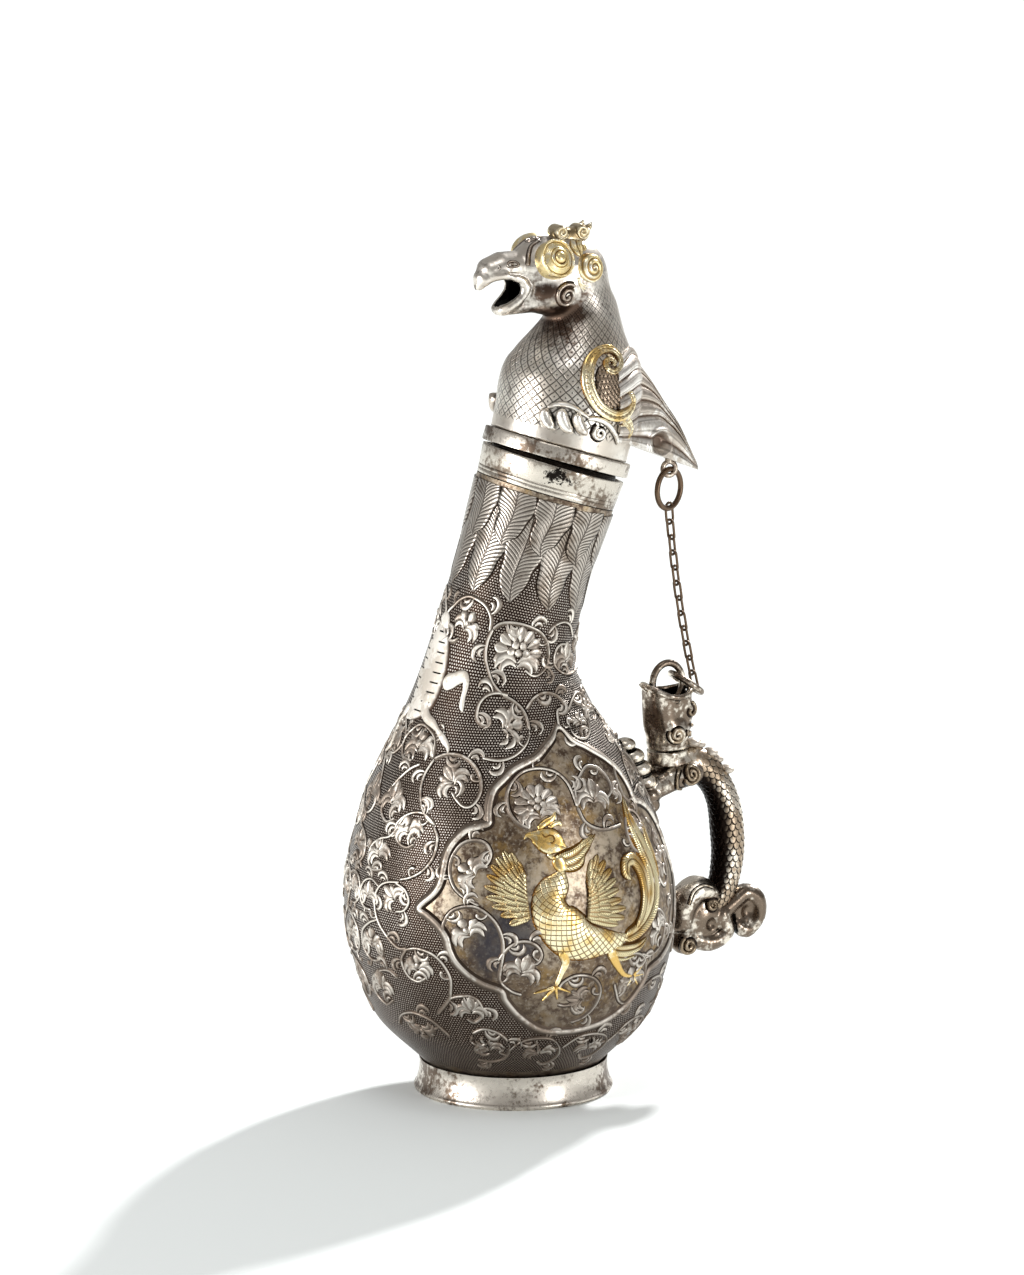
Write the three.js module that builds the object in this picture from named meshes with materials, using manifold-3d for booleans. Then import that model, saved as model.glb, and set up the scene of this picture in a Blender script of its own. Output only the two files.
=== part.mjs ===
// A parcel-gilt silver flask: a pear-shaped body with a leaning neck on a low foot ring, a bird-headed
// cover whose open beak pours, a dragon handle, and a wire chain that ties the cover to the handle.
// Millimetres, +Z up. The handle is towards +X, the beak towards -X, and Y = 0 is the plane of symmetry.
import * as THREE from "three";
import { mergeVertices } from "three/addons/utils/BufferGeometryUtils.js";
import Module from "manifold-3d";

const wasm = await Module();
wasm.setup();

const gap = 0.3; // left between soldered pieces, and between a piece and its seat
const wall = 1.4; // silver sheet of the vessel and the cover

// Vessel: radii and heights from the table, and how far the leaning axis stands towards the handle
const bottomRise = 7.5;
const seatHeight = 11.5;
const seatRadius = 31;
const lowerSwellRadius = 46.5;
const lowerSwellHeight = 28;
const bellyRadius = 55;
const bellyHeight = 63;
const shoulderRadius = 46;
const shoulderHeight = 103;
const throatRadius = 31.5;
const throatHeight = 130;
const throatLean = -5.2;
const upperNeckRadius = 24.4;
const upperNeckHeight = 149;
const neckRadius = 22.3;
const neckHeight = 176;
const neckLean = 3;
const neckEndRadius = 23.4;
const neckEndHeight = 202;
const neckEndLean = 11.6;
const vesselSides = 32;

// Chased relief on the vessel: a lobed medallion with a phoenix in it on each flank
const medallionTurn = -86; // degrees round from the handle, on the -Y flank
const medallionHalfTurn = 63;
const medallionHeight = 80; // its middle, and half its height
const medallionHalfHeight = 49.5;
const borderWidth = 1.6;
const reliefHeight = 0.7;

// Foot ring
const footWall = 1.7;
const footWaist = 31.3;
const footSpread = 33.2;
const footLip = 1.8;

// Mouth band, and the cover's rim and sleeve
const bandHeight = 10;
const mouthRadius = 24.3;
const rimHeight = 4.8;
const rimRadius = 24.9;
const sleeveDepth = 11;
const sleeveWall = 1.1;
const sleeveClearance = 0.8; // the sleeve is an easy fit, so the cover sits a little askew
const coverLean = 2; // degrees by which the cover stands up on its -Y side
const ringSides = 32;

// Cover bird, upright from the middle of its base on the rim
const breastRadius = 23.4;
const breastHeight = 15.5;
const breastBack = 3.5;
const napeRadius = 12.7;
const napeHeight = 42.3;
const napeBack = 9.1;
const headHeight = 57.4;
const headBack = 0.7;
const skullLength = 16.5; // half the skull's length, width and height
const skullWidth = 11;
const skullHeight = 13.5;
const beakReach = 31; // skull centre to the tip of the upper beak
const jawReach = 23.5; // skull centre to the tip of the lower beak
const gapeCorner = 11.8; // skull centre to the corner of the open mouth
const gapeRadius = 3.6;
const eyeRadius = 6.3;
const earRadius = 4.4;
const jawScrollRadius = 2.7;
const crestScrollRadius = 2.9;
const tailReach = 50.4;
const tailDrop = 10.2; // the tail tip below the cover's base
const tailTipWidth = 3;
const wingFlutes = 5;
const fluteDepth = 0.55;
const wingStart = 11;
const underRise = 2.6; // the underside above the cover's base where the wings start
const underDrop = -1.6; // and where the tail leaves the breast
const wingProud = 1.2; // the folded wing stands proud of the breast
const scrollWidth = 2.4; // the gilt wing scroll at its fullest
const talonRadius = 2.1;

// Lug, rings and chain
const lugReach = 41; // from the middle of the cover's base
const lugWire = 0.85;
const lugHole = 1.5;
const ringWire = 0.95;
const ringRadius = 6.6;
const ringTurn = 27; // degrees that the tail ring is turned about the vertical
const linkCount = 12;
const linkWire = 0.45;
const linkPlay = 0.5; // free play between two links
const chainSag = 2.5; // how far the chain's middle hangs off a straight line
const linkWidth = 1.3; // half a link's width to the wire's centre
const firstLinkWidth = 1.85;

// Dragon handle
const handleReach = 80; // furthest line of the body's centre from the flask's axis
const handleTop = 105;
const handleFoot = 50;
const handleRadius = 5.6;
const dragonHeadX = 57.3;
const dragonHeadRise = 5; // the head's base above the top of the handle
const dragonHeadLength = 20;
const dragonHeadRadius = 7.7;
const jawFlare = 0.8;
const jawWall = 1.2;
const tongueRadius = 1.1;
const pawRadius = 3.6;
const curlHeight = 17.6;

// The ring in the dragon's mouth and the end ring
const mouthRingWidth = 5.6; // half its width and half its height to the wire's centre
const mouthRingHeight = 7;
const mouthRingWire = 1.2;
const endRingRadius = 6;
const endRingWire = 1.1;
const endRingDrop = 36; // degrees that the end ring slopes down
const endRingBack = 4.3; // from where it crosses the mouth ring back to its own wire
const endRingSide = 32; // degrees round the end ring, from its tip, of the chain's end
const endRingPlace = 5; // degrees up the mouth ring's outer side where the end ring hangs

const degree = Math.PI / 180;
const vector = (x, y, z) => new THREE.Vector3(x, y, z);
const metal = (color, roughness) => new THREE.MeshStandardMaterial({ color, roughness, metalness: 1 });
const silver = metal(0xb9b3a8, 0.35);
const darkSilver = metal(0x8d8378, 0.42);
const wireSilver = metal(0x7d6f60, 0.45);
const gilt = metal(0xd9b45a, 0.3);

// Ways of making solids

// A closed geometry through rings of points, each ring the same count, capped at both ends.
function loft(rings) {
  const count = rings[0].length;
  const positions = rings.flat().flatMap((p) => [p.x, p.y, p.z]);
  const index = [];
  for (let i = 0; i + 1 < rings.length; i++) {
    for (let j = 0; j < count; j++) {
      const a = i * count + j;
      const b = i * count + ((j + 1) % count);
      index.push(a, b, b + count, a, b + count, a + count);
    }
  }
  for (const [start, turn] of [[0, -1], [(rings.length - 1) * count, 1]]) {
    const centre = vector(0, 0, 0);
    for (let j = 0; j < count; j++) centre.add(vector().fromArray(positions, 3 * (start + j)));
    centre.divideScalar(count);
    const middle = positions.length / 3;
    positions.push(centre.x, centre.y, centre.z);
    for (let j = 0; j < count; j++) {
      const a = start + j;
      const b = start + ((j + 1) % count);
      index.push(...(turn > 0 ? [a, b, middle] : [b, a, middle]));
    }
  }
  const geometry = new THREE.BufferGeometry();
  geometry.setAttribute("position", new THREE.Float32BufferAttribute(positions, 3));
  geometry.setIndex(index);
  return geometry;
}

// A wire that closes on itself: a round section at each point of a flat loop whose plane faces normal.
function closedWire(points, wire, sides, normal) {
  const count = points.length;
  const positions = [];
  const index = [];
  for (let i = 0; i < count; i++) {
    const along = points[(i + 1) % count].clone().sub(points[(i + count - 1) % count]).normalize();
    const out = vector().crossVectors(along, normal).normalize();
    for (let j = 0; j < sides; j++) {
      const turn = (j / sides) * 2 * Math.PI;
      const p = points[i].clone();
      p.addScaledVector(out, wire * Math.cos(turn)).addScaledVector(normal, wire * Math.sin(turn));
      positions.push(p.x, p.y, p.z);
      const next = ((i + 1) % count) * sides;
      const k = (j + 1) % sides;
      index.push(i * sides + j, i * sides + k, next + k, i * sides + j, next + k, next + j);
    }
  }
  const geometry = new THREE.BufferGeometry();
  geometry.setAttribute("position", new THREE.Float32BufferAttribute(positions, 3));
  geometry.setIndex(index);
  return solid(geometry);
}

// A rod along a smooth path whose radius follows radiusAt(t); flat scales it along Y.
function rod(points, radiusAt, steps = 12, sides = 10, flat = 1) {
  const curve = new THREE.CatmullRomCurve3(points, false, "centripetal");
  const rings = [];
  for (let i = 0; i <= steps; i++) {
    const t = i / steps;
    const centre = curve.getPointAt(t);
    const along = curve.getTangentAt(t);
    const across = vector(0, 1, 0);
    const up = vector().crossVectors(along, across).normalize();
    across.crossVectors(up, along).normalize();
    const ring = [];
    for (let j = 0; j < sides; j++) {
      const turn = (j / sides) * 2 * Math.PI;
      const p = centre.clone();
      p.addScaledVector(up, radiusAt(t) * Math.cos(turn));
      p.addScaledVector(across, radiusAt(t) * flat * Math.sin(turn));
      ring.push(p);
    }
    rings.push(ring);
  }
  return solid(loft(rings));
}

// A solid from a closed geometry, with its faces turned outwards.
function solid(geometry) {
  const bare = geometry.clone();
  bare.deleteAttribute("normal");
  bare.deleteAttribute("uv");
  const merged = mergeVertices(bare, 1e-4);
  const triVerts = new Uint32Array(merged.index.array);
  const vertProperties = new Float32Array(merged.attributes.position.array);
  const made = new wasm.Manifold(new wasm.Mesh({ numProp: 3, vertProperties, triVerts }));
  if (made.volume() > 0) return made;
  for (let i = 0; i < triVerts.length; i += 3) {
    [triVerts[i + 1], triVerts[i + 2]] = [triVerts[i + 2], triVerts[i + 1]];
  }
  return new wasm.Manifold(new wasm.Mesh({ numProp: 3, vertProperties, triVerts }));
}

function geometryOf(made) {
  const mesh = made.getMesh();
  const geometry = new THREE.BufferGeometry();
  geometry.setAttribute("position", new THREE.BufferAttribute(mesh.vertProperties, 3));
  geometry.setIndex(new THREE.BufferAttribute(mesh.triVerts, 1));
  geometry.computeVertexNormals();
  return geometry;
}

// A turned solid about Z from a closed profile of [radius, height] points.
function turned(profile, sides = ringSides) {
  const points = profile.map(([r, z]) => new THREE.Vector2(r, z));
  return solid(new THREE.LatheGeometry(points, sides).rotateX(Math.PI / 2));
}

function collar(inner, outer, low, high) {
  return turned([[inner, low], [outer, low], [outer, high], [inner, high], [inner, low]]);
}

function ball(radii, centre, across = 20, down = 12) {
  return solid(new THREE.SphereGeometry(1, across, down).scale(...radii).translate(...centre));
}

// A drum along Y, such as the coiled end of a strap.
function drum(radius, length, x, y, z, sides = 18) {
  return solid(new THREE.CylinderGeometry(radius, radius, length, sides).translate(x, y, z));
}

// Points round an ellipse in the XZ plane.
function loop(halfWidth, halfHeight, count) {
  return Array.from({ length: count }, (_, i) => {
    const turn = (i / count) * 2 * Math.PI;
    return vector(halfWidth * Math.sin(turn), 0, halfHeight * Math.cos(turn));
  });
}
const acrossFlask = vector(0, 1, 0);

const mirrored = (made) => made.scale([1, -1, 1]);
const placed = (made, matrix) => made.transform([...matrix.elements]);
const joined = (pieces) => pieces.reduce((all, piece) => all.add(piece));

// The largest body of a cut solid, without the crumbs that a cut can leave.
function largest(made) {
  return made.decompose().sort((a, b) => b.volume() - a.volume())[0];
}

// A smooth function through [at, value] pairs.
function smoothly(pairs) {
  const slope = (k) => {
    const low = pairs[Math.max(k - 1, 0)];
    const high = pairs[Math.min(k + 1, pairs.length - 1)];
    return (high[1] - low[1]) / (high[0] - low[0]);
  };
  return (at) => {
    let i = 0;
    while (i < pairs.length - 2 && at > pairs[i + 1][0]) i++;
    const [start, from] = pairs[i];
    const [end, to] = pairs[i + 1];
    const span = end - start;
    const t = (at - start) / span;
    const t2 = t * t;
    const t3 = t2 * t;
    return (2 * t3 - 3 * t2 + 1) * from + (t3 - 2 * t2 + t) * span * slope(i)
      + (3 * t2 - 2 * t3) * to + (t3 - t2) * span * slope(i + 1);
  };
}

// Vessel

const radiusAt = smoothly([
  [seatHeight, seatRadius],
  [lowerSwellHeight, lowerSwellRadius],
  [bellyHeight, bellyRadius],
  [shoulderHeight, shoulderRadius],
  [throatHeight, throatRadius],
  [upperNeckHeight, upperNeckRadius],
  [neckHeight, neckRadius],
  [neckEndHeight, neckEndRadius],
]);
const axisAt = smoothly([
  [0, 0],
  [bellyHeight, -1.5],
  [shoulderHeight, throatLean + 1.2],
  [throatHeight, throatLean],
  [upperNeckHeight, throatLean + 1.2],
  [neckHeight, neckLean],
  [neckEndHeight, neckEndLean],
]);

// The rounds lie level up to the belly, and turn square to the leaning axis above it.
function axisTilt(height) {
  const step = 0.5;
  const low = Math.max(height - step, 0);
  const high = Math.min(height + step, neckEndHeight);
  const share = THREE.MathUtils.smoothstep(height, bellyHeight, shoulderHeight);
  return share * Math.atan2(axisAt(high) - axisAt(low), high - low);
}
const mouthTilt = axisTilt(neckEndHeight);

// One round of the vessel at a height, square to its axis.
function vesselRing(height, radius) {
  const tilt = axisTilt(height);
  const ring = [];
  for (let j = 0; j < vesselSides; j++) {
    const turn = (j / vesselSides) * 2 * Math.PI;
    const out = radius * Math.cos(turn);
    const x = axisAt(height) + out * Math.cos(tilt);
    ring.push(vector(x, radius * Math.sin(turn), height - out * Math.sin(tilt)));
  }
  return ring;
}

// Rounds from the middle of the underside up to the neck's end, all drawn in by inset.
function vesselRings(inset, levels) {
  const rings = [];
  const bowlSteps = 4;
  for (let i = 0; i < bowlSteps; i++) {
    const turn = ((i + 0.35) / bowlSteps) * (Math.PI / 2);
    const rise = (seatHeight - bottomRise) * (1 - Math.cos(turn));
    rings.push(vesselRing(bottomRise + inset + rise, (seatRadius - inset) * Math.sin(turn)));
  }
  for (let i = 0; i <= levels; i++) {
    const height = seatHeight + inset + ((neckEndHeight - seatHeight - inset) * i) / levels;
    rings.push(vesselRing(height, radiusAt(height) - inset));
  }
  return rings;
}

// A raised strap of the vessel's own sheet through points of [turn, height, half width], laid over the
// side at each share of its half width. Turn and height are shares of the medallion's half turn and half
// height from its middle, and long runs are broken up so that the strap keeps to the side.
function chased(points, shares) {
  const longest = 9;
  const sunk = -wall * 0.65;
  const corners = points.map(([turn, height, half]) => vector(
    (medallionTurn + turn * medallionHalfTurn) * degree * bellyRadius,
    medallionHeight + height * medallionHalfHeight,
    half,
  ));
  const places = [corners[0]];
  for (let i = 1; i < corners.length; i++) {
    const parts = Math.ceil(corners[i - 1].distanceTo(corners[i]) / longest);
    for (let k = 1; k <= parts; k++) places.push(corners[i - 1].clone().lerp(corners[i], k / parts));
  }
  const onSide = (turn, height, lift) => {
    const tilt = axisTilt(height);
    const out = (radiusAt(height) + lift) * Math.cos(turn);
    const side = (radiusAt(height) + lift) * Math.sin(turn);
    return vector(axisAt(height) + out * Math.cos(tilt), side, height - out * Math.sin(tilt));
  };
  const rings = places.map((place, i) => {
    const way = places[Math.min(i + 1, places.length - 1)].clone().sub(places[Math.max(i - 1, 0)]);
    way.z = 0;
    way.normalize();
    const row = (lift, narrow) => shares.map((share) => {
      const away = share * place.z * narrow;
      const turn = place.x / bellyRadius - (away * way.y) / radiusAt(place.y);
      return onSide(turn, place.y + away * way.x, lift);
    });
    return [...row(reliefHeight, 0.8), ...row(sunk, 1).reverse()];
  });
  return solid(loft(rings));
}

// The medallion's two borders from its top tip to its foot, and the phoenix's body, tail and wings.
function medallion() {
  const half = borderWidth / 2;
  const border = (points) => chased(points.map(([turn, height]) => [turn, height, half]), [-1, 1]);
  const plate = (points) => chased(points, [-1, -0.4, 0.4, 1]);
  return joined([
    border([[0.12, 1], [-0.16, 0.84], [-0.44, 0.73], [-0.56, 0.51], [-0.71, 0.42], [-0.85, 0.16],
      [-0.99, -0.13], [-0.83, -0.32], [-0.71, -0.57], [-0.53, -0.68], [-0.37, -0.93], [-0.06, -1]]),
    border([[0.12, 1], [0.38, 0.81], [0.57, 0.63], [0.6, 0.42], [0.76, 0.32], [0.89, 0.06], [1, -0.14],
      [0.86, -0.3], [0.68, -0.57], [0.46, -0.66], [0.33, -0.85], [-0.06, -1]]),
    plate([[-0.17, 0.4, 1.6], [-0.17, 0.25, 2.4], [-0.21, -0.04, 5.6], [-0.19, -0.25, 7], [0, -0.38, 5.6],
      [0.18, -0.38, 3.6], [0.35, -0.2, 4.6], [0.45, 0.1, 4.6], [0.46, 0.4, 1]]),
    plate([[-0.33, -0.16, 3.2], [-0.46, -0.04, 6], [-0.58, 0.14, 7]]),
    plate([[-0.08, -0.2, 3], [0.06, -0.06, 6], [0.16, 0.1, 6.4]]),
  ]);
}

function vesselBody() {
  const shell = solid(loft([...vesselRings(0, 16), ...vesselRings(wall, 10).reverse()]));
  const relief = medallion();
  return largest(joined([shell, relief, mirrored(relief)]));
}
const grownVessel = solid(loft(vesselRings(-gap, 16)));

// The foot ring's top follows the curve of the vessel's underside, a gap below it.
function footRing() {
  const bowl = (r) => seatHeight - (seatHeight - bottomRise) * Math.sqrt(1 - (r / seatRadius) ** 2);
  const top = footWaist - footWall;
  const inside = footSpread - footWall - 1;
  return turned([
    [top, bowl(top) - 2 * gap], [inside, footLip], [inside, 0], [footSpread - 0.8, 0],
    [footSpread, footLip * 0.5], [footSpread - 0.5, footLip], [footWaist + 0.4, seatHeight * 0.4],
    [footWaist, seatHeight * 0.75], [footWaist + 0.2, seatHeight - 2 * gap],
    [top, bowl(top) - 2 * gap],
  ], vesselSides);
}

// Cover bird

// The breast narrows to the nape: shares of the way up against shares of the narrowing.
const narrowing = [[0.28, 0.075], [0.466, 0.206], [0.616, 0.42], [0.8, 0.72]];
const breastRise = napeHeight - breastHeight;
const birdRadius = smoothly([
  [0, breastRadius - 0.2],
  [breastHeight, breastRadius],
  ...narrowing.map(([up, drawn]) => [
    breastHeight + up * breastRise, breastRadius - drawn * (breastRadius - napeRadius)]),
  [napeHeight, napeRadius],
  [napeHeight + 5.2, napeRadius - 1.6],
  [headHeight, napeRadius - 3],
]);
const birdAxis = smoothly([
  [0, 0],
  [breastHeight * 0.5, breastBack * 0.6],
  [breastHeight, breastBack],
  [breastHeight + 0.6 * breastRise, breastBack + 0.35 * (napeBack - breastBack)],
  [napeHeight, napeBack],
  [napeHeight + 5.2, napeBack + 0.2],
  [headHeight, headBack + 5],
]);
const birdTilt = (height) => mouthTilt * Math.max(0, 1 - height / (breastHeight * 2));

function birdTrunk(inset, low = 0, levels = 10, sides = 22) {
  const rings = [];
  for (let i = 0; i <= levels; i++) {
    const height = low + ((headHeight - low) * i) / levels;
    const at = Math.max(height, 0);
    const lean = birdTilt(at);
    const ring = [];
    for (let j = 0; j < sides; j++) {
      const turn = (j / sides) * 2 * Math.PI;
      const out = (birdRadius(at) - inset) * Math.cos(turn);
      const side = (birdRadius(at) - inset) * Math.sin(turn);
      const sink = at - height;
      const x = birdAxis(at) + out * Math.cos(lean) - sink * Math.sin(lean);
      ring.push(vector(x, side, at - out * Math.sin(lean) - sink * Math.cos(lean)));
    }
    rings.push(ring);
  }
  return solid(loft(rings));
}

// The point of the breast's -Y side at a given X and Z, raised by lift.
function onBreast(x, z, lift) {
  let height = z;
  for (let i = 0; i < 8; i++) {
    const at = Math.max(height, 0);
    height = z + (x - birdAxis(at)) * Math.tan(birdTilt(at));
  }
  const out = (x - birdAxis(height)) / Math.cos(birdTilt(height));
  const radius = birdRadius(height);
  const side = Math.sqrt(Math.max(radius * radius - out * out, 4));
  return vector(x + (out * lift) / radius, -side * (1 + lift / radius), z);
}

const atHead = (x, y, z) => vector(x + headBack, y, z + headHeight);

const skull = (inset, across = 16, down = 10) => ball(
  [skullLength - inset, skullWidth - inset, skullHeight - inset], atHead(0, 0, 0).toArray(), across, down)
  .add(ball([8.5 - inset, 9 - inset, 8.3 - inset],
    atHead(-skullLength * 0.45, 0, skullHeight * 0.4).toArray(), across - 4, down - 4));

function beakRod(grown, points, radii, flat) {
  const size = smoothly(radii);
  return rod(points.map(([x, z]) => atHead(x, 0, z)), (t) => size(t) + grown, 8, 10, flat);
}

const upperBeak = (grown = 0) => beakRod(grown,
  [[-9, 4], [-beakReach * 0.55, 4.3], [-beakReach * 0.73, 3.6], [-beakReach * 0.88, 2.2],
    [-beakReach + 1.6, -0.4], [-beakReach + 1.1, -2]],
  [[0, 8], [0.35, 6.2], [0.6, 5], [0.8, 3.9], [0.93, 2.3], [1, 1.1]], 0.95);
const lowerBeak = (grown = 0) => beakRod(grown,
  [[-3, -8.4], [-jawReach * 0.5, -10], [-jawReach * 0.76, -10.4], [-jawReach + 1.2, -10.3]],
  [[0, 4.4], [0.4, 2.6], [0.75, 1.7], [1, 1.2]], 1.9);

// The open mouth: a C-shaped gap between the two beaks, cut through both cheeks.
function gape() {
  const corner = -gapeCorner - gapeRadius;
  const middle = -5;
  const shape = new THREE.Shape();
  shape.moveTo(-beakReach - 4, middle - gapeRadius - 1.2);
  shape.lineTo(corner, middle - gapeRadius);
  shape.absarc(corner, middle, gapeRadius, -Math.PI / 2, Math.PI / 2, false);
  shape.lineTo(-beakReach * 0.9, middle + gapeRadius - 1.7);
  shape.lineTo(-beakReach - 4, middle + gapeRadius - 3.6);
  shape.closePath();
  const cut = new THREE.ExtrudeGeometry(shape, { depth: 40, bevelEnabled: false, curveSegments: 8 });
  return solid(cut.rotateX(Math.PI / 2).translate(headBack, 20, headHeight));
}

// The way from the hollow neck to the open beak.
const pouringWay = () => rod([atHead(2, 0, -2), atHead(-8, 0, -3.6), atHead(-gapeCorner - 4, 0, -5)],
  (t) => 7 - 3.6 * t, 4, 10);

function birdShell() {
  const outside = joined([birdTrunk(0), skull(0), upperBeak(), lowerBeak()]);
  const lips = [-1, 1].map((side) => rod([
    [-beakReach * 0.86, -2.6, 3], [-20, -1.1, 4.6], [-14.6, -1.3, 6], [-11, -4.9, 7.4], [-14.4, -8.7, 5.6],
    [-19.6, -9.3, 3.8],
  ].map(([x, z, y]) => atHead(x, side * y, z)), () => 1, 9, 5));
  return largest(joined([outside.subtract(gape()), ...lips])
    .subtract(birdTrunk(wall, -2, 7, 16)).subtract(skull(wall, 12, 8)).subtract(pouringWay()));
}

const grownBird = joined([birdTrunk(-gap), skull(-gap), upperBeak(gap), lowerBeak(gap)]);

// A place on the skull's side: local -Y looks out square to the surface, local Z stays upward.
function onSkull(x, z) {
  const y = -skullWidth * Math.sqrt(Math.max(1 - (x / skullLength) ** 2 - (z / skullHeight) ** 2, 0.05));
  const out = vector(x / skullLength ** 2, y / skullWidth ** 2, z / skullHeight ** 2).normalize();
  const back = out.clone().negate();
  const up = vector(0, 0, 1).addScaledVector(out, -out.z).normalize();
  const along = vector().crossVectors(back, up);
  return new THREE.Matrix4().makeBasis(along, back, up).setPosition(atHead(x, y, z));
}

function eyeBoss() {
  const r = eyeRadius;
  return placed(turned([
    [0, -4], [r, -4], [r, 1.4], [r * 0.87, 2], [r * 0.82, 1.7], [r * 0.56, 2.6], [r * 0.5, 2.4],
    [r * 0.3, 3.4], [0, 3.8],
  ], 16).rotate([90, 0, 0]), onSkull(-7.1, 6.6)).subtract(grownBird);
}

// A coiled scroll on the skull's side, as turned steps that rise to its eye.
const headScroll = (r, x, z) => largest(placed(turned([
  [0, -3], [r, -3], [r, 0.3], [r * 0.86, 0.9], [r * 0.66, 0.4], [r * 0.5, 1.3], [r * 0.34, 0.9],
  [r * 0.22, 1.6], [0, 1.6],
], 16).rotate([90, 0, 0]), onSkull(x, z)).subtract(grownBird));
const earScroll = () => headScroll(earRadius, 7, 3.4);
const jawScroll = () => headScroll(jawScrollRadius, -2.7, -5.5);

// The crest: a low ridge that rolls up in a drum at either end.
function crest() {
  const ridge = ball([8.6, 3.2, 3.4], atHead(3.6, 0, skullHeight - 0.4).toArray(), 14, 8);
  const front = atHead(-0.6, 0, skullHeight + 1.8);
  const back = atHead(8.6, 0, skullHeight - 0.2);
  return joined([ridge, drum(crestScrollRadius, 8.4, ...front.toArray(), 14),
    drum(crestScrollRadius - 0.4, 7.6, ...back.toArray(), 14)]).subtract(grownBird);
}

// The gilt wing scroll: it coils out of its eye, runs down as a crescent and ends in a drop.
function scrollPath(lift) {
  const eye = [9.6, 28.1];
  const points = [];
  for (let i = 0; i <= 12; i++) {
    const t = i / 12;
    const turn = (125 - 430 * (1 - t)) * degree;
    const out = 1.7 + 4.3 * t ** 1.4;
    points.push([eye[0] + out * Math.cos(turn), eye[1] + out * Math.sin(turn)]);
  }
  points.push([3.4, 31.6], [0.6, 28], [-0.5, 23.8], [0.2, 18.6], [3.4, 13.4], [8, 9.2], [13.2, 5.8]);
  return points.map(([x, z]) => onBreast(x, z, lift));
}
function scrollRod(grown) {
  const path = scrollPath(0.5);
  const fullness = (t) => Math.sin(Math.PI * Math.max(t * 1.5 - 0.55, 0)) ** 2;
  const size = (t) => grown + scrollWidth * (0.36 + 0.64 * fullness(t));
  const drop = path[path.length - 1].toArray();
  return rod(path, size, 24, 5).add(ball([1.9 + grown, 1.3 + grown, 1.9 + grown], drop, 10, 8));
}
const wingScroll = () => largest(scrollRod(0).subtract(grownBird));

// Folded wings and tail: a skin over the breast's back that runs out in a ridged tail.
const ridgeStart = 24.2; // how far back the ridge leaves the bird's back
const ridgeTop = 31.4;
const ridgeSlope = (ridgeTop + tailDrop) / (tailReach - ridgeStart);
const ridgeAt = (x) => Math.min(ridgeTop - (x - ridgeStart) * ridgeSlope, ridgeTop + (x - ridgeStart) * 0.3);
const underAt = (x) => Math.min(underRise - (x - wingStart) * 0.3, underDrop - (x - breastRadius) * 0.42);

function wings(inset = 0) {
  const rings = [];
  const steps = 10;
  const rows = 15;
  for (let i = 0; i <= steps; i++) {
    const share = i / steps;
    const x = wingStart + inset + (tailReach - wingStart - 2 * inset) * share;
    const low = underAt(x) + inset;
    const top = Math.max(ridgeAt(x) - inset, low + 1.6);
    const taper = tailTipWidth + (breastRadius - 3 - tailTipWidth) * (1 - share) ** 1.1;
    const sides = [];
    for (let k = 0; k <= rows; k++) {
      const up = k / rows;
      const z = low + (top - low) * up;
      const out = x - birdAxis(Math.max(z, 0));
      const round = Math.sqrt(Math.max((birdRadius(Math.max(z, 0)) + wingProud) ** 2 - out * out, 0));
      const roof = taper * Math.sqrt(Math.max(1 - up ** 1.3, 0.002));
      const flute = fluteDepth * Math.cos(2 * Math.PI * wingFlutes * up) * Math.min(1, 4 * up, 4 * (1 - up));
      sides.push([Math.max(Math.max(round, roof) + flute - inset, 0.15), z]);
    }
    const near = sides.map(([y, z]) => vector(x, -y, z));
    const far = sides.map(([y, z]) => vector(x, y, z)).reverse();
    rings.push([...near, ...far]);
  }
  return solid(loft(rings));
}

// A clawed foot that grips the rim: three talons from a knuckled palm, and a coiled heel.
function talon() {
  const claws = [[-12, 14.6], [-8.3, 14.2], [-4.6, 13]].map(([x, z]) => rod(
    [onBreast(x + 1, z, 0.4), onBreast(x + 0.4, z - 3, 1.5), onBreast(x + 1.4, z - 6.4, 0.5)],
    (t) => talonRadius * (0.75 + 0.5 * t - t * t), 5, 6));
  const palm = rod([[-12.4, 14.8], [-6, 14.2], [0, 11.4], [4.6, 8]].map(([x, z]) => onBreast(x, z, 0.4)),
    () => talonRadius * 0.85, 7, 6);
  const heel = ball([3.2, 2.6, 3.2], onBreast(4.4, 6.6, 0).toArray(), 10, 6);
  return joined([...claws, palm, heel]).subtract(grownBird);
}

// A pierced lug under the tail: an eye of wire on a short neck, its hole across the flask.
const lugEye = lugHole + lugWire;
const lugCentreZ = underAt(lugReach) - gap - lugEye - lugWire + 0.4;
function tailLug(wingsCut) {
  const eye = loop(lugEye, lugEye, 16).map((p) => p.add(vector(lugReach, 0, lugCentreZ)));
  const neck = rod([vector(lugReach, 0, lugCentreZ + lugEye), vector(lugReach, 0, lugCentreZ + lugEye + 4)],
    () => lugWire * 1.7, 2, 10);
  return largest(closedWire(eye, lugWire, 8, acrossFlask).add(neck).subtract(wingsCut));
}

// Wire rings and links

// A link: a long loop of wire in the XZ plane, hung with the middle of its top wire at the origin.
function link(halfWidth, halfLength) {
  const points = [];
  const arc = 4;
  for (const end of [1, -1]) {
    for (let i = 0; i <= arc; i++) {
      const turn = (i / arc - 0.5) * Math.PI;
      const rise = end * (halfLength - halfWidth + halfWidth * Math.cos(turn));
      points.push(vector(end * halfWidth * Math.sin(turn), 0, rise - halfLength));
    }
  }
  return closedWire(points, linkWire, 6, acrossFlask);
}

// Assembly

const flask = new THREE.Group();

function part(name, made, material, parent = flask) {
  const mesh = new THREE.Mesh(geometryOf(made), material.clone());
  mesh.name = name;
  parent.add(mesh);
  return mesh;
}

function pair(name, made, material, parent) {
  part(`${name}_left`, made, material, parent);
  part(`${name}_right`, mirrored(made), material, parent);
}

part("vessel_body", vesselBody(), silver);
part("foot_ring", footRing(), silver);

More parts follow.
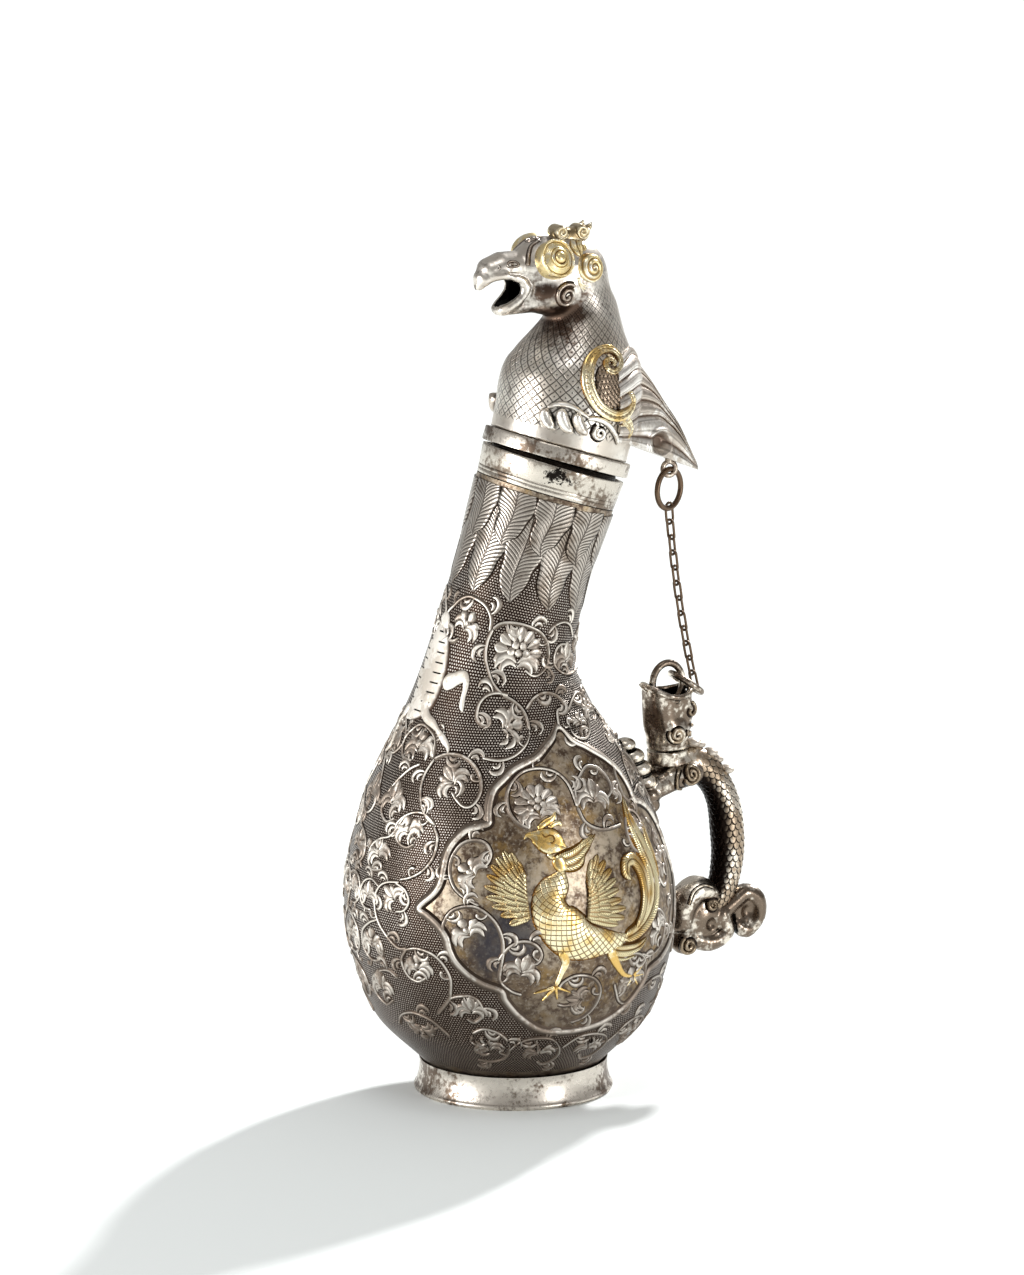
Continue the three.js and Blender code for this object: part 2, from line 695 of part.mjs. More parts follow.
// The mouth's frame: its origin is the middle of the neck's end, with Z along the neck.
const mouth = new THREE.Group();
mouth.position.set(axisAt(neckEndHeight), 0, neckEndHeight);
mouth.rotation.y = mouthTilt;
flask.add(mouth);

const bandInner = neckEndRadius - wall;
part("mouth_band", turned([
  [bandInner, gap], [neckEndRadius, gap], [mouthRadius, bandHeight], [bandInner + 0.6, bandHeight],
  [bandInner, gap],
]), silver, mouth);

// The cover's frame: the underside of its rim, tipped up about the rim's +Y edge.
const seat = new THREE.Group();
seat.position.set(0, rimRadius, bandHeight + gap);
seat.rotation.x = -coverLean * degree;
mouth.add(seat);
const cover = new THREE.Group();
cover.position.y = -rimRadius;
seat.add(cover);

const sleeveOuter = bandInner - sleeveClearance;
part("cover_rim", collar(sleeveOuter - sleeveWall, rimRadius, 0, rimHeight), silver, cover);
part("cover_sleeve", collar(sleeveOuter - sleeveWall, sleeveOuter, -sleeveDepth, -gap), darkSilver, cover);

// The bird stands upright on the leaning rim.
const bird = new THREE.Group();
bird.position.z = rimHeight + gap;
bird.rotation.y = -mouthTilt;
cover.add(bird);
const rimCut = placed(collar(0, rimRadius * 2, -30, gap), new THREE.Matrix4().makeRotationY(mouthTilt));
const scroll = wingScroll();
const grownScroll = scrollRod(gap);
const foot = talon().subtract(rimCut).subtract(grownScroll);
const grownFoot = foot.add(foot.translate([gap, 0, 0])).add(foot.translate([0, 0, gap]));
const bothSides = [grownScroll, mirrored(grownScroll), grownFoot, mirrored(grownFoot)];
const keepOff = joined([grownBird, rimCut, ...bothSides]);
part("bird_shell", birdShell(), silver, bird);
part("wings_and_tail", largest(wings().subtract(keepOff)), silver, bird);
pair("eye_boss", eyeBoss(), gilt, bird);
pair("ear_scroll", earScroll(), gilt, bird);
pair("jaw_scroll", jawScroll(), silver, bird);
part("crest", crest(), gilt, bird);
pair("wing_scroll", scroll, gilt, bird);
pair("talon", largest(foot), silver, bird);
part("tail_lug", tailLug(wings(-gap)), wireSilver, bird);

// The tail ring hangs plumb from the lug's lower wire.
flask.updateMatrixWorld(true);
const lugBottom = vector(lugReach, 0, lugCentreZ).applyMatrix4(bird.matrixWorld).add(vector(0, 0, -lugEye));
const ringTop = lugBottom.clone().add(vector(0, 0, lugWire + ringWire + gap));
const tailRing = new THREE.Group();
tailRing.position.copy(ringTop);
tailRing.rotation.z = (90 + ringTurn) * degree;
flask.add(tailRing);
part("tail_ring", closedWire(loop(ringRadius, ringRadius, 22), ringWire, 7, acrossFlask)
  .translate([0, 0, -ringRadius]), wireSilver, tailRing);

// Dragon handle

const vesselSideAt = (height, y) => axisAt(height) + Math.sqrt(radiusAt(height) ** 2 - y ** 2);

function dragonBody(grown) {
  const spine = [
    [dragonHeadX + 3, handleTop],
    [dragonHeadX + 11, handleTop - 1.6],
    [handleReach - 5.6, handleTop - 7.2],
    [handleReach - 1.5, handleTop - 16],
    [handleReach, handleTop - 27],
    [handleReach, (handleTop + handleFoot) / 2 - 8],
    [handleReach - 2, handleFoot + 10],
    [handleReach - 6 - grown, handleFoot + 4 - grown],
  ].map(([x, z]) => vector(x, 0, z));
  const size = smoothly([
    [0, 4], [0.1, 5.8], [0.3, handleRadius - 0.2], [0.55, handleRadius + 0.3], [0.9, 5], [1, 4],
  ]);
  const chest = ball([6.4 + grown, 6 + grown, 5 + grown], [dragonHeadX + 2.4, 0, handleTop - 0.6], 14, 10);
  return rod(spine, (t) => size(t) + grown, 15, 12, 0.95).add(chest);
}

// The dragon's upright head: a cup whose open jaws hold a ring about the tongue, a bar across them.
const dragonHeadBase = handleTop + dragonHeadRise;
const lipHeight = dragonHeadBase + dragonHeadLength;
const tongueHeight = lipHeight - 2.2;
function dragonHead() {
  const side = (inset, low) => {
    const rings = [];
    const steps = 6;
    for (let i = 0; i <= steps; i++) {
      const t = i / steps;
      const height = dragonHeadBase + low + (dragonHeadLength - low) * t;
      const reach = dragonHeadRadius + jawFlare * t * t - inset;
      const ring = [];
      for (let j = 0; j < 22; j++) {
        const turn = (j / 22) * 2 * Math.PI;
        const lip = t * t * (0.9 * Math.cos(2 * turn) - 0.3 * Math.cos(turn) - 0.3);
        ring.push(vector(dragonHeadX + reach * Math.cos(turn), 0.88 * reach * Math.sin(turn), height + lip));
      }
      rings.push(ring);
    }
    return rings;
  };
  const tongueLength = 2 * 0.88 * (dragonHeadRadius - jawWall / 2);
  const tongue = drum(tongueRadius, tongueLength, dragonHeadX, 0, tongueHeight, 12);
  return solid(loft([...side(0, 0), ...side(jawWall, 6).reverse()])).add(tongue);
}

// A foreleg: shoulder, arm, and a knuckled paw that lies up the flask's side with a spur below.
function foreleg(body) {
  const wristHeight = handleTop - 7;
  const y = -6.2;
  const shoulder = vector(dragonHeadX + 7, -4.4, handleTop - 3);
  const wrist = vector(vesselSideAt(wristHeight, y) + pawRadius + 1, y, wristHeight);
  const elbow = vector((shoulder.x + wrist.x) / 2, -6.4, wristHeight + 3.4);
  const arm = rod([shoulder, elbow, wrist],
    (t) => 4.6 - 1.5 * t, 5, 8);
  const along = [0, 5, 11, 16].map((up) => vector(
    vesselSideAt(wristHeight + up, y) + pawRadius * 0.8, y, wristHeight + up));
  const paw = rod(along, (t) => pawRadius * (1 + 0.13 * Math.cos(6 * Math.PI * t)), 12, 7);
  const tip = ball([pawRadius, pawRadius, pawRadius], along[3].toArray(), 8, 6);
  const spur = rod([wrist, vector(vesselSideAt(wristHeight - 7, y) + 1, y, wristHeight - 7)],
    (t) => pawRadius * (1 - 0.55 * t), 4, 8);
  const halfSpace = solid(new THREE.BoxGeometry(200, 20, 400).translate(60, 10 - gap / 2, 100));
  return largest(joined([ball([5.2, 4.2, 5.2], shoulder.toArray(), 10, 6), arm, paw, tip, spur])
    .subtract(grownVessel).subtract(body).subtract(halfSpace));
}

// Cloud scrolls where the dragon's tail meets the flask: a dome, a bowl, a knob and an open outer curl.
function tailScroll(body) {
  const x = handleReach;
  const z = handleFoot;
  const curl = curlHeight / 2;
  const lobe = (points, wide, narrow, flat) => rod(
    points.map(([px, pz]) => vector(px, 0, pz)), (t) => wide + (narrow - wide) * t, 9, 8, flat);
  return largest(joined([
    lobe([[x - 20, z - 2], [x - 17.6, z + 6.4], [x - 11.6, z + 9.6], [x - 5.6, z + 7.4], [x - 4.6, z + 3.2]],
      4.6, 2.4, 1.5),
    lobe([[x - 2, z + 1], [x - 0.8, z - 5.4], [x - 7.2, z - 8], [x - 14, z - 5.2], [x - 14, z - 1]],
      3.8, 3.2, 1.5),
    lobe([[x - 17, z - 3], [x - 18.6, z - 8], [x - 14.4, z - 10.2]], 3, 2.5, 1.6),
    lobe([[x - 4, z + 1], [x + 3, z + curl * 0.62], [x + 9, z + curl * 0.62], [x + 12.4, z + 0.6],
      [x + 10.8, z - curl * 0.6], [x + 6, z - curl * 0.68], [x + 3.2, z - 2]], 3.2, 2.4, 1.3),
    ball([9, 5, 8], [x - 10, 0, z - 1], 14, 10),
  ]).subtract(grownVessel).subtract(body));
}

const headCut = placed(dragonHead().hull(), new THREE.Matrix4().makeTranslation(0, 0, -gap));
const body = dragonBody(0).subtract(headCut).subtract(grownVessel);
const grownBody = dragonBody(gap);
part("dragon_body", largest(body), darkSilver);
part("dragon_head", dragonHead(), darkSilver);
pair("foreleg", foreleg(grownBody.add(headCut)), darkSilver, flask);
part("tail_scroll", tailScroll(grownBody), darkSilver);

// The mouth ring hangs up from the tongue, which lies inside its lower end.
const mouthRingCentre = vector(dragonHeadX, 0,
  tongueHeight - tongueRadius - gap - mouthRingWire + mouthRingHeight);
part("mouth_ring", closedWire(loop(mouthRingWidth, mouthRingHeight, 24), mouthRingWire, 7, acrossFlask),
  wireSilver).position.copy(mouthRingCentre);

// The end ring passes round the mouth ring's outer side and slopes down over the lip.
const endPivot = mouthRingCentre.clone().add(vector(
  mouthRingWidth * Math.cos(endRingPlace * degree), 0, mouthRingHeight * Math.sin(endRingPlace * degree)));
const endRing = new THREE.Group();
endRing.position.copy(endPivot);
endRing.rotation.y = endRingDrop * degree;
flask.add(endRing);
part("end_ring", closedWire(loop(endRingRadius, endRingRadius, 24), endRingWire, 7, acrossFlask)
  .rotate([90, 0, 0]).translate([endRingRadius - endRingBack, 0, 0]), wireSilver, endRing);

// The chain hangs in a shallow curve from the tail ring to just beside the end ring's far side.
flask.updateMatrixWorld(true);
const linkLap = 2 * linkWire + linkPlay; // a link's top wire stands this far above the wire it hangs on
const firstLap = ringWire + linkWire + linkPlay;
const ringBottom = ringTop.clone().add(vector(0, 0, -2 * ringRadius));
const farSide = endRingSide * degree;
const beside = endRingRadius + endRingWire + linkWire + 2 * gap;
const chainEnd = vector(
  endRingRadius - endRingBack + beside * Math.cos(farSide), beside * Math.sin(farSide), linkWire,
).applyMatrix4(endRing.matrixWorld);
const along = new THREE.QuadraticBezierCurve3(ringBottom,
  ringBottom.clone().lerp(chainEnd, 0.5).add(vector(-chainSag, 0, 0)), chainEnd);
for (let i = 0; i < linkCount; i++) {
  const from = along.getPointAt(i / linkCount);
  const to = along.getPointAt((i + 1) / linkCount);
  const down = to.clone().sub(from);
  const lap = i === 0 ? firstLap : linkLap;
  const hang = new THREE.Group();
  hang.position.copy(from);
  hang.quaternion.setFromUnitVectors(vector(0, 0, -1), down.clone().normalize());
  flask.add(hang);
  const made = link(i === 0 ? firstLinkWidth : linkWidth, (down.length() + lap) / 2);
  const mesh = part(`chain_link_${String(i + 1).padStart(2, "0")}`, made, wireSilver, hang);
  mesh.position.z = lap;
  mesh.rotation.z = (ringTurn + (i % 2 ? 90 : 0)) * degree;
}

// The origin is the middle of the flask's base, taken over its whole width and depth.
flask.updateMatrixWorld(true);
const bounds = new THREE.Box3().setFromObject(flask, true);
flask.position.set(-(bounds.min.x + bounds.max.x) / 2, -(bounds.min.y + bounds.max.y) / 2, -bounds.min.z);

export default flask;
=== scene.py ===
"""Looks of a parcel-gilt silver flask with a bird-headed cover, a dragon handle and a chain.

It is laid out as an add-on that runs as a script. Sizes are in millimetres until mesh_piece turns
them into metres. The part's own frame has the middle of the foot at the origin, the handle towards
+X and the beak towards -X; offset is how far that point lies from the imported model's origin.
"""

import math

import bmesh
import bpy
import numpy as np
from bpy.props import FloatProperty, IntProperty, PointerProperty
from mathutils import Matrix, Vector


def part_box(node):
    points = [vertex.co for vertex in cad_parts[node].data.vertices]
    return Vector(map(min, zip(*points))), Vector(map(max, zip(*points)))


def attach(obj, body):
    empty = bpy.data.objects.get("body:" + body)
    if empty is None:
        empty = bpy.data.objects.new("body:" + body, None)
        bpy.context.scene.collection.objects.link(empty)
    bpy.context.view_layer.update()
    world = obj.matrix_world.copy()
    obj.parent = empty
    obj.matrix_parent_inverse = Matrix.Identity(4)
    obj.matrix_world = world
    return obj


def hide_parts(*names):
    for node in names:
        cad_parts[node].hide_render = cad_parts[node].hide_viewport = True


bl_info = {
    "name": "Silver flask",
    "version": (1, 0, 0),
    "blender": (4, 5, 0),
    "location": "3D View > Sidebar > Flask",
    "description": "Builds the visible pieces of the flask round its packed model",
    "category": "Object",
}

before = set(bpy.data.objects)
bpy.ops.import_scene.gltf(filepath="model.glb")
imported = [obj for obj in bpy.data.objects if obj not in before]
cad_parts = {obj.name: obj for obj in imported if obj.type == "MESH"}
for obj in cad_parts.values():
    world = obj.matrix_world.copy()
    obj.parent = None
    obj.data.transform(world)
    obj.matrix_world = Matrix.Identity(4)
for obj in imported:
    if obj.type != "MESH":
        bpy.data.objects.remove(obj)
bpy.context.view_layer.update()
foot_low, foot_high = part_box("foot_ring")
offset = np.array([(foot_low[0] + foot_high[0]) * 500, (foot_low[1] + foot_high[1]) * 500, 0])


# Shape helpers


def smooth(pairs):
    """A smooth function through (at, value) pairs: cubic pieces that share their slopes at the pairs."""
    at, value = np.array(pairs, float).T
    last = len(at) - 1
    slope = np.array([
        (value[min(k + 1, last)] - value[max(k - 1, 0)]) / (at[min(k + 1, last)] - at[max(k - 1, 0)])
        for k in range(last + 1)
    ])

    def curve(x):
        x = np.asarray(x, float)
        i = np.clip(np.searchsorted(at, x, side="left") - 1, 0, last - 1)
        span = at[i + 1] - at[i]
        t = (x - at[i]) / span
        t2, t3 = t * t, t * t * t
        return (
            (2 * t3 - 3 * t2 + 1) * value[i] + (t3 - 2 * t2 + t) * span * slope[i]
            + (3 * t2 - 2 * t3) * value[i + 1] + (t3 - t2) * span * slope[i + 1]
        )

    return curve


def ease(x, low, high):
    """0 below low, 1 above high, and a smooth step between."""
    t = np.clip((np.asarray(x, float) - low) / (high - low), 0, 1)
    return t * t * (3 - 2 * t)


def unit(v):
    return v / np.maximum(np.linalg.norm(v, axis=-1, keepdims=True), 1e-12)


def trace(text):
    """Points from text such as '3,4 5,6'."""
    return np.array([[float(n) for n in pair.split(",")] for pair in text.split()])


def flow(points, step, closed=False):
    """A uniform Catmull-Rom curve through the points, with about one sample every step."""
    points = np.asarray(points, float)
    if closed:
        points = np.vstack([points[-1], points, points[:2]])
    else:
        points = np.vstack([2 * points[0] - points[1], points, 2 * points[-1] - points[-2]])
    out = []
    for a, b, c, d in zip(points, points[1:], points[2:], points[3:]):
        count = max(2, int(np.ceil(np.linalg.norm(c - b) / step)))
        t = np.arange(count)[:, None] / count
        out.append(0.5 * (2 * b + (c - a) * t + (2 * a - 5 * b + 4 * c - d) * t**2
                          + (3 * b - a - 3 * c + d) * t**3))
    if not closed:
        out.append(points[-2][None])
    return np.vstack(out)


def distance_along(points):
    return np.concatenate([[0], np.cumsum(np.linalg.norm(np.diff(points, axis=0), axis=1))])


class Shape:
    """Vertices, faces and per-vertex values gathered for one mesh."""

    def __init__(self, *names):
        self.names = names
        self.points, self.faces, self.values, self.count = [], [], [], 0

    def add(self, points, faces, *values):
        """Adds points (n, 3) and faces (m, 3 or 4); each value is a number or one per point."""
        points = np.asarray(points, float).reshape(-1, 3)
        self.points.append(points)
        self.faces.append(np.asarray(faces) + self.count)
        self.values.append(np.stack([np.broadcast_to(v, len(points)) for v in values], 1)
                           if values else np.zeros((len(points), 0)))
        self.count += len(points)
        return self

    def grid(self, points, *values, wrap=True, caps=(False, False)):
        """A grid of points (rows, columns, 3). wrap joins its columns in a round, and caps close its
        first and last row with a fan."""
        rows, columns = points.shape[:2]
        index = np.arange(rows * columns).reshape(rows, columns)
        right = np.roll(index, -1, axis=1) if wrap else index[:, 1:]
        left = index if wrap else index[:, :-1]
        faces = np.stack([left[:-1], right[:-1], right[1:], left[1:]], -1).reshape(-1, 4)
        flat = points.reshape(-1, 3)
        values = [np.broadcast_to(v, (rows, columns)).reshape(-1) for v in values]
        self.add(flat, faces, *values)
        base = self.count - len(flat)
        for end, row in ((0, 0), (1, rows - 1)):
            if caps[end]:
                middle = points[row].mean(0)
                ring = index[row] + base
                around = np.roll(ring, -1)
                centre = self.count
                self.points.append(middle[None])
                self.values.append(np.array([[v[index[row]].mean() for v in values]]).reshape(1, -1))
                self.count += 1
                fan = (ring, around) if row else (around, ring)
                self.faces.append(np.stack([fan[0], fan[1], np.full(columns, centre)], 1))
        return self


def mesh_piece(name, shape, material, body, replaces=(), uv=None):
    """Makes a mesh object at the origin from a Shape in the part's frame, and puts it on its body.
    uv is one (u, v) per face corner, in the faces' order."""
    points = (np.vstack(shape.points) + offset) * 0.001
    mesh = bpy.data.meshes.new(name)
    sizes = np.concatenate([np.full(len(f), f.shape[1]) for f in shape.faces])
    corners = np.concatenate([f.reshape(-1) for f in shape.faces])
    mesh.vertices.add(len(points))
    mesh.vertices.foreach_set("co", points.astype(np.float32).reshape(-1))
    mesh.loops.add(len(corners))
    mesh.loops.foreach_set("vertex_index", corners.astype(np.int32))
    mesh.polygons.add(len(sizes))
    starts = np.concatenate([[0], np.cumsum(sizes)[:-1]])
    mesh.polygons.foreach_set("loop_start", starts.astype(np.int32))
    mesh.polygons.foreach_set("use_smooth", np.ones(len(sizes), bool))
    mesh.update(calc_edges=True)
    values = np.vstack(shape.values)
    for k, attribute in enumerate(shape.names):
        layer = mesh.attributes.new(attribute, "FLOAT", "POINT")
        layer.data.foreach_set("value", values[:, k].astype(np.float32))
    if uv is not None:
        mesh.uv_layers.new(name="pattern").data.foreach_set("uv", uv.astype(np.float32).reshape(-1))
    if mesh.validate():
        raise RuntimeError(f"{name} had faces that Blender dropped")
    made = bpy.data.objects.new(name, mesh)
    bpy.context.scene.collection.objects.link(made)
    mesh.materials.append(material)
    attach(made, body)
    if replaces:
        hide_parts(*replaces)
    return made


# The vessel's surface

bottom_rise, seat_height, seat_radius, end_height = 7.5, 11.5, 31.0, 202.0
radius_at = smooth([(11.5, 31), (28, 46.5), (63, 55), (103, 46), (130, 31.5), (149, 24.4), (176, 22.3),
                    (202, 23.4)])
axis_at = smooth([(0, 0), (63, -1.5), (103, -4.0), (130, -5.2), (149, -4.0), (176, 3), (202, 11.6)])


def tilt_at(height):
    """The rounds lie level up to the belly, and turn square to the leaning axis above it."""
    low, high = np.maximum(height - 0.5, 0), np.minimum(height + 0.5, end_height)
    return ease(height, 63, 103) * np.arctan2(axis_at(high) - axis_at(low), high - low)


def on_round(turn, height, radius):
    """The point at a turn about the leaning axis: its round lies square to the axis at that height."""
    tilt = tilt_at(height)
    out = radius * np.cos(turn)
    x = axis_at(height) + out * np.cos(tilt)
    return np.stack([x, radius * np.sin(turn), height - out * np.sin(tilt)], -1)


def on_vessel(turn, height, lift=0.0):
    """A point of the vessel, and the direction out of it, at a turn in radians and a height."""
    point = on_round(turn, height, radius_at(height))
    step = 0.01
    round_way = on_round(turn + step, height, radius_at(height)) - point
    up_way = on_round(turn, height + step, radius_at(height + step)) - point
    out = unit(np.cross(round_way, up_way))
    return point + out * np.asarray(lift)[..., None], out


def stretch_at(height):
    """How much surface there is along the profile for each millimetre of height."""
    return np.sqrt(1 + ((radius_at(height + 0.5) - radius_at(height - 0.5)) ** 2))


mouth_tilt = float(tilt_at(end_height))
mouth_centre = np.array([float(axis_at(end_height)), 0, end_height])


def from_mouth(points):
    """From the mouth's frame, whose Z runs along the neck, to the part's frame."""
    c, s = math.cos(mouth_tilt), math.sin(mouth_tilt)
    x, y, z = np.moveaxis(np.asarray(points, float), -1, 0)
    return np.stack([x * c + z * s, y, -x * s + z * c], -1) + mouth_centre


rim_radius, rim_height, band_height, cover_gap = 24.9, 4.8, 10.0, 0.3


def from_cover(points):
    """From the cover's frame: it sits on the band and is tipped up by 2 degrees about its +Y edge."""
    a = math.radians(-2)
    x, y, z = np.moveaxis(np.asarray(points, float), -1, 0)
    y = y - rim_radius
    turned = np.stack([x, y * math.cos(a) - z * math.sin(a) + rim_radius,
                       y * math.sin(a) + z * math.cos(a) + band_height + cover_gap], -1)
    return from_mouth(turned)


def from_bird(points):
    """From the bird's frame, which stands upright in the middle of the rim's top."""
    c, s = math.cos(-mouth_tilt), math.sin(-mouth_tilt)
    x, y, z = np.moveaxis(np.asarray(points, float), -1, 0)
    upright = np.stack([x * c + z * s, y, -x * s + z * c + rim_height + cover_gap], -1)
    return from_cover(upright)


# Colours and materials


def linear(hex_colour):
    """A linear colour from an sRGB hex one."""
    parts = [int(hex_colour[i:i + 2], 16) / 255 for i in (1, 3, 5)]
    return [c / 12.92 if c <= 0.04045 else ((c + 0.055) / 1.055) ** 2.4 for c in parts] + [1.0]


def add(tree, kind, settings=None, links=None):
    """Adds a shader node. settings are its properties; links give an input a value or a socket."""
    made = tree.nodes.new("ShaderNode" + kind)
    for key, value in (settings or {}).items():
        setattr(made, key, value)
    for key, value in (links or {}).items():
        if isinstance(value, bpy.types.NodeSocket):
            tree.links.new(value, made.inputs[key])
        else:
            made.inputs[key].default_value = value
    return made


def math_of(tree, operation, *values, clamp=False):
    """A Math node on values or sockets."""
    return add(tree, "Math", {"operation": operation, "use_clamp": clamp}, dict(enumerate(values))).outputs[0]


def mixed(tree, share, low, high):
    """A colour mix by share."""
    return add(tree, "Mix", {"data_type": "RGBA"}, {0: share, 6: low, 7: high}).outputs[2]


def ramp(tree, value, low, high, bottom=0.0, top=1.0):
    """Value carried smoothly from the range low..high to bottom..top."""
    return add(tree, "MapRange", {"interpolation_type": "SMOOTHSTEP"},
               {0: value, 1: low, 2: high, 3: bottom, 4: top}).outputs[0]


def value_of(tree, attribute):
    return add(tree, "Attribute", {"attribute_name": attribute}).outputs["Fac"]


def noise(tree, size_mm, detail=3.0, roughness=0.55, stretch=None):
    """Noise whose lumps are about size_mm across, in the piece's own coordinates in metres."""
    place = add(tree, "TexCoord").outputs["Object"]
    if stretch:
        place = add(tree, "Mapping", None, {"Vector": place, "Scale": stretch}).outputs[0]
    return add(tree, "TexNoise", None, {"Vector": place, "Scale": 1000 / size_mm, "Detail": detail,
                                        "Roughness": roughness}).outputs["Fac"]


def new_material(name):
    """A material with a shader and an output, ready for its nodes."""
    made = bpy.data.materials.new(name)
    made.use_nodes = True
    tree = made.node_tree
    shader = next(n for n in tree.nodes if n.type == "BSDF_PRINCIPLED")
    shader.inputs["Metallic"].default_value = 1.0
    return made, tree, shader


def bumped(tree, shader, height, depth_mm, strength=1.0, normal=None):
    """Bump by height times depth_mm, from nothing or on top of another bump's normal."""
    links = {"Height": height, "Strength": strength, "Distance": depth_mm * 0.001}
    if normal is not None:
        links["Normal"] = normal
    made = add(tree, "Bump", None, links).outputs[0]
    tree.links.new(made, shader.inputs["Normal"])
    return made


def aged_metal(name, bright, dull, stain, stain_share, roughness, wear_and_shade="rise", hollow=None, hollow_deep="#241c17",
               depth=0.05):
    """Old hand-worked metal: bright where it is rubbed, dull in the lows, with stains in soft blotches
    and fine pits. The wear value is 1 on the rubbed highs and 0 in the lows; on some pieces it also carries painted
    shade."""
    made, tree, shader = new_material(name)
    cloud = noise(tree, 14, 4.0)
    fine = noise(tree, 1.6, 5.0, 0.6)
    speck = noise(tree, 0.5, 2.0)
    stained = math_of(tree, "ADD", cloud, math_of(tree, "MULTIPLY", fine, 0.5))
    colour = mixed(tree, ramp(tree, stained, 0.98 - stain_share, 1.12 - stain_share), linear(bright), linear(stain))
    if wear_and_shade:
        low = ramp(tree, value_of(tree, wear_and_shade), 0.16, 0.6)
        colour = mixed(tree, low, linear(dull), colour)
    if hollow:
        colour = mixed(tree, ramp(tree, value_of(tree, hollow), 0.2, 0.8), colour, linear(hollow_deep))
    tree.links.new(colour, shader.inputs["Base Color"])
    rough = ramp(tree, fine, 0.3, 0.7, roughness - 0.06, roughness + 0.12)
    tree.links.new(rough, shader.inputs["Roughness"])
    bumped(tree, shader, math_of(tree, "ADD", fine, math_of(tree, "MULTIPLY", speck, 0.4)), depth)
    return made


def ring_punched_silver():
    """Silver punched all over with small rings and gone brown in the lows: the rings catch the light
    as rows of pale dots on dark brown. Inside the medallion the ground is smooth under a dull haze."""
    made, tree, shader = new_material("ring_punched_silver")
    place = add(tree, "UVMap", {"uv_map": "pattern"}).outputs[0]
    cell = add(tree, "VectorMath", {"operation": "FRACTION"}, {0: place}).outputs[0]
    away = add(tree, "VectorMath", {"operation": "DISTANCE"}, {0: cell, 1: (0.5, 0.5, 0.0)}).outputs["Value"]
    # The rings are punched finer than a pixel of the picture, so they are drawn a little coarser.
    dot = ramp(tree, away, 0.19, 0.36, 1.0, 0.0)
    eye = ramp(tree, away, 0.05, 0.14, 1.0, 0.0)
    ring = math_of(tree, "SUBTRACT", dot, math_of(tree, "MULTIPLY", eye, 0.5))
    cloud = noise(tree, 22, 4.0)
    fine = noise(tree, 1.5, 4.0)
    panel = value_of(tree, "panel")
    plain = value_of(tree, "plain")
    smooth_part = math_of(tree, "MAXIMUM", panel, plain)
    place = add(tree, "TexCoord").outputs["Object"]
    rise = add(tree, "SeparateXYZ", None, {0: place}).outputs[2]
    # Painted shade: from 85 mm down, the colour is darkened more and more towards the bottom of the belly; the shoulder
    # keeps its colour.
    low = ramp(tree, rise, 0.02, 0.085, 1.0, 0.0)
    lit = mixed(tree, ramp(tree, cloud, 0.35, 0.65), linear("#c9bcaf"), linear("#f1e9e0"))
    lit = mixed(tree, math_of(tree, "MULTIPLY", low, 0.85), lit, linear("#7d7064"))
    ground = mixed(tree, ring, linear("#2e221b"), lit)
    haze = mixed(tree, ramp(tree, cloud, 0.38, 0.62), linear("#806d58"), linear("#c2b39e"))
    amber = ramp(tree, noise(tree, 12, 3.0), 0.47, 0.62, 0.0, 0.6)
    haze = mixed(tree, amber, haze, linear("#a08048"))
    haze = mixed(tree, ramp(tree, noise(tree, 4, 6.0, 0.7), 0.42, 0.62), haze, linear("#5a4a3e"))
    haze = mixed(tree, ramp(tree, noise(tree, 1.2, 4.0), 0.5, 0.66, 0.0, 0.55), haze, linear("#cabdab"))
    # The haze inside the medallion gets the same painted shade towards the bottom of the belly.
    haze = mixed(tree, math_of(tree, "MULTIPLY", low, 0.75), haze, linear("#473d36"))
    # A blue-black bloom of tarnish in front of the phoenix's feet.
    bloom = tuple((on_vessel(math.radians(-118), 63)[0].reshape(3) + offset) * 0.001)
    away = add(tree, "VectorMath", {"operation": "DISTANCE"}, {0: place, 1: bloom}).outputs["Value"]
    away = math_of(tree, "ADD", away, math_of(tree, "MULTIPLY", noise(tree, 5, 4.0), 0.012))
    haze = mixed(tree, ramp(tree, away, 0.013, 0.023, 0.85, 0.0), haze, linear("#3a3a41"))
    colour = mixed(tree, smooth_part, ground, haze)
    colour = mixed(tree, ramp(tree, fine, 0.55, 0.75, 0.0, 0.5), colour, linear("#3f332b"))
    tree.links.new(colour, shader.inputs["Base Color"])
    shader.inputs["Roughness"].default_value = 0.42
    height = math_of(tree, "MULTIPLY", ring, math_of(tree, "SUBTRACT", 1.0, smooth_part))
    normal = bumped(tree, shader, height, 0.16)
    bumped(tree, shader, fine, 0.06, normal=normal)
    return made


def reopened(made):
    """A finished material's tree, its shader and the colour that goes into it."""
    tree = made.node_tree
    shader = next(n for n in tree.nodes if n.type == "BSDF_PRINCIPLED")
    return tree, shader, shader.inputs["Base Color"].links[0].from_socket


def chased_silver(name, bright="#efe8de", dull="#30261f", roughness=0.46):
    """Chased silver relief: rubbed bright along the tops, greyed down one side by the chaser's lines,
    dark where it meets the ground, and darkened low on the belly as painted shade."""
    made = aged_metal(name, bright, dull, "#aea093", 0.26, roughness, depth=0.03)
    tree, shader, colour = reopened(made)
    # The chaser's lines are finer than the picture can show, so they are drawn as one grey side.
    lined = ramp(tree, value_of(tree, "across"), -0.5, 0.4, 0.75, 0.0)
    colour = mixed(tree, lined, colour, linear("#776b60"))
    place = add(tree, "TexCoord").outputs["Object"]
    rise = add(tree, "SeparateXYZ", None, {0: place}).outputs[2]
    # Painted shade: the relief is darkened towards the bottom of the belly.
    colour = mixed(tree, ramp(tree, rise, 0.02, 0.085, 0.6, 0.0), colour, linear("#5e5248"))
    tree.links.new(colour, shader.inputs["Base Color"])
    return made


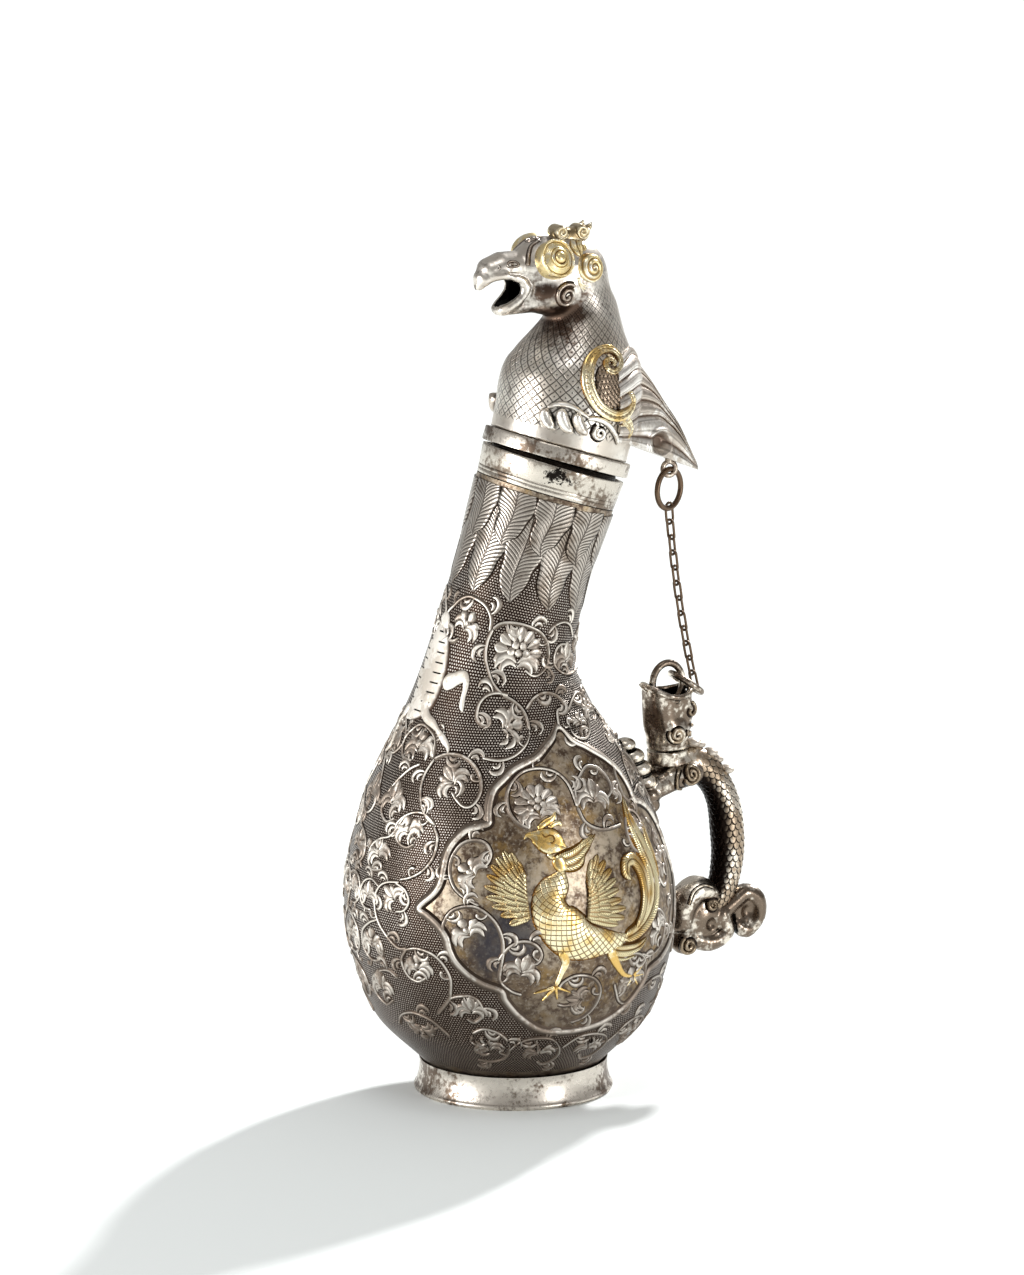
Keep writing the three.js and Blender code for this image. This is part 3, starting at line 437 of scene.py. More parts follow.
def striped_silver():
    """Bright rubbed silver with short dark strokes cut level across the broad body, as a tiger is drawn."""
    made = aged_metal("striped_silver", "#f3eee6", "#4a3c33", "#d9d1c6", 0.3, 0.62, depth=0.03)
    tree, shader, colour = reopened(made)
    reach = math_of(tree, "ABSOLUTE", value_of(tree, "across"))
    place = add(tree, "TexCoord").outputs["Object"]
    rise = add(tree, "SeparateXYZ", None, {0: place}).outputs[2]
    wave = math_of(tree, "FRACT", math_of(tree, "DIVIDE", rise, 0.0032))
    stroke = ramp(tree, math_of(tree, "ABSOLUTE", math_of(tree, "SUBTRACT", wave, 0.5)), 0.06, 0.1, 1.0, 0.0)
    inner = ramp(tree, reach, 0.3, 0.42)
    outer = ramp(tree, reach, 0.74, 0.84, 1.0, 0.0)
    broad = ramp(tree, value_of(tree, "breadth"), 3.4, 4.0)
    cut = math_of(tree, "MULTIPLY", math_of(tree, "MULTIPLY", stroke, broad), math_of(tree, "MULTIPLY", inner, outer))
    tree.links.new(mixed(tree, cut, colour, linear("#15100c")), shader.inputs["Base Color"])
    return made


def barbed(name, bright, dull, stain, pitch, roughness=0.3, slant=1.0, line=0.32):
    """Chased metal with slanting barbs cut each side of a middle vein, pitch mm apart."""
    made, tree, shader = new_material(name)
    across = value_of(tree, "across")
    along = value_of(tree, "along")
    reach = math_of(tree, "MULTIPLY", math_of(tree, "ABSOLUTE", across), value_of(tree, "breadth"))
    # The barbs leave the vein steeply and bend outward: their slant grows as the root of the reach.
    bent = math_of(tree, "SQRT", math_of(tree, "MAXIMUM", reach, 0.0))
    slanted = math_of(tree, "SUBTRACT", along, math_of(tree, "MULTIPLY", bent, slant * 1.8))
    wave = math_of(tree, "FRACT", math_of(tree, "DIVIDE", slanted, pitch))
    groove = ramp(tree, math_of(tree, "ABSOLUTE", math_of(tree, "SUBTRACT", wave, 0.5)), 0.5 - line, 0.5, 0.0, 1.0)
    vein = ramp(tree, reach, 0.16, 0.34, 1.0, 0.0)
    cut = math_of(tree, "MAXIMUM", groove, vein)
    cloud = noise(tree, 9, 4.0)
    base = mixed(tree, ramp(tree, cloud, 0.45, 0.68), linear(bright), linear(stain))
    low = ramp(tree, value_of(tree, "rise"), 0.25, 0.85)
    colour = mixed(tree, low, linear(dull), base)
    colour = mixed(tree, math_of(tree, "MULTIPLY", cut, 0.85), colour, linear(dull))
    tree.links.new(colour, shader.inputs["Base Color"])
    shader.inputs["Roughness"].default_value = roughness
    bumped(tree, shader, math_of(tree, "SUBTRACT", 1.0, cut), 0.14)
    return made


# Chased ornament on the vessel

# Sections as shares of the half width and of the height. Each has a low skirt outside its sides: it
# shows as the dark line that the chasing tool leaves round raised work.
stem_section = ((-2.15, -2.05, -1.2, -1, -0.8, -0.45, 0, 0.45, 0.8, 1, 1.2, 2.05, 2.15),
                (-0.3, 0.08, 0.1, 0.3, 0.72, 0.96, 1, 0.96, 0.72, 0.3, 0.1, 0.08, -0.3))
leaf_section = ((-1.42, -1.38, -1.08, -1, -0.88, -0.55, -0.16, 0, 0.16, 0.55, 0.88, 1, 1.08, 1.38, 1.42),
                (-0.3, 0.08, 0.1, 0.3, 0.85, 1, 0.8, 0.4, 0.8, 1, 0.85, 0.3, 0.1, 0.08, -0.3))
petal_section = ((-1.4, -1.36, -1.1, -1, -0.8, -0.4, 0, 0.4, 0.8, 1, 1.1, 1.36, 1.4),
                 (-0.3, 0.08, 0.1, 0.35, 0.8, 0.97, 1, 0.97, 0.8, 0.35, 0.1, 0.08, -0.3))
dome_section = ((-1.1, -1, -0.85, -0.65, -0.4, -0.2, 0, 0.2, 0.4, 0.65, 0.85, 1, 1.1),
                (-0.2, 0.1, 0.55, 0.8, 0.93, 0.99, 1, 0.99, 0.93, 0.8, 0.55, 0.1, -0.2))
plate_section = ((-1.09, -1.08, -1.01, -0.97, -0.94, -0.8, -0.5, -0.12, 0, 0.12, 0.5, 0.8, 0.94, 0.97, 1.01, 1.08, 1.09),
                 (-0.4, 0.08, 0.1, 0.4, 0.9, 1, 1, 0.95, 0.8, 0.95, 1, 1, 0.9, 0.4, 0.1, 0.08, -0.4))


def rounded(half, path_mm):
    """Half widths that round off within their own width at both ends of a path."""
    run = distance_along(path_mm)
    left = np.minimum(run, run[-1] - run)
    return half * np.sqrt(np.clip(1 - (1 - np.clip(left / half.max(), 0, 1)) ** 2, 0.0009, 1))


def strip(shape, path, half, high, section=stem_section, lift=0.0, mirror=True, kind=None):
    """A raised strip along a path of (degrees, height) on the vessel, and its mirror image.
    At each station the section, given as shares of the half width and of the height, is laid over
    the surface itself, so a broad strip follows the vessel's curve; its underside is closed below."""
    shares, rises = np.array(section[0]), np.array(section[1])
    for sign in (1, -1) if mirror else (1,):
        turn, height = np.radians(path[:, 0]) * sign, path[:, 1]
        radius, stretch = radius_at(height), stretch_at(height)
        flat = np.stack([turn * radius.mean(), height * stretch], 1)
        way = np.gradient(flat, axis=0)
        way[:, 0] = np.gradient(turn) * radius
        way = unit(way)
        side = np.stack([-way[:, 1], way[:, 0]], 1)
        across = shares[None, :] * half[:, None]
        turns = turn[:, None] + side[:, :1] * across / radius[:, None]
        heights = np.clip(height[:, None] + side[:, 1:] * across / stretch[:, None], seat_height - 2, end_height)
        tall = high * np.clip(half / half.max() * 1.5, 0, 1) ** 0.6
        raised = rises[None, :] * tall[:, None] + lift * np.where(rises > 0, 1, 0)[None, :]
        points, _ = on_vessel(turns, heights, raised)
        run = distance_along(flat)
        values = [np.clip(rises, 0, 1)[None, :], run[:, None], np.clip(shares, -1, 1)[None, :], half[:, None]]
        if kind is not None:
            values.append(kind)
        shape.grid(points[:, ::-1], *[v[:, ::-1] if np.ndim(v) == 2 and v.shape[1] > 1 else v for v in values],
                   caps=(True, True))


def flat_path(path):
    """A (degrees, height) path in millimetres along the surface, near its middle."""
    radius = float(radius_at(path[:, 1].mean()))
    return np.stack([np.radians(path[:, 0]) * radius, path[:, 1] * float(stretch_at(path[:, 1].mean()))], 1)


def placed(local, at, turn=0.0, size=1.0, flip=1):
    """Local (x, y) millimetres turned, scaled and laid on the vessel at (degrees, height)."""
    c, s = math.cos(math.radians(turn)), math.sin(math.radians(turn))
    x, y = local[:, 0] * flip * size, local[:, 1] * size
    radius, stretch = float(radius_at(at[1])), float(stretch_at(at[1]))
    return np.stack([at[0] + np.degrees((x * c - y * s) / radius), at[1] + (x * s + y * c) / stretch], 1)


def petal(shape, local, half, high, at, turn, size, flip=1, mirror=True, tip=0.75, section=petal_section):
    """A leaf-shaped stroke: its half width swells and closes as a sine of the way along."""
    path = placed(flow(local, 0.14), at, turn, size, flip)
    t = distance_along(flat_path(path))
    t = t / t[-1]
    width = half * size * np.sin(np.pi * t ** tip) ** 0.7
    strip(shape, path, np.maximum(width, 0.03), high, section, mirror=mirror)


def hook(shape, at, turn, size, side=1, mirror=True, high=0.5):
    """A side leaf of two crescents, one within the other, on the left of the way or the right."""
    flip, lean = (1, turn) if side > 0 else (-1, turn + 180)
    petal(shape, trace("0,0 .14,.42 .5,.7 .9,.6 1.06,.24"), 0.155, high, at, lean, size, flip, mirror, 1.15)
    petal(shape, trace(".2,.06 .38,.28 .62,.3 .74,.08"), 0.12, high, at, lean, size, flip, mirror, 1.0)


def tendril(shape, at, turn, size, side=1, mirror=True):
    """A thin shoot that curls over to a round knob."""
    local = trace("0,0 .02,.34 -.12,.62 -.4,.68 -.56,.5") * np.array([1, side])
    path = placed(flow(local, 0.06), at, turn, size)
    t = distance_along(flat_path(path))
    half = size * (0.07 + 0.09 * (t / t[-1]) ** 3)
    strip(shape, path, rounded(half, flat_path(path)), 0.34, mirror=mirror)


def crescents(shape, at, turn, size, mirror, reach):
    """Curved leaves nested at both sides of a blossom's foot, the largest above."""
    for flip in (1, -1):
        for text, wide in (("0,-.02 .46,.3 .9,.12 1.06,-.36", 0.19), ("0,-.2 .34,.02 .68,-.14 .74,-.58", 0.17),
                           ("0,-.4 .2,-.26 .4,-.4 .42,-.76", 0.13))[:reach]:
            petal(shape, trace(text), wide, 0.5, at, turn, size, flip, mirror, 1.1)


def sprig(shape, at, turn, size, mirror=True):
    """A clover of three round lobes over a button, with curved leaves at its foot."""
    for lean in (-58, 58, 0):
        petal(shape, trace("0,.3 0,.62 0,1.04"), 0.29, 0.5, at, turn + lean, size, mirror=mirror, tip=1.2)
    petal(shape, trace("0,.04 0,.24 0,.46"), 0.2, 0.75, at, turn, size, mirror=mirror, tip=1.0)
    crescents(shape, at, turn, size, mirror, 2)


def peony(shape, at, turn, size, mirror=True):
    """A full blossom: a scalloped edge of nine petals, berries within it and curved leaves below."""
    for lean in np.linspace(-112, 112, 9):
        petal(shape, trace("0,.4 0,.8 0,1.12"), 0.23, 0.5, at, turn + lean, size, mirror=mirror, tip=1.5,
              section=leaf_section)
    for lean in np.linspace(-90, 90, 4):
        petal(shape, trace("0,.14 0,.34 0,.54"), 0.19, 0.8, at, turn + lean, size, mirror=mirror, tip=1.0)
    petal(shape, trace("0,-.2 0,-.02 0,.16"), 0.18, 0.9, at, turn, size, mirror=mirror, tip=1.0)
    low = placed(np.array([[0, -0.42]]), at, turn, size)[0]
    crescents(shape, low, turn, size * 0.9, mirror, 2)


def palmette(shape, at, turn, size, mirror=True):
    """A blossom seen from the side: a veined pointed leaf between two round lobes and nested curved leaves."""
    petal(shape, trace("0,.08 .05,.6 0,1.2"), 0.3, 0.6, at, turn, size, mirror=mirror, tip=1.0, section=leaf_section)
    for flip in (1, -1):
        petal(shape, trace(".12,.1 .34,.4 .5,.86"), 0.2, 0.5, at, turn, size, flip, mirror, 1.2)
    crescents(shape, at, turn, size, mirror, 2)


# Paths read round the vessel in degrees from the handle and millimetres of height, on the -Y flank

medallion = trace(
    "-78.5,129.5 -84,126.5 -90,124 -96,121.5 -102,120.2 -109,118.5 -114,116 -119,113 -121,109 -121.5,105"
    " -121.7,103 -126,102 -131,100.8 -136,97 -138.5,93 -139.5,88 -140.5,83 -143,79 -148.5,73.5 -145,71"
    " -141,68 -138,64 -137,60 -135,56 -131,52 -126,49 -119.5,46.5 -118,43 -114,38 -109,34 -104,31.5"
    " -98,30.6 -90,30.4 -84,31 -78,32 -71,34.5 -65,38 -60,43 -57,47.5 -50,49 -43,52 -38,56 -35,60"
    " -32,65 -27,70 -23,73 -27,78 -30,83 -33,90 -38,96 -44,99.5 -48,101 -48.5,106 -50,111 -55,116"
    " -62,120 -66,122 -72,124.5")
inner_stems = """
-83,105 -84,112 -88,116 -95,118 -103,118 -109,116 -113,112 -113,107 -110,103 -105,100.5
-83,105 -81,111 -76,114 -70,116 -64,114.5 -61,111 -62,107 -67,105
-83,105 -81,100 -76,97 -70,96 -63,96
-126,76 -131,78.5 -135,82 -137,87 -136.5,92 -133,96.5 -128,98 -123,97 -121,93.5 -123,90 -127,90
-139,66 -139,69 -136,73.5 -131,75.5 -126,75 -121,71 -118.5,66 -118,61 -119,55 -119.5,50 -116,46.5 -112,45
-120,57 -117,61 -113,63.5 -109,63.5 -106,61.5 -105,58.5 -107,56 -110,57.5
-99,46 -97,49 -92,50.8 -86,49.5 -82.5,46 -82,42 -84,38 -88,35 -93,33.8
-99,41 -96,40.3 -92,41 -91,44 -94,45.5
-75,53 -70,55 -64,54 -60,50 -60,45 -63,40 -68,37.5 -72,39 -74.5,43 -76,46
-57,68 -50,66 -47,61 -50,55 -57,52.5 -63,54
-49,92 -50,96 -53,98.5 -57,98.5 -60,96 -61,92 -60,88 -57,86 -53,86
-44,94 -40,90 -37,84 -37,78 -40,74 -44,73 -47,76 -46,80
-33,71 -37,68 -41,62 -43,57
-52,113 -55,109 -55,104 -52,101"""
inner_blooms = ((-101, 107, 10, 5.6), (-74, 106, -12, 4.8), (-130, 66, 30, 4.6), (-112, 53, -20, 4.6),
                (-128, 87, 60, 4.6), (-90, 42, 80, 3.6), (-67, 45, 15, 4.6), (-54, 92, 0, 3.4), (-53, 60, 40, 4.2),
                (-42, 80, 60, 3.6))
outer_stems = """
-153,121 -155,126 -162,128.5 -170,129 -178,126 -180,123 -175,119.8 -167,119.3
-152,121 -146,122.5 -138,122.7 -131,121 -126,117.5 -125,113 -128,109 -132,108 -136,110 -139,112.5
-152,121 -155,117 -155.5,113 -153,108 -149,104 -145,102
-144.5,102 -150,105 -156,105 -162,102.5 -164.5,99.5 -162,95.5 -157,94 -153,95.5
-145,101.5 -143,98 -144,92 -148,87 -153,84 -158,82.5
-158,81.5 -164,80.5 -168,78 -170,73 -168,66 -163,61 -158,58 -154,58.5
-160,81 -155,79 -153,75 -155,71.5 -159,70.5
-154,58.5 -157,54 -155,49 -151,47.3 -147,49
-156,57.5 -150,59 -144,58 -140,55 -137.5,50 -138,45 -139,42 -145,36
-139,42.5 -135,43.7 -130,44 -127,41 -127,37 -130,34.5 -133,35.5
-168,29 -164,33 -157,35 -149,33.5 -144,30 -142,28
-132,30 -127,32 -122,31 -118,28 -117,24 -120,20 -126,18.5 -133,19
-132,29 -133,27 -130,25.5 -126,26.5
-117,24 -113,27 -107,28.5 -100,28 -96,25 -94.5,21 -97,18 -101,17 -104,18.5
-94,24 -88,27.5 -80,28 -73,26 -70,22 -73,18 -79,17.5 -83,20
-70,23 -64,28 -56,30 -48,28.5 -44,25 -46,20.5 -52,19 -57,21
-44,26 -38,31 -30,33 -22,32 -16,28 -17,23 -23,21 -29,23
-60,41 -52,43 -44,42 -38,38 -39,33.5 -45,32.5
-37,55 -30,52 -24,46 -18,44 -12,47 -11,52 -15,55.5 -20,54
-30,66 -24,63 -18,63 -12,66 -11,71 -15,74
-26,80 -20,84 -13,86 -10,90 -13,95 -19,95 -22,91
-45,103 -38,104 -30,102 -25,97 -26,92
-44,105 -41,111 -35,114 -28,113 -24,108 -28,105 -33,106
-131,157 -133,161 -140,164 -150,165.2 -158,165.3 -166,163.8 -172,161.5 -178,159 -178,155.5 -172,152.5 -163,151.7 -157,152.8
-129,158 -124,160 -116,161 -106,161.3 -96,160.8 -88,159.7 -81,157 -78,153 -80,149 -86,146.5 -92,146 -98,147.5
-129,158 -131,154 -130,150 -126,146.5 -121,143 -114,140
-110,140 -118,140.5 -125,139.5 -129.5,137 -130,133.5 -127,131.5 -122,130.8
-114,140 -107,138.5 -101,136 -98,132 -99,127 -106,123 -115,121.3 -125,122
-42,146.5 -50,146 -60,146.6 -68,148.5 -72,151 -71,154.5 -66,156.8 -58,157 -50,156.5
-50,130 -54,126 -60,124 -66,124.5 -70,127 -70,131 -65,130
-78,129 -76,134 -72,135
-98,136 -92,139 -84,140.5 -76,140 -70,138 -66,134
-66,134 -58,137 -50,138.5 -42,137 -36,133 -37,129 -43,127.5
-36,133 -28,131 -21,127 -19,121 -24,117 -31,118 -34,122
-42,146.5 -32,148 -22,152 -16,158 -20,163 -30,164 -38,161
-48,160 -56,163.5 -66,164.5 -76,163 -82,160
-20,140 -12,143 -6,147 0,147
-160,119 -166,117 -172,113 -176,108 -176,103 -171,100.5 -166,102
-160,104 -166,97 -172,95 -177,92 -178,87 -174,83.5 -168,84.5
-168,78 -173,80 -178,78 -180,73 -177,69 -172,68.5
-168,66 -173,64 -178,60 -178,54 -173,51 -167,53 -166,57
-160,47 -165,49 -172,47 -177,43 -177,38 -172,35.5 -166,38"""
outer_blooms = ((-165, 123, 0, 5.0), (-139, 115, 40, 4.6), (-157, 99, 20, 4.4), (-160, 75, 50, 4.2),
                (-150, 52, 0, 4.2), (-131, 38.5, 0, 4.0), (-155, 30, 180, 4.0), (-126, 24.5, 20, 4.0),
                (-104, 22.5, 15, 4.0), (-80, 22.5, 0, 4.0), (-54, 25, 0, 4.4), (-26, 27.5, 0, 4.4),
                (-18, 50, 0, 4.4), (-17, 69, 60, 3.8), (-17, 90, 0, 4.4), (-34, 108, 0, 4.2),
                (-153, 156.5, -25, 4.0), (-105, 152.5, 0, 6.0), (-112, 130.5, -75, 4.8), (-57, 151.5, 0, 4.6),
                (-60, 129, 0, 3.2), (-170, 107, 0, 4.8), (-171.5, 89.5, 20, 4.6), (-174, 73.5, 0, 3.8),
                (-172, 57, 0, 4.4), (-171, 42, 0, 4.4), (-42, 131.5, 10, 3.8), (-27, 122, 0, 3.8), (-28, 157, 0, 5.0))


# The beast's neck, back, legs and tail as degrees, height and half width.
beast_strokes = """
-186,156,2 -184,153.5,4.2 -182,150.5,6.4 -180,146.5,8.2 -179.5,142,9 -180,137.5,8.4 -184,133,6.2 -190,129.5,3.5
-186,156.5,.9 -180,157,2.2 -175,156,2 -171,154.4,.8
-160.5,141.5,2.2 -157,141.6,2.6 -152,142.2,2.4 -147,143.3,2.1 -142,143.5,1.6 -141,141,1 -141.5,138.5,.9 -141.3,136,1 -140,134.4,.6
-173,138,3.2 -171,134,2.4 -166,131.4,1.8 -158,129.8,1.5 -153.5,128,1.2 -149,126.3,1.5 -145.5,124.6,.9 -144.5,122.5,.5
-190,133,1.6 -196,127,1.2 -194,121,1 -199,118,.4"""


def scroll(shape, path, half, high, leaves, mirror=True):
    """A chased stem along a path, with small hooked leaves off its outer and inner side in turn."""
    fine = flow(path, 0.6)
    flat = flat_path(fine)
    strip(shape, fine, rounded(np.full(len(fine), half), flat), high, mirror=mirror)
    run = distance_along(flat)
    way = unit(np.gradient(flat, axis=0))
    side = -1
    for k, at in enumerate(np.arange(leaves * 0.6, run[-1] - 2.0, leaves)):
        i = int(np.searchsorted(run, at))
        angle = math.degrees(math.atan2(way[i, 1], way[i, 0]))
        if k % 3 == 2:
            tendril(shape, fine[i], angle, 4.4, side, mirror)
        else:
            hook(shape, fine[i], angle + 12 * side, 5.0, side, mirror)
        side = -side


def inside(polygon, points):
    """True for points within a polygon: an odd number of its edges lie to their right."""
    x, y = points[..., 0], points[..., 1]
    odd = np.zeros(x.shape, bool)
    for (x0, y0), (x1, y1) in zip(polygon, np.roll(polygon, -1, axis=0)):
        crosses = (y0 > y) != (y1 > y)
        odd ^= crosses & (x < (x1 - x0) * (y - y0) / (y1 - y0 + 1e-12) + x0)
    return odd


class FlaskVessel(bpy.types.PropertyGroup):
    """Sizes of the vessel's chased work."""

    ring_pitch: FloatProperty(name="Ring pitch", description="Distance between rows of punched rings, in mm",
                              default=0.97, min=0.6, max=2.0)
    stem: FloatProperty(name="Stem half width", description="Half the width of a chased stem, in mm",
                        default=0.42, min=0.2, max=1.0)
    relief: FloatProperty(name="Relief", description="Height of the chased work above the ground, in mm",
                          default=0.45, min=0.1, max=1.0)
    leaf_space: FloatProperty(name="Leaf spacing", description="Distance between hooked leaves, in mm",
                              default=8.4, min=4.0, max=20.0)


class FLASK_OT_vessel(bpy.types.Operator):
    """Build the vessel's outer skin with its punched ground, and the plain wall inside it"""

    bl_idname = "flask.vessel"
    bl_label = "Vessel"

    def execute(self, context):
        sizes = context.scene.flask_vessel
        # The outer skin: rows one ring pitch apart up the profile, and a bowl of quarter-circle
        # section under them. Each row of faces has a whole number of rings round it.
        fine = np.linspace(seat_height, end_height, 2000)
        up = np.concatenate([[0], np.cumsum(np.diff(fine) * stretch_at((fine[1:] + fine[:-1]) / 2))])
        count = int(round(up[-1] / sizes.ring_pitch / 0.866))
        levels = np.interp(np.linspace(0, up[-1], count + 1), up, fine)
        columns = 380
        turn = np.linspace(-np.pi, np.pi, columns, endpoint=False)
        bowl = np.linspace(0.02, 1, 10, endpoint=False) * np.pi / 2
        bowl_heights = bottom_rise + (seat_height - bottom_rise) * (1 - np.cos(bowl))
        rows = [on_round(turn, np.full(columns, h), seat_radius * math.sin(b)) for h, b in zip(bowl_heights, bowl)]
        rows += [on_round(turn, np.full(columns, h), radius_at(h)) for h in levels]
        points = np.array(rows)
        border = flow(medallion, 0.8, closed=True)
        heights = np.concatenate([bowl_heights, levels])
        flank = -np.abs(np.degrees(turn))
        place = np.stack(np.broadcast_arrays(flank[None, :], heights[:, None]), -1)
        panel = inside(border, place).astype(float)
        plain = np.broadcast_to(ease(heights, 184, 190)[:, None], panel.shape)
        plain = np.maximum(plain, np.where(heights < 13.5, 1.0, 0.0)[:, None])
        skin = Shape("panel", "plain")
        skin.grid(points, panel, plain, caps=(True, False))
        lifted = len(bowl)
        # Twelve rows at a time share their number of rings, so that their rings stand in stagger.
        band = (np.arange(len(heights) - 1) // 12) * 12
        middle_of = radius_at(heights[np.minimum(band + 6, len(heights) - 1)])
        per_row = np.maximum(np.round(2 * np.pi * middle_of / sizes.ring_pitch), 1)
        k = np.arange(columns)
        uv = np.zeros((len(heights) - 1, columns, 4, 2))
        shift = 0.5 * (np.arange(len(heights) - 1) % 2)
        left = k[None, :] / columns * per_row[:, None] + shift[:, None]
        right = (k[None, :] + 1) / columns * per_row[:, None] + shift[:, None]
        row = np.arange(len(heights) - 1)[:, None] - lifted
        uv[..., 0, 0], uv[..., 3, 0], uv[..., 1, 0], uv[..., 2, 0] = left, left, right, right
        uv[..., 0, 1], uv[..., 1, 1], uv[..., 2, 1], uv[..., 3, 1] = row, row, row + 1, row + 1
        uv = np.vstack([uv.reshape(-1, 2), np.zeros((columns * 3, 2))])
        mesh_piece("vessel_skin", skin, ring_punched_silver(), "flask", ("vessel_body",), uv)
        # The wall inside: the same rounds drawn in by the sheet's thickness, from the lip down.
        wall = 1.4
        depth = np.linspace(end_height, seat_height + wall, 90)
        inner = [on_round(turn[::4], np.full(columns // 4, end_height), np.full(columns // 4, 23.4))]
        inner += [on_round(turn[::4], np.full(columns // 4, h), radius_at(h) - wall) for h in depth]
        for b in bowl[::-1]:
            h = bottom_rise + wall + (seat_height - bottom_rise) * (1 - math.cos(b))
            inner.append(on_round(turn[::4], np.full(columns // 4, h), (seat_radius - wall) * math.sin(b)))
        inner_skin = Shape("rise").grid(np.array(inner), 0.2, caps=(False, True))
        mesh_piece("vessel_inside", inner_skin, aged_metal("tarnished_silver_inside", "#8d8073", "#5d5046",
                                                           "#4f433a", 0.4, 0.45), "flask")
        return {"FINISHED"}


class FLASK_OT_scrolls(bpy.types.Operator):
    """Build the chased scrolls, blossoms and medallion borders"""

    bl_idname = "flask.scrolls"
    bl_label = "Scrolls and medallions"

    def execute(self, context):
        sizes = context.scene.flask_vessel
        silver = chased_silver("chased_silver")
        names = ("rise", "along", "across", "breadth")
        for name, stems, blooms in (("scrolls_outside", outer_stems, outer_blooms),
                                    ("scrolls_inside", inner_stems, inner_blooms)):
            shape = Shape(*names)
            for line in stems.strip().splitlines():
                scroll(shape, trace(line), sizes.stem, sizes.relief, sizes.leaf_space)
            for k, (turn, height, lean, size) in enumerate(blooms):
                bloom = peony if size > 5.4 else (sprig, palmette)[k % 2]
                bloom(shape, (turn, height), lean, size * 1.25)
            mesh_piece(name, shape, silver, "flask")
        # The beast on the front between the medallions isn't mirrored.
        shape = Shape(*names)
        for text in beast_strokes.strip().splitlines():
            table = flow(trace(text), 0.7)
            half = rounded(np.maximum(table[:, 2], 0.15), flat_path(table))
            strip(shape, table[:, :2], half, 0.9, dome_section, mirror=False)
        mesh_piece("beast", shape, striped_silver(), "flask")
        shape = Shape(*names)
        path = flow(medallion, 0.6, closed=True)
        path = np.vstack([path, path[:3]])
        strip(shape, path, np.full(len(path), 0.95), 0.85)
        mesh_piece("medallion_borders", shape, silver, "flask")
        return {"FINISHED"}


def feather(shape, root, tip, half, high, bow=0.0, mirror=True, lift=0.0):
    """One feather from root to tip in (degrees, height), bowed sideways by a share of its length."""
    root, tip = np.asarray(root, float), np.asarray(tip, float)
    middle = (root + tip) / 2 + bow * np.array([-(tip - root)[1], (tip - root)[0]])
    path = flow([root, middle, tip], 0.7)
    t = distance_along(flat_path(path))
    t = t / t[-1]
    width = half * np.clip(t * 3 + 0.4, 0, 1) * np.sqrt(np.clip(1 - ((t - 0.6) / 0.4).clip(0) ** 2.2, 0.002, 1))
    strip(shape, path, width, high, dome_section, lift=lift, mirror=mirror)


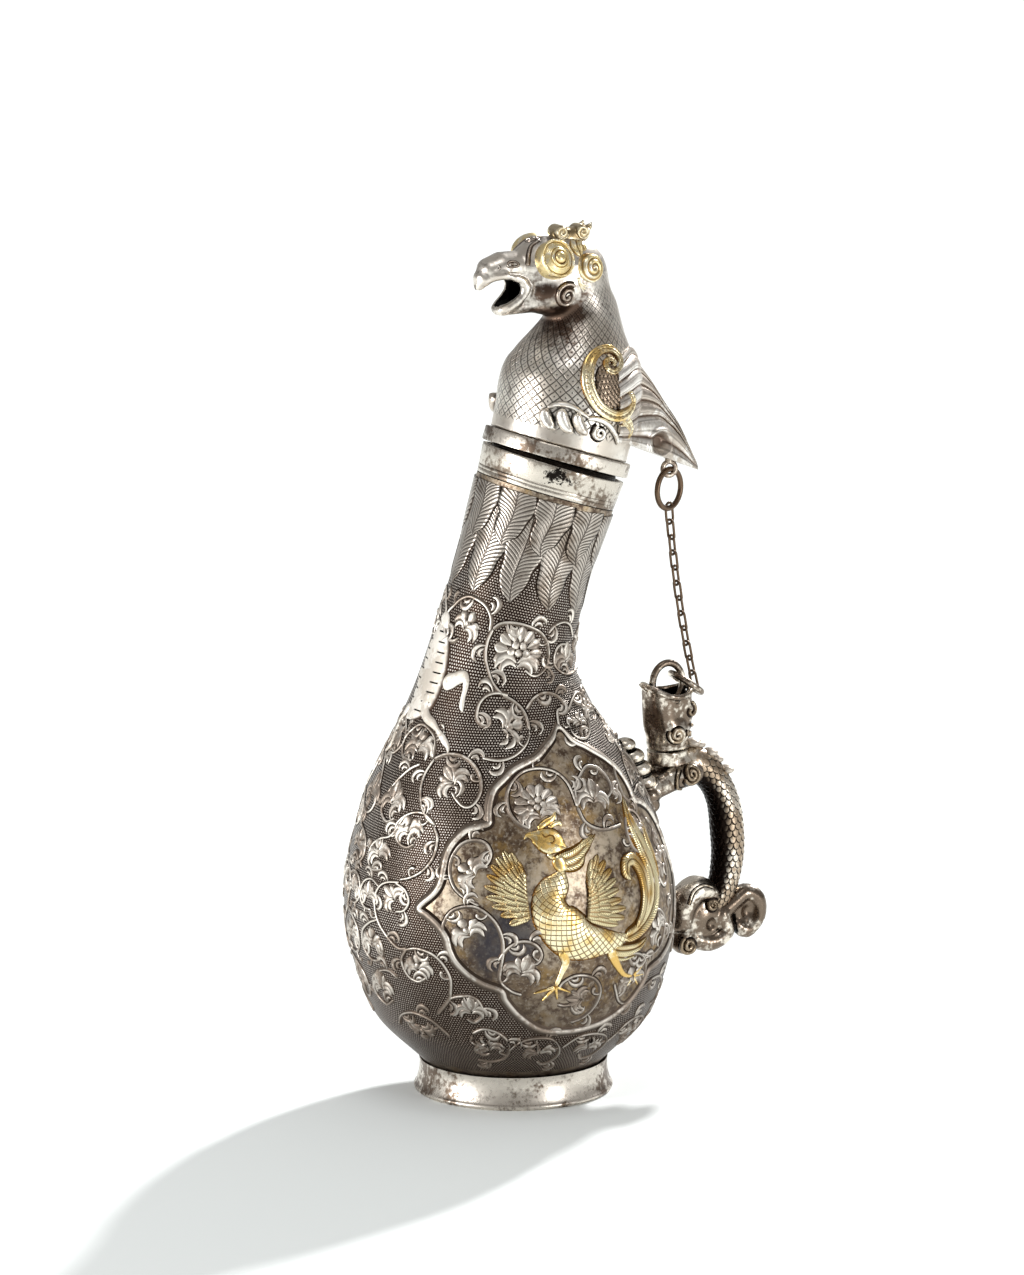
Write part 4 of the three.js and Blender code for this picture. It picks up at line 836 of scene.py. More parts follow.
class FLASK_OT_phoenix(bpy.types.Operator):
    """Build the gilt phoenix of each medallion"""

    bl_idname = "flask.phoenix"
    bl_label = "Phoenixes"

    def execute(self, context):
        names = ("rise", "along", "across", "breadth")
        body, plumes, plain = Shape(*names), Shape(*names), Shape(*names)

        def line(shape, text, high, section=dome_section, lift=0.0):
            """A strip through 'degrees,height,half width' triples."""
            table = trace(text)
            fine = flow(table, 0.7)
            strip(shape, fine[:, :2], rounded(np.maximum(fine[:, 2], 0.12), flat_path(fine)), high, section, lift)

        line(body, "-94.2,86.8,2.3 -97.2,82.7,4.5 -101,78.3,5.4 -100.7,72.7,6.7 -97.4,68.2,8 -93.4,64.4,8"
                   " -89.1,62.4,6.6 -83.4,61.4,5 -76.3,60.9,3.2 -69.7,62.2,1", 1.15)
        line(plumes, "-73,61,2 -66,62.6,2.6 -59,66.5,3.2 -54,72,3.6 -52.3,79,3.5 -54.5,87,3.1 -57,95,2.1 -57,100,1.2"
                     " -55.8,104,.3", 0.8, leaf_section)
        line(plumes, "-67,63.5,1.4 -62.5,67.8,1.9 -59.4,74,2.3 -59.5,80.5,2.4 -62.5,84.6,2.2 -66.5,84.6,2.2"
                     " -68,81.5,1.8 -66,79,.8", 0.95, lift=0.3)
        line(plumes, "-79,58.6,1.4 -73,57,1.8 -66,57,1.5 -60.5,59.4,.3", 0.7, leaf_section)
        line(plumes, "-80,56.5,1.2 -73,54.6,1.3 -66,54.6,.3", 0.6, leaf_section)
        line(plumes, "-47.5,76,.4 -48.5,84,1.5 -49.5,90,1.2 -49,95,.3", 0.6, leaf_section)
        # Head with a hooked beak and an S cut in its cheek, flaming crest, neck plumes and wattle
        line(plain, "-95.6,91.4,2.4 -95,88.4,2.6 -95,85.8,2.6", 0.95)
        line(plain, "-108,97.4,.3 -106.6,98.6,.8 -104.4,98.4,1.5 -101,97.2,3.5 -97.5,95.8,4.2 -94,94.3,2.8 -91.4,93.2,.6",
             1.0, plate_section)
        line(plain, "-104.6,97,.8 -102.6,95.2,.8 -102.6,93.6,.3", 0.7)
        line(plain, "-102,100.2,1 -98.6,101.8,1.2 -95.2,103,1.1 -93.4,105.2,.3", 0.8)
        line(plain, "-97.6,100.2,.9 -94.6,101.2,.9 -92.6,101.2,.9 -92.2,99.8,.3", 0.7)
        line(plain, "-99.4,92.6,.9 -98.4,91,.8 -96.4,90.6,.3", 0.9, lift=0.3)
        groove = ((-1, -0.9, 0, 0.9, 1), (-0.3, 0.1, 0.1, 0.1, -0.3))
        line(plain, "-101,98.8,.25 -99.6,97.4,.3 -98,97.8,.3 -96.6,97.4,.3 -96.2,96,.3 -97.2,95.2,.3 -98,95.8,.25", 0.1,
             groove, lift=1.0)
        line(plumes, "-98,90,1.2 -93,89.8,2.2 -88.5,90.6,2.2 -84.5,92.4,1.7 -81,94.2,1 -77.5,95.6,.2", 0.7, leaf_section)
        line(plumes, "-96,87.8,1 -91,87.6,1.8 -87.5,88.6,1.7 -84.5,90.8,.3", 0.6, leaf_section)
        line(plumes, "-79.5,96,.2 -81.5,94.4,.8 -84,93.6,1 -87,92.6,.3", 0.7, leaf_section)
        # Legs and claws
        line(plain, "-98,60,1.9 -96.5,56,1.5 -98,52,.9 -100,47.5,.8", 0.8)
        line(plain, "-79,58.5,2.2 -76,53,1.5 -72,48.5,.9 -67,47,.7", 0.8)
        for foot, toes in (("-100,47.5", ("-108,45.5", "-105,42.5", "-99,42.5", "-94,45")),
                           ("-67,47", ("-62,50", "-60,46.5", "-63,43", "-70,43.5"))):
            for toe in toes:
                line(plain, f"{foot},.7 {toe},.25", 0.6)
        # Wings: long flight feathers, then a row of coverts over their roots
        left = trace("-111.5,91 -113.6,94 -116.4,94.6 -119.2,92.8 -121.4,90.2 -123,86.8 -124,83 -123.6,79.2 -121.6,75.8"
                     " -118.8,72.6 -115.8,69.4")
        right = trace("-81.5,88.4 -79,89.4 -76.2,87.2 -74.2,84.2 -73,80.8 -72.6,77.4 -72.2,74 -70.6,71 -71.8,68 -75,66.2")
        for tips, start, end in ((left, (-109.6, 85.5), (-108.4, 72)), (right, (-85.2, 80.5), (-88, 70.4))):
            for i, tip in enumerate(tips):
                share = i / (len(tips) - 1)
                root = np.array(start) + (np.array(end) - start) * share
                feather(plumes, root, tip, 1.5, 0.75, 0.06 * (0.5 - share))
            for i, tip in enumerate(tips[:-1]):
                share = (i + 0.5) / (len(tips) - 1)
                root = np.array(start) + (np.array(end) - start) * share
                middle = (tip + tips[i + 1]) / 2
                feather(plumes, root, root + (middle - root) * 0.6, 1.5, 0.75, 0.03, lift=0.35)
                feather(plumes, root, root + (middle - root) * 0.3, 1.4, 0.75, 0.0, lift=0.7)
        gold = ("#f3e6ba", "#6b4a20", "#cfa65c")
        mesh_piece("phoenix_bodies", body, scaled_gilt(), "flask")
        mesh_piece("phoenix_plumes", plumes, barbed("barbed_gilt", *gold, 0.9, line=0.26), "flask")
        mesh_piece("phoenix_heads", plain, aged_metal("rubbed_gilt", "#f6eac2", "#7a5526", "#d6b26a", 0.3, 0.26,
                                                      depth=0.03), "flask")
        return {"FINISHED"}


def scaled_gilt():
    """Fire-gilt silver with diamond scales cut into it: fine brown lines cross on yellow gold."""
    made, tree, shader = new_material("scaled_gilt")
    across = math_of(tree, "MULTIPLY", value_of(tree, "across"), value_of(tree, "breadth"))
    along = value_of(tree, "along")
    lines = []
    for sign in (1.0, -1.0):
        mix = math_of(tree, "ADD", along, math_of(tree, "MULTIPLY", across, sign))
        wave = math_of(tree, "FRACT", math_of(tree, "DIVIDE", mix, 2.4))
        lines.append(ramp(tree, math_of(tree, "ABSOLUTE", math_of(tree, "SUBTRACT", wave, 0.5)), 0.36, 0.5))
    cut = math_of(tree, "MAXIMUM", lines[0], lines[1])
    base = mixed(tree, ramp(tree, noise(tree, 7, 4.0), 0.42, 0.66), linear("#f6ebc4"), linear("#dab974"))
    low = ramp(tree, value_of(tree, "rise"), 0.1, 0.6)
    colour = mixed(tree, low, linear("#7b5220"), base)
    colour = mixed(tree, math_of(tree, "MULTIPLY", cut, 0.8), colour, linear("#7b5220"))
    tree.links.new(colour, shader.inputs["Base Color"])
    shader.inputs["Roughness"].default_value = 0.27
    bumped(tree, shader, math_of(tree, "SUBTRACT", 1.0, cut), 0.2)
    return made


class FLASK_OT_leaves(bpy.types.Operator):
    """Build the two tiers of hanging leaves round the neck's end"""

    bl_idname = "flask.leaves"
    bl_label = "Hanging leaves"

    def execute(self, context):
        shape = Shape("rise", "along", "across", "breadth")
        count = 11
        apart = 360 / count
        # A hanging leaf: its half width steps in twice on the way down, like three leaflets in one.
        upper = smooth([(0, 15.6), (0.28, 16.6), (0.46, 13.0), (0.6, 12.2), (0.76, 10.6), (0.9, 5.4), (1, 0.3)])
        lower = smooth([(0, 10.0), (0.3, 15.0), (0.46, 17.0), (0.6, 13.6), (0.74, 12.8), (0.88, 8.4), (1, 0.3)])
        for k in range(count):
            for top, tip, start, widths, lift in ((197, 166.8, -153.3, lower, 0.02), (200.5, 183, -138.4, upper, 0.3)):
                t = np.linspace(0, 1, 90)
                turn = start + apart * k
                bow = 3.2 * np.sin(2 * np.pi * t * 0.9 + 0.6 * k) * t
                path = np.stack([turn + bow, top + (tip - top) * t], 1)
                half = np.radians(widths(t)) * radius_at(path[:, 1])
                strip(shape, path, np.maximum(half, 0.08), 0.3, plate_section, lift=lift, mirror=False)
        mesh_piece("neck_leaves", shape, barbed("veined_silver", "#c3bab0", "#2f2620", "#8d8175", 1.25,
                                                slant=-1.0, line=0.36), "flask")
        return {"FINISHED"}


class FLASK_OT_foot(bpy.types.Operator):
    """Build the foot ring, the mouth band, and the cover's rim and sleeve"""

    bl_idname = "flask.foot"
    bl_label = "Foot, band and rim"

    def execute(self, context):
        plain = aged_metal("worn_plain_silver", "#d9d1c6", "#8f8275", "#6e5f52", 0.27, 0.3, wear_and_shade=None)
        # The foot: a turned profile with a rolled lip, under the vessel's curve.
        foot = [(29.6, 8.9), (29.9, 5), (30.1, 1.9), (30.5, 0.5), (31.1, 0), (32.4, 0), (32.9, 0.25), (33.2, 0.8),
                (33.15, 1.35), (32.8, 1.75), (32.5, 2.1), (32.1, 3.6), (31.7, 5), (31.4, 7), (31.3, 8.6), (31.35, 10),
                (31.5, 10.9), (31.2, 10.9), (30.5, 10.3), (29.8, 9.6)]
        self.turned("foot_skin", foot, lambda p: p, plain, "flask", "silver", ("foot_ring",))
        # The band: a ring with a double line cut round it a third of the way up.
        band = [(22.0, 0.3), (23.3, 0.3), (23.42, 0.45), (23.55, 1.7), (23.45, 1.85), (23.58, 2.0), (23.66, 2.9),
                (23.54, 3.05), (23.68, 3.2), (24.2, 9.2), (24.25, 9.7), (24.1, 10), (22.8, 10), (22.6, 9.7)]
        self.turned("band_skin", band, from_mouth, self.tarnished_band(), "flask", "silver", ("mouth_band",))
        rim = [(20.3, 0), (24.4, 0), (24.8, 0.15), (24.9, 0.6), (24.85, 2.4), (24.9, 4.2), (24.75, 4.65), (24.4, 4.8),
               (20.1, 4.8)]
        self.turned("rim_skin", rim, from_cover, plain, "cover", "silver", ("cover_rim",))
        sleeve = [(20.1, -11), (20.9, -11), (21.2, -10.7), (21.2, -0.5), (21.0, -0.3), (20.1, -0.3)]
        # The sleeve is painted nearly black as painted shade: it stands for the shadow in the gap under the tipped
        # cover.
        dark = aged_metal("painted_shade_sleeve_silver", "#2b2521", "#1a1613", "#1f1a17", 0.4, 0.5, wear_and_shade=None)
        self.turned("sleeve_skin", sleeve, from_cover, dark, "cover", "dark_silver", ("cover_sleeve",))
        return {"FINISHED"}

    def tarnished_band(self):
        """Worn plain silver with a black tarnish patch on the -Y side, broken up like a map."""
        made = aged_metal("tarnished_band_silver", "#d0c8bc", "#8f8275", "#75675a", 0.27, 0.28, wear_and_shade=None)
        tree = made.node_tree
        shader = next(n for n in tree.nodes if n.type == "BSDF_PRINCIPLED")
        old = shader.inputs["Base Color"].links[0].from_socket
        place = add(tree, "TexCoord").outputs["Object"]
        spot = from_mouth([23.9 * math.cos(math.radians(-113)), 23.9 * math.sin(math.radians(-113)), 6.6]) + offset
        away = add(tree, "VectorMath", {"operation": "SUBTRACT"}, {0: place, 1: tuple(spot * 0.001)}).outputs[0]
        away = add(tree, "VectorMath", {"operation": "MULTIPLY"}, {0: away, 1: (1.0, 1.0, 1.9)}).outputs[0]
        away = add(tree, "VectorMath", {"operation": "LENGTH"}, {0: away}).outputs["Value"]
        near = ramp(tree, away, 0.0, 0.0095, 0.22, 0.0)
        wide = ramp(tree, away, 0.006, 0.024, 0.07, 0.0)
        clumps = math_of(tree, "MULTIPLY", noise(tree, 4.6, 2.0, 0.5), 0.45)
        veins = math_of(tree, "MULTIPLY", noise(tree, 1.5, 6.0, 0.8), 0.75)
        broken = math_of(tree, "ADD", math_of(tree, "ADD", clumps, veins), math_of(tree, "ADD", near, wide))
        patch = ramp(tree, broken, 0.79, 0.83)
        tree.links.new(mixed(tree, patch, old, linear("#1d1916")), shader.inputs["Base Color"])
        return made

    def turned(self, name, profile, placing, material, body, slot, replaces):
        """A ring turned from a closed profile of (radius, height): the profile is swept round the axis."""
        turn = np.linspace(-np.pi, np.pi, 180, endpoint=False)
        profile = np.array(profile, float)
        near = profile[:, None]
        points = np.stack(np.broadcast_arrays(near[..., 0] * np.cos(turn), near[..., 0] * np.sin(turn),
                                              near[..., 1]), -1)
        points = np.concatenate([points, points[:1]])
        shape = Shape().grid(placing(points[:-1]), caps=(False, False))
        last = (len(profile) - 1) * 180 + np.arange(180)
        first = np.arange(180)
        shape.faces.append(np.stack([last, np.roll(last, -1), np.roll(first, -1), first], 1))
        made = mesh_piece(name, shape, material, body, replaces)
        outward(made)


def outward(made):
    """Turns a closed mesh's faces outward, and gives its sharp bends sharp edges."""
    edit = bmesh.new()
    edit.from_mesh(made.data)
    bmesh.ops.recalc_face_normals(edit, faces=edit.faces)
    edit.to_mesh(made.data)
    edit.free()
    made.data.polygons.foreach_set("use_smooth", np.ones(len(made.data.polygons), bool))
    made.data.set_sharp_from_angle(angle=math.radians(50))


# Organic forms as distance fields


def length(v):
    return np.sqrt((v * v).sum(-1))


def ellipsoid(p, centre, radii):
    """Approximate distance to an ellipsoid: the gap in its own stretched space, over that stretch."""
    q = p - np.asarray(centre, float)
    near = length(q / radii)
    return near * (near - 1) / np.maximum(length(q / np.asarray(radii, float) ** 2), 1e-9)


def limb(p, points, radii, stretch=(1, 1, 1)):
    """Distance to a chain of tapered capsules; stretch makes it broader along an axis."""
    scale = 1 / np.asarray(stretch, float)
    q = p * scale
    nodes = np.asarray(points, float) * scale
    best = np.full(p.shape[:-1], 1e9)
    for a, b, ra, rb in zip(nodes, nodes[1:], radii, radii[1:]):
        way = b - a
        t = np.clip((q - a) @ way / (way @ way), 0, 1)
        best = np.minimum(best, length(q - a - t[..., None] * way) - (ra + (rb - ra) * t))
    return best


def melt(a, b, k):
    """Union of two fields with a fillet about k wide."""
    h = np.clip(0.5 + 0.5 * (b - a) / k, 0, 1)
    return b + (a - b) * h - k * h * (1 - h)


def carve(a, b, k):
    """Field a with b cut out of it, its edge rounded over k."""
    return -melt(-a, b, k)


def slope_of(field, points, step=0.02):
    """The direction out of a field at points, by central differences."""
    out = np.empty_like(points)
    for axis in range(3):
        move = np.zeros(3)
        move[axis] = step
        out[..., axis] = field(points + move) - field(points - move)
    return unit(out)


def settle(field, points, steps=3):
    """Points moved along the slope onto the field's surface."""
    for _ in range(steps):
        points = points - slope_of(field, points) * field(points)[..., None]
    return points


def aimed(field, points, way, steps=60):
    """Points moved along one direction until they meet the field's surface."""
    way = unit(np.asarray(way, float))
    for _ in range(steps):
        points = points + way * np.clip(field(points), -1, 4)[..., None] * 0.7
    return settle(field, points, 1)


def skin(field, low, high, cell):
    """The closed surface where a field is zero, as points and quads. Each grid cell that the surface
    crosses gets one point, at the mean of the crossings on its twelve edges; each grid edge that it
    crosses gets one quad through the four cells round it. The points then settle onto the field."""
    low, high = np.asarray(low, float), np.asarray(high, float)
    counts = np.ceil((high - low) / cell).astype(int) + 1
    axes = [low[k] + cell * np.arange(counts[k]) for k in range(3)]
    values = np.empty(counts)
    for i, x in enumerate(axes[0]):
        y, z = np.meshgrid(axes[1], axes[2], indexing="ij")
        values[i] = field(np.stack([np.full_like(y, x), y, z], -1))
    within = values < 0
    corners = np.array([(i, j, k) for i in (0, 1) for j in (0, 1) for k in (0, 1)])
    size = counts - 1
    total = sum(within[c[0]:c[0] + size[0], c[1]:c[1] + size[1], c[2]:c[2] + size[2]].astype(np.int8)
                for c in corners)
    crossed = np.argwhere((total > 0) & (total < 8))
    number = np.full(size, -1)
    number[tuple(crossed.T)] = np.arange(len(crossed))
    mass, hits = np.zeros((len(crossed), 3)), np.zeros(len(crossed))
    for a in corners:
        for b in corners:
            if (b - a).sum() == 1 and (b >= a).all():
                va, vb = values[tuple((crossed + a).T)], values[tuple((crossed + b).T)]
                meets = (va < 0) != (vb < 0)
                t = np.where(meets, va / np.where(meets, va - vb, 1), 0)
                mass += np.where(meets[:, None], a + t[:, None] * (b - a), 0)
                hits += meets
    points = low + cell * (crossed + mass / hits[:, None])
    faces = []
    for axis in range(3):
        step = np.zeros(3, int)
        step[axis] = 1
        one, two = [np.eye(3, dtype=int)[k] for k in ((axis + 1) % 3, (axis + 2) % 3)]
        span = [slice(1, n - 1) for n in counts]
        span[axis] = slice(0, counts[axis] - 1)
        far = list(span)
        far[axis] = slice(1, counts[axis])
        for flips, mask in ((False, within[tuple(span)] & ~within[tuple(far)]),
                            (True, ~within[tuple(span)] & within[tuple(far)])):
            at = np.argwhere(mask) + [s.start for s in span]
            ring = [at - one - two, at - two, at, at - one]
            quad = np.stack([number[tuple(r.T)] for r in ring], 1)
            faces.append(quad[:, ::-1] if flips else quad)
    return settle(field, points, 2), np.vstack(faces)


def field_strip(shape, field, path, half, high, section=stem_section, lift=0.0, mirror=True, kind=None):
    """A raised strip along a path on a field's surface, and its mirror image in Y. Each station's
    section lies square to the path and settles onto the surface before it is raised."""
    shares, rises = np.array(section[0]), np.array(section[1])
    out = slope_of(field, path)
    side = unit(np.cross(unit(np.gradient(path, axis=0)), out))
    base = path[:, None] + side[:, None] * (shares[None, :, None] * half[:, None, None])
    base = settle(field, base, 2)
    tall = high * np.clip(half / half.max() * 1.5, 0, 1) ** 0.6
    raised = rises[None, :] * tall[:, None] + lift * np.where(rises > 0, 1, 0)[None, :]
    points = base + slope_of(field, base) * raised[..., None]
    run = distance_along(path)
    for sign in (1, -1) if mirror else (1,):
        values = [np.clip(rises, 0, 1)[None, :], run[:, None], np.clip(shares, -1, 1)[None, :], half[:, None]]
        if kind is not None:
            values.append(kind)
        grid = points * np.array([1, sign, 1])
        if sign < 0:
            shape.grid(grid[:, ::-1], *[v[:, ::-1] if np.ndim(v) == 2 and v.shape[1] > 1 else v for v in values],
                       caps=(True, True))
        else:
            shape.grid(grid, *values, caps=(True, True))


def spiral(centre, radius, turns, start, inner=0.25, flip=1):
    """Points of a flat spiral that winds in to its centre, from a starting angle in degrees."""
    t = np.linspace(0, 1, int(16 * turns) + 4)
    angle = np.radians(start) + flip * 2 * np.pi * turns * t
    out = radius * (1 - (1 - inner) * t ** 0.85)
    return np.stack([centre[0] + out * np.cos(angle), centre[1] + out * np.sin(angle)], 1)


# The bird cover, upright from the middle of its base

head_centre = np.array([1.7, 0, 55.9])
breast_rise = 42.3 - 15.5
narrowing = ((0.28, 0.075), (0.466, 0.206), (0.616, 0.42), (0.8, 0.72))
trunk_radius = smooth([(0, 23.2), (15.5, 23.4), *[(15.5 + up * breast_rise, 23.4 - drawn * 10.7)
                                                  for up, drawn in narrowing],
                       (42.3, 12.7), (47.5, 11.1), (57.4, 9.7)])
trunk_axis = smooth([(0, 0), (7.75, 2.1), (15.5, 3.5), (31.58, 5.46), (42.3, 9.1), (47.5, 9.3), (57.4, 5.7)])


def trunk_tilt(height):
    """The trunk's rounds lie along the rim at its base, and turn level by 31 mm up."""
    return mouth_tilt * np.maximum(0, 1 - height / 31)


def trunk_height(p):
    """How far up the trunk's axis the round through each point starts."""
    height = p[..., 2]
    for _ in range(7):
        at = np.maximum(height, 0)
        height = p[..., 2] + (p[..., 0] - trunk_axis(at)) * np.tan(trunk_tilt(at))
    return height


def trunk(p, inset=0.0):
    """Distance to the trunk: from its leaning axis to its round, less the round's radius."""
    at = np.clip(trunk_height(p), 0, 60)
    out = (p[..., 0] - trunk_axis(at)) / np.cos(trunk_tilt(at))
    return carve(np.sqrt(out ** 2 + p[..., 1] ** 2) - trunk_radius(at) + inset, 60 - inset - p[..., 2], 1.0)


upper_beak = trace("-9,4.5 -16,4.4 -22,5.1 -26.2,4.1 -28.7,1.6 -29.9,-1.5")
lower_beak = trace("-3,-7.8 -12,-8 -17,-8.5 -21.8,-9.3")
lip_path = np.array([(-30.4, 0.8, -0.6), (-28.5, 2.8, 1.3), (-26.3, 4.0, 2.2), (-23.6, 5.0, 2.7), (-20.4, 5.4, 2.3),
                     (-17.2, 5.9, 0.8), (-15.9, 6.1, -1.7), (-16.6, 5.8, -4.4), (-18.8, 5.1, -6.6), (-21.2, 4.1, -8.2),
                     (-23.0, 2.4, -9.3), (-23.6, 0, -9.7)])


def in_plane(points):
    return np.stack([points[:, 0], np.zeros(len(points)), points[:, 1]], 1)


def gape(p):
    """Distance to the open beak's gap, which runs right across the head."""
    flat = p * np.array([1, 0, 1])
    return limb(flat, ((-20.4, 0, -2.6), (-24.2, 0, -3.2), (-28.4, 0, -5.8), (-35, 0, -9.4)), (3.3, 3.7, 4.0, 6.2))


def between_lips(p):
    """1 on the surfaces that lie between the two lips of the open beak, 0 elsewhere."""
    steps = flow(lip_path[:, [0, 2]], 0.5)
    aside = np.interp(distance_along(steps) / distance_along(steps)[-1],
                      distance_along(lip_path[:, [0, 2]]) / distance_along(lip_path[:, [0, 2]])[-1], lip_path[:, 1])
    near = gape(p) < 2.2
    found = np.zeros(len(p))
    away = np.linalg.norm(p[near][:, None, [0, 2]] - steps[None], axis=-1)
    lip_out = aside[away.argmin(1)]
    found[near] = ease(lip_out - 0.45 - np.abs(p[near][:, 1]), -0.15, 0.25)
    return found


def head(p):
    """Distance to the head about its centre: skull, forehead, cheeks, hooked beak and jaw, melted
    together, with the gape cut through and a rolled lip along its edge."""
    q = np.stack([p[..., 0], np.abs(p[..., 1]), p[..., 2]], -1)
    solid = melt(ellipsoid(q, (0, 0, 0), (16.3, 10.8, 13.3)), ellipsoid(q, (-7.4, 0, 5.6), (8.4, 8.8, 8.2)), 1.5)
    solid = melt(solid, ellipsoid(q, (-5.5, 6.0, -4.5), (7.5, 4.6, 5.2)), 2.5)
    beak = limb(q, in_plane(upper_beak), (8, 5.3, 4.6, 4.1, 3.0, 1.5), (1, 1.25, 1))
    jaw = limb(q, in_plane(lower_beak), (4.4, 3.2, 2.8, 2.2), (1, 1.8, 1))
    solid = melt(melt(solid, beak, 2.2), jaw, 2.0)
    solid = melt(solid, ellipsoid(q, (-13.8, 0, -2.2), (5.4, 7.2, 6.4)), 1.5)
    solid = carve(solid, gape(q), 0.8)
    lip = limb(q, lip_path, (1.1, 1.25, 1.35, 1.45, 1.5, 1.5, 1.5, 1.5, 1.5, 1.5, 1.5, 1.4))
    crease = limb(q, lip_path[3:9] + np.array([2.1, 0.9, 0.4]), np.full(6, 0.55))
    return carve(melt(solid, lip, 1.1), crease, 0.6)


def throat(p):
    """Distance to the way that the drink takes from the hollow neck to the open beak."""
    return limb(p, ((2, 0, -2), (-8, 0, -3.2), (-18.6, 0, -3.0), (-24.5, 0, -4.8)), (8.5, 6.0, 3.7, 2.8))


def bird_hollow(p):
    """Distance to the hollow in the bird: the trunk drawn in by the sheet, the skull and the throat."""
    q = p - head_centre
    return np.minimum(np.minimum(trunk(p, 1.5), throat(q)), ellipsoid(q, (0.5, 0, 0), (14.6, 9.2, 11.6)))


def bird(p):
    """Distance to the whole cover in the bird's frame: trunk and head, hollow inside."""
    outside = melt(trunk(p), head(p - head_centre), 3.0)
    outside = np.maximum(outside, p[..., 2] - 75)
    outside = np.maximum(outside, -trunk_height(p) - 0.02)
    return carve(outside, bird_hollow(p), 0.25)


class FlaskCover(bpy.types.PropertyGroup):
    """Sizes of the bird cover."""

    scales: IntProperty(name="Scales", description="Diamond scales round the trunk", default=38, min=20, max=80)
    flute_depth: FloatProperty(name="Flute depth", description="Depth of the grooves between feathers, in mm",
                               default=1.5, min=0.2, max=2.0)
    cell: FloatProperty(name="Cell", description="Grid step of the modelled forms, in mm", default=0.5, min=0.3,
                        max=1.5)


def diamond_scaled_silver():
    """Silver cut all over with a lattice of diamond scales, a dot in each: dark hair lines on pale
    rubbed metal, with brown tarnish in clouds that is darker under the head as painted shade, and painted black shade
    inside the mouth and the hollow."""
    made, tree, shader = new_material("diamond_scaled_silver")
    place = add(tree, "UVMap", {"uv_map": "pattern"}).outputs[0]
    parts = add(tree, "SeparateXYZ", None, {0: place})
    wobble = math_of(tree, "MULTIPLY", math_of(tree, "SUBTRACT", noise(tree, 3, 2.0), 0.5), 0.22)
    cells = []
    for kind in ("ADD", "SUBTRACT"):
        run = math_of(tree, "ADD", math_of(tree, kind, parts.outputs[0], parts.outputs[1]), wobble)
        cells.append(math_of(tree, "SUBTRACT", math_of(tree, "FRACT", run), 0.5))
    edge = math_of(tree, "MAXIMUM", *[math_of(tree, "ABSOLUTE", c) for c in cells])
    line = ramp(tree, edge, 0.39, 0.465)
    squares = [math_of(tree, "MULTIPLY", c, c) for c in cells]
    away = math_of(tree, "SQRT", math_of(tree, "ADD", *squares))
    dot = ramp(tree, away, 0.08, 0.14, 1.0, 0.0)
    cut = math_of(tree, "MULTIPLY", math_of(tree, "MAXIMUM", line, dot), value_of(tree, "scaled"))
    cloud = noise(tree, 13, 4.0)
    fine = noise(tree, 1.4, 4.0)
    broken = math_of(tree, "ADD", cloud, math_of(tree, "MULTIPLY", math_of(tree, "SUBTRACT", fine, 0.5), 0.35))
    # Tarnish clouds, made darker by the shade value where shade is painted under the head.
    shade = math_of(tree, "ADD", broken, math_of(tree, "MULTIPLY", value_of(tree, "shade"), 0.4))
    colour = mixed(tree, ramp(tree, cloud, 0.38, 0.62), linear("#d0c6ba"), linear("#ece6dd"))
    colour = mixed(tree, ramp(tree, shade, 0.56, 0.84), colour, linear("#54443a"))
    colour = mixed(tree, ramp(tree, fine, 0.56, 0.75, 0.0, 0.4), colour, linear("#54463c"))
    colour = mixed(tree, math_of(tree, "MULTIPLY", cut, 0.85), colour, linear("#2b231e"))
    # Painted shade: the hollow and the surfaces between the open beak's lips are painted nearly black.
    colour = mixed(tree, ramp(tree, value_of(tree, "inside"), 0.3, 0.7), colour, linear("#0c0908"))
    tree.links.new(colour, shader.inputs["Base Color"])
    tree.links.new(ramp(tree, value_of(tree, "inside"), 0.3, 0.7, 0.33, 0.9), shader.inputs["Roughness"])
    normal = bumped(tree, shader, math_of(tree, "SUBTRACT", 1.0, cut), 0.16)
    bumped(tree, shader, fine, 0.06, normal=normal)
    return made


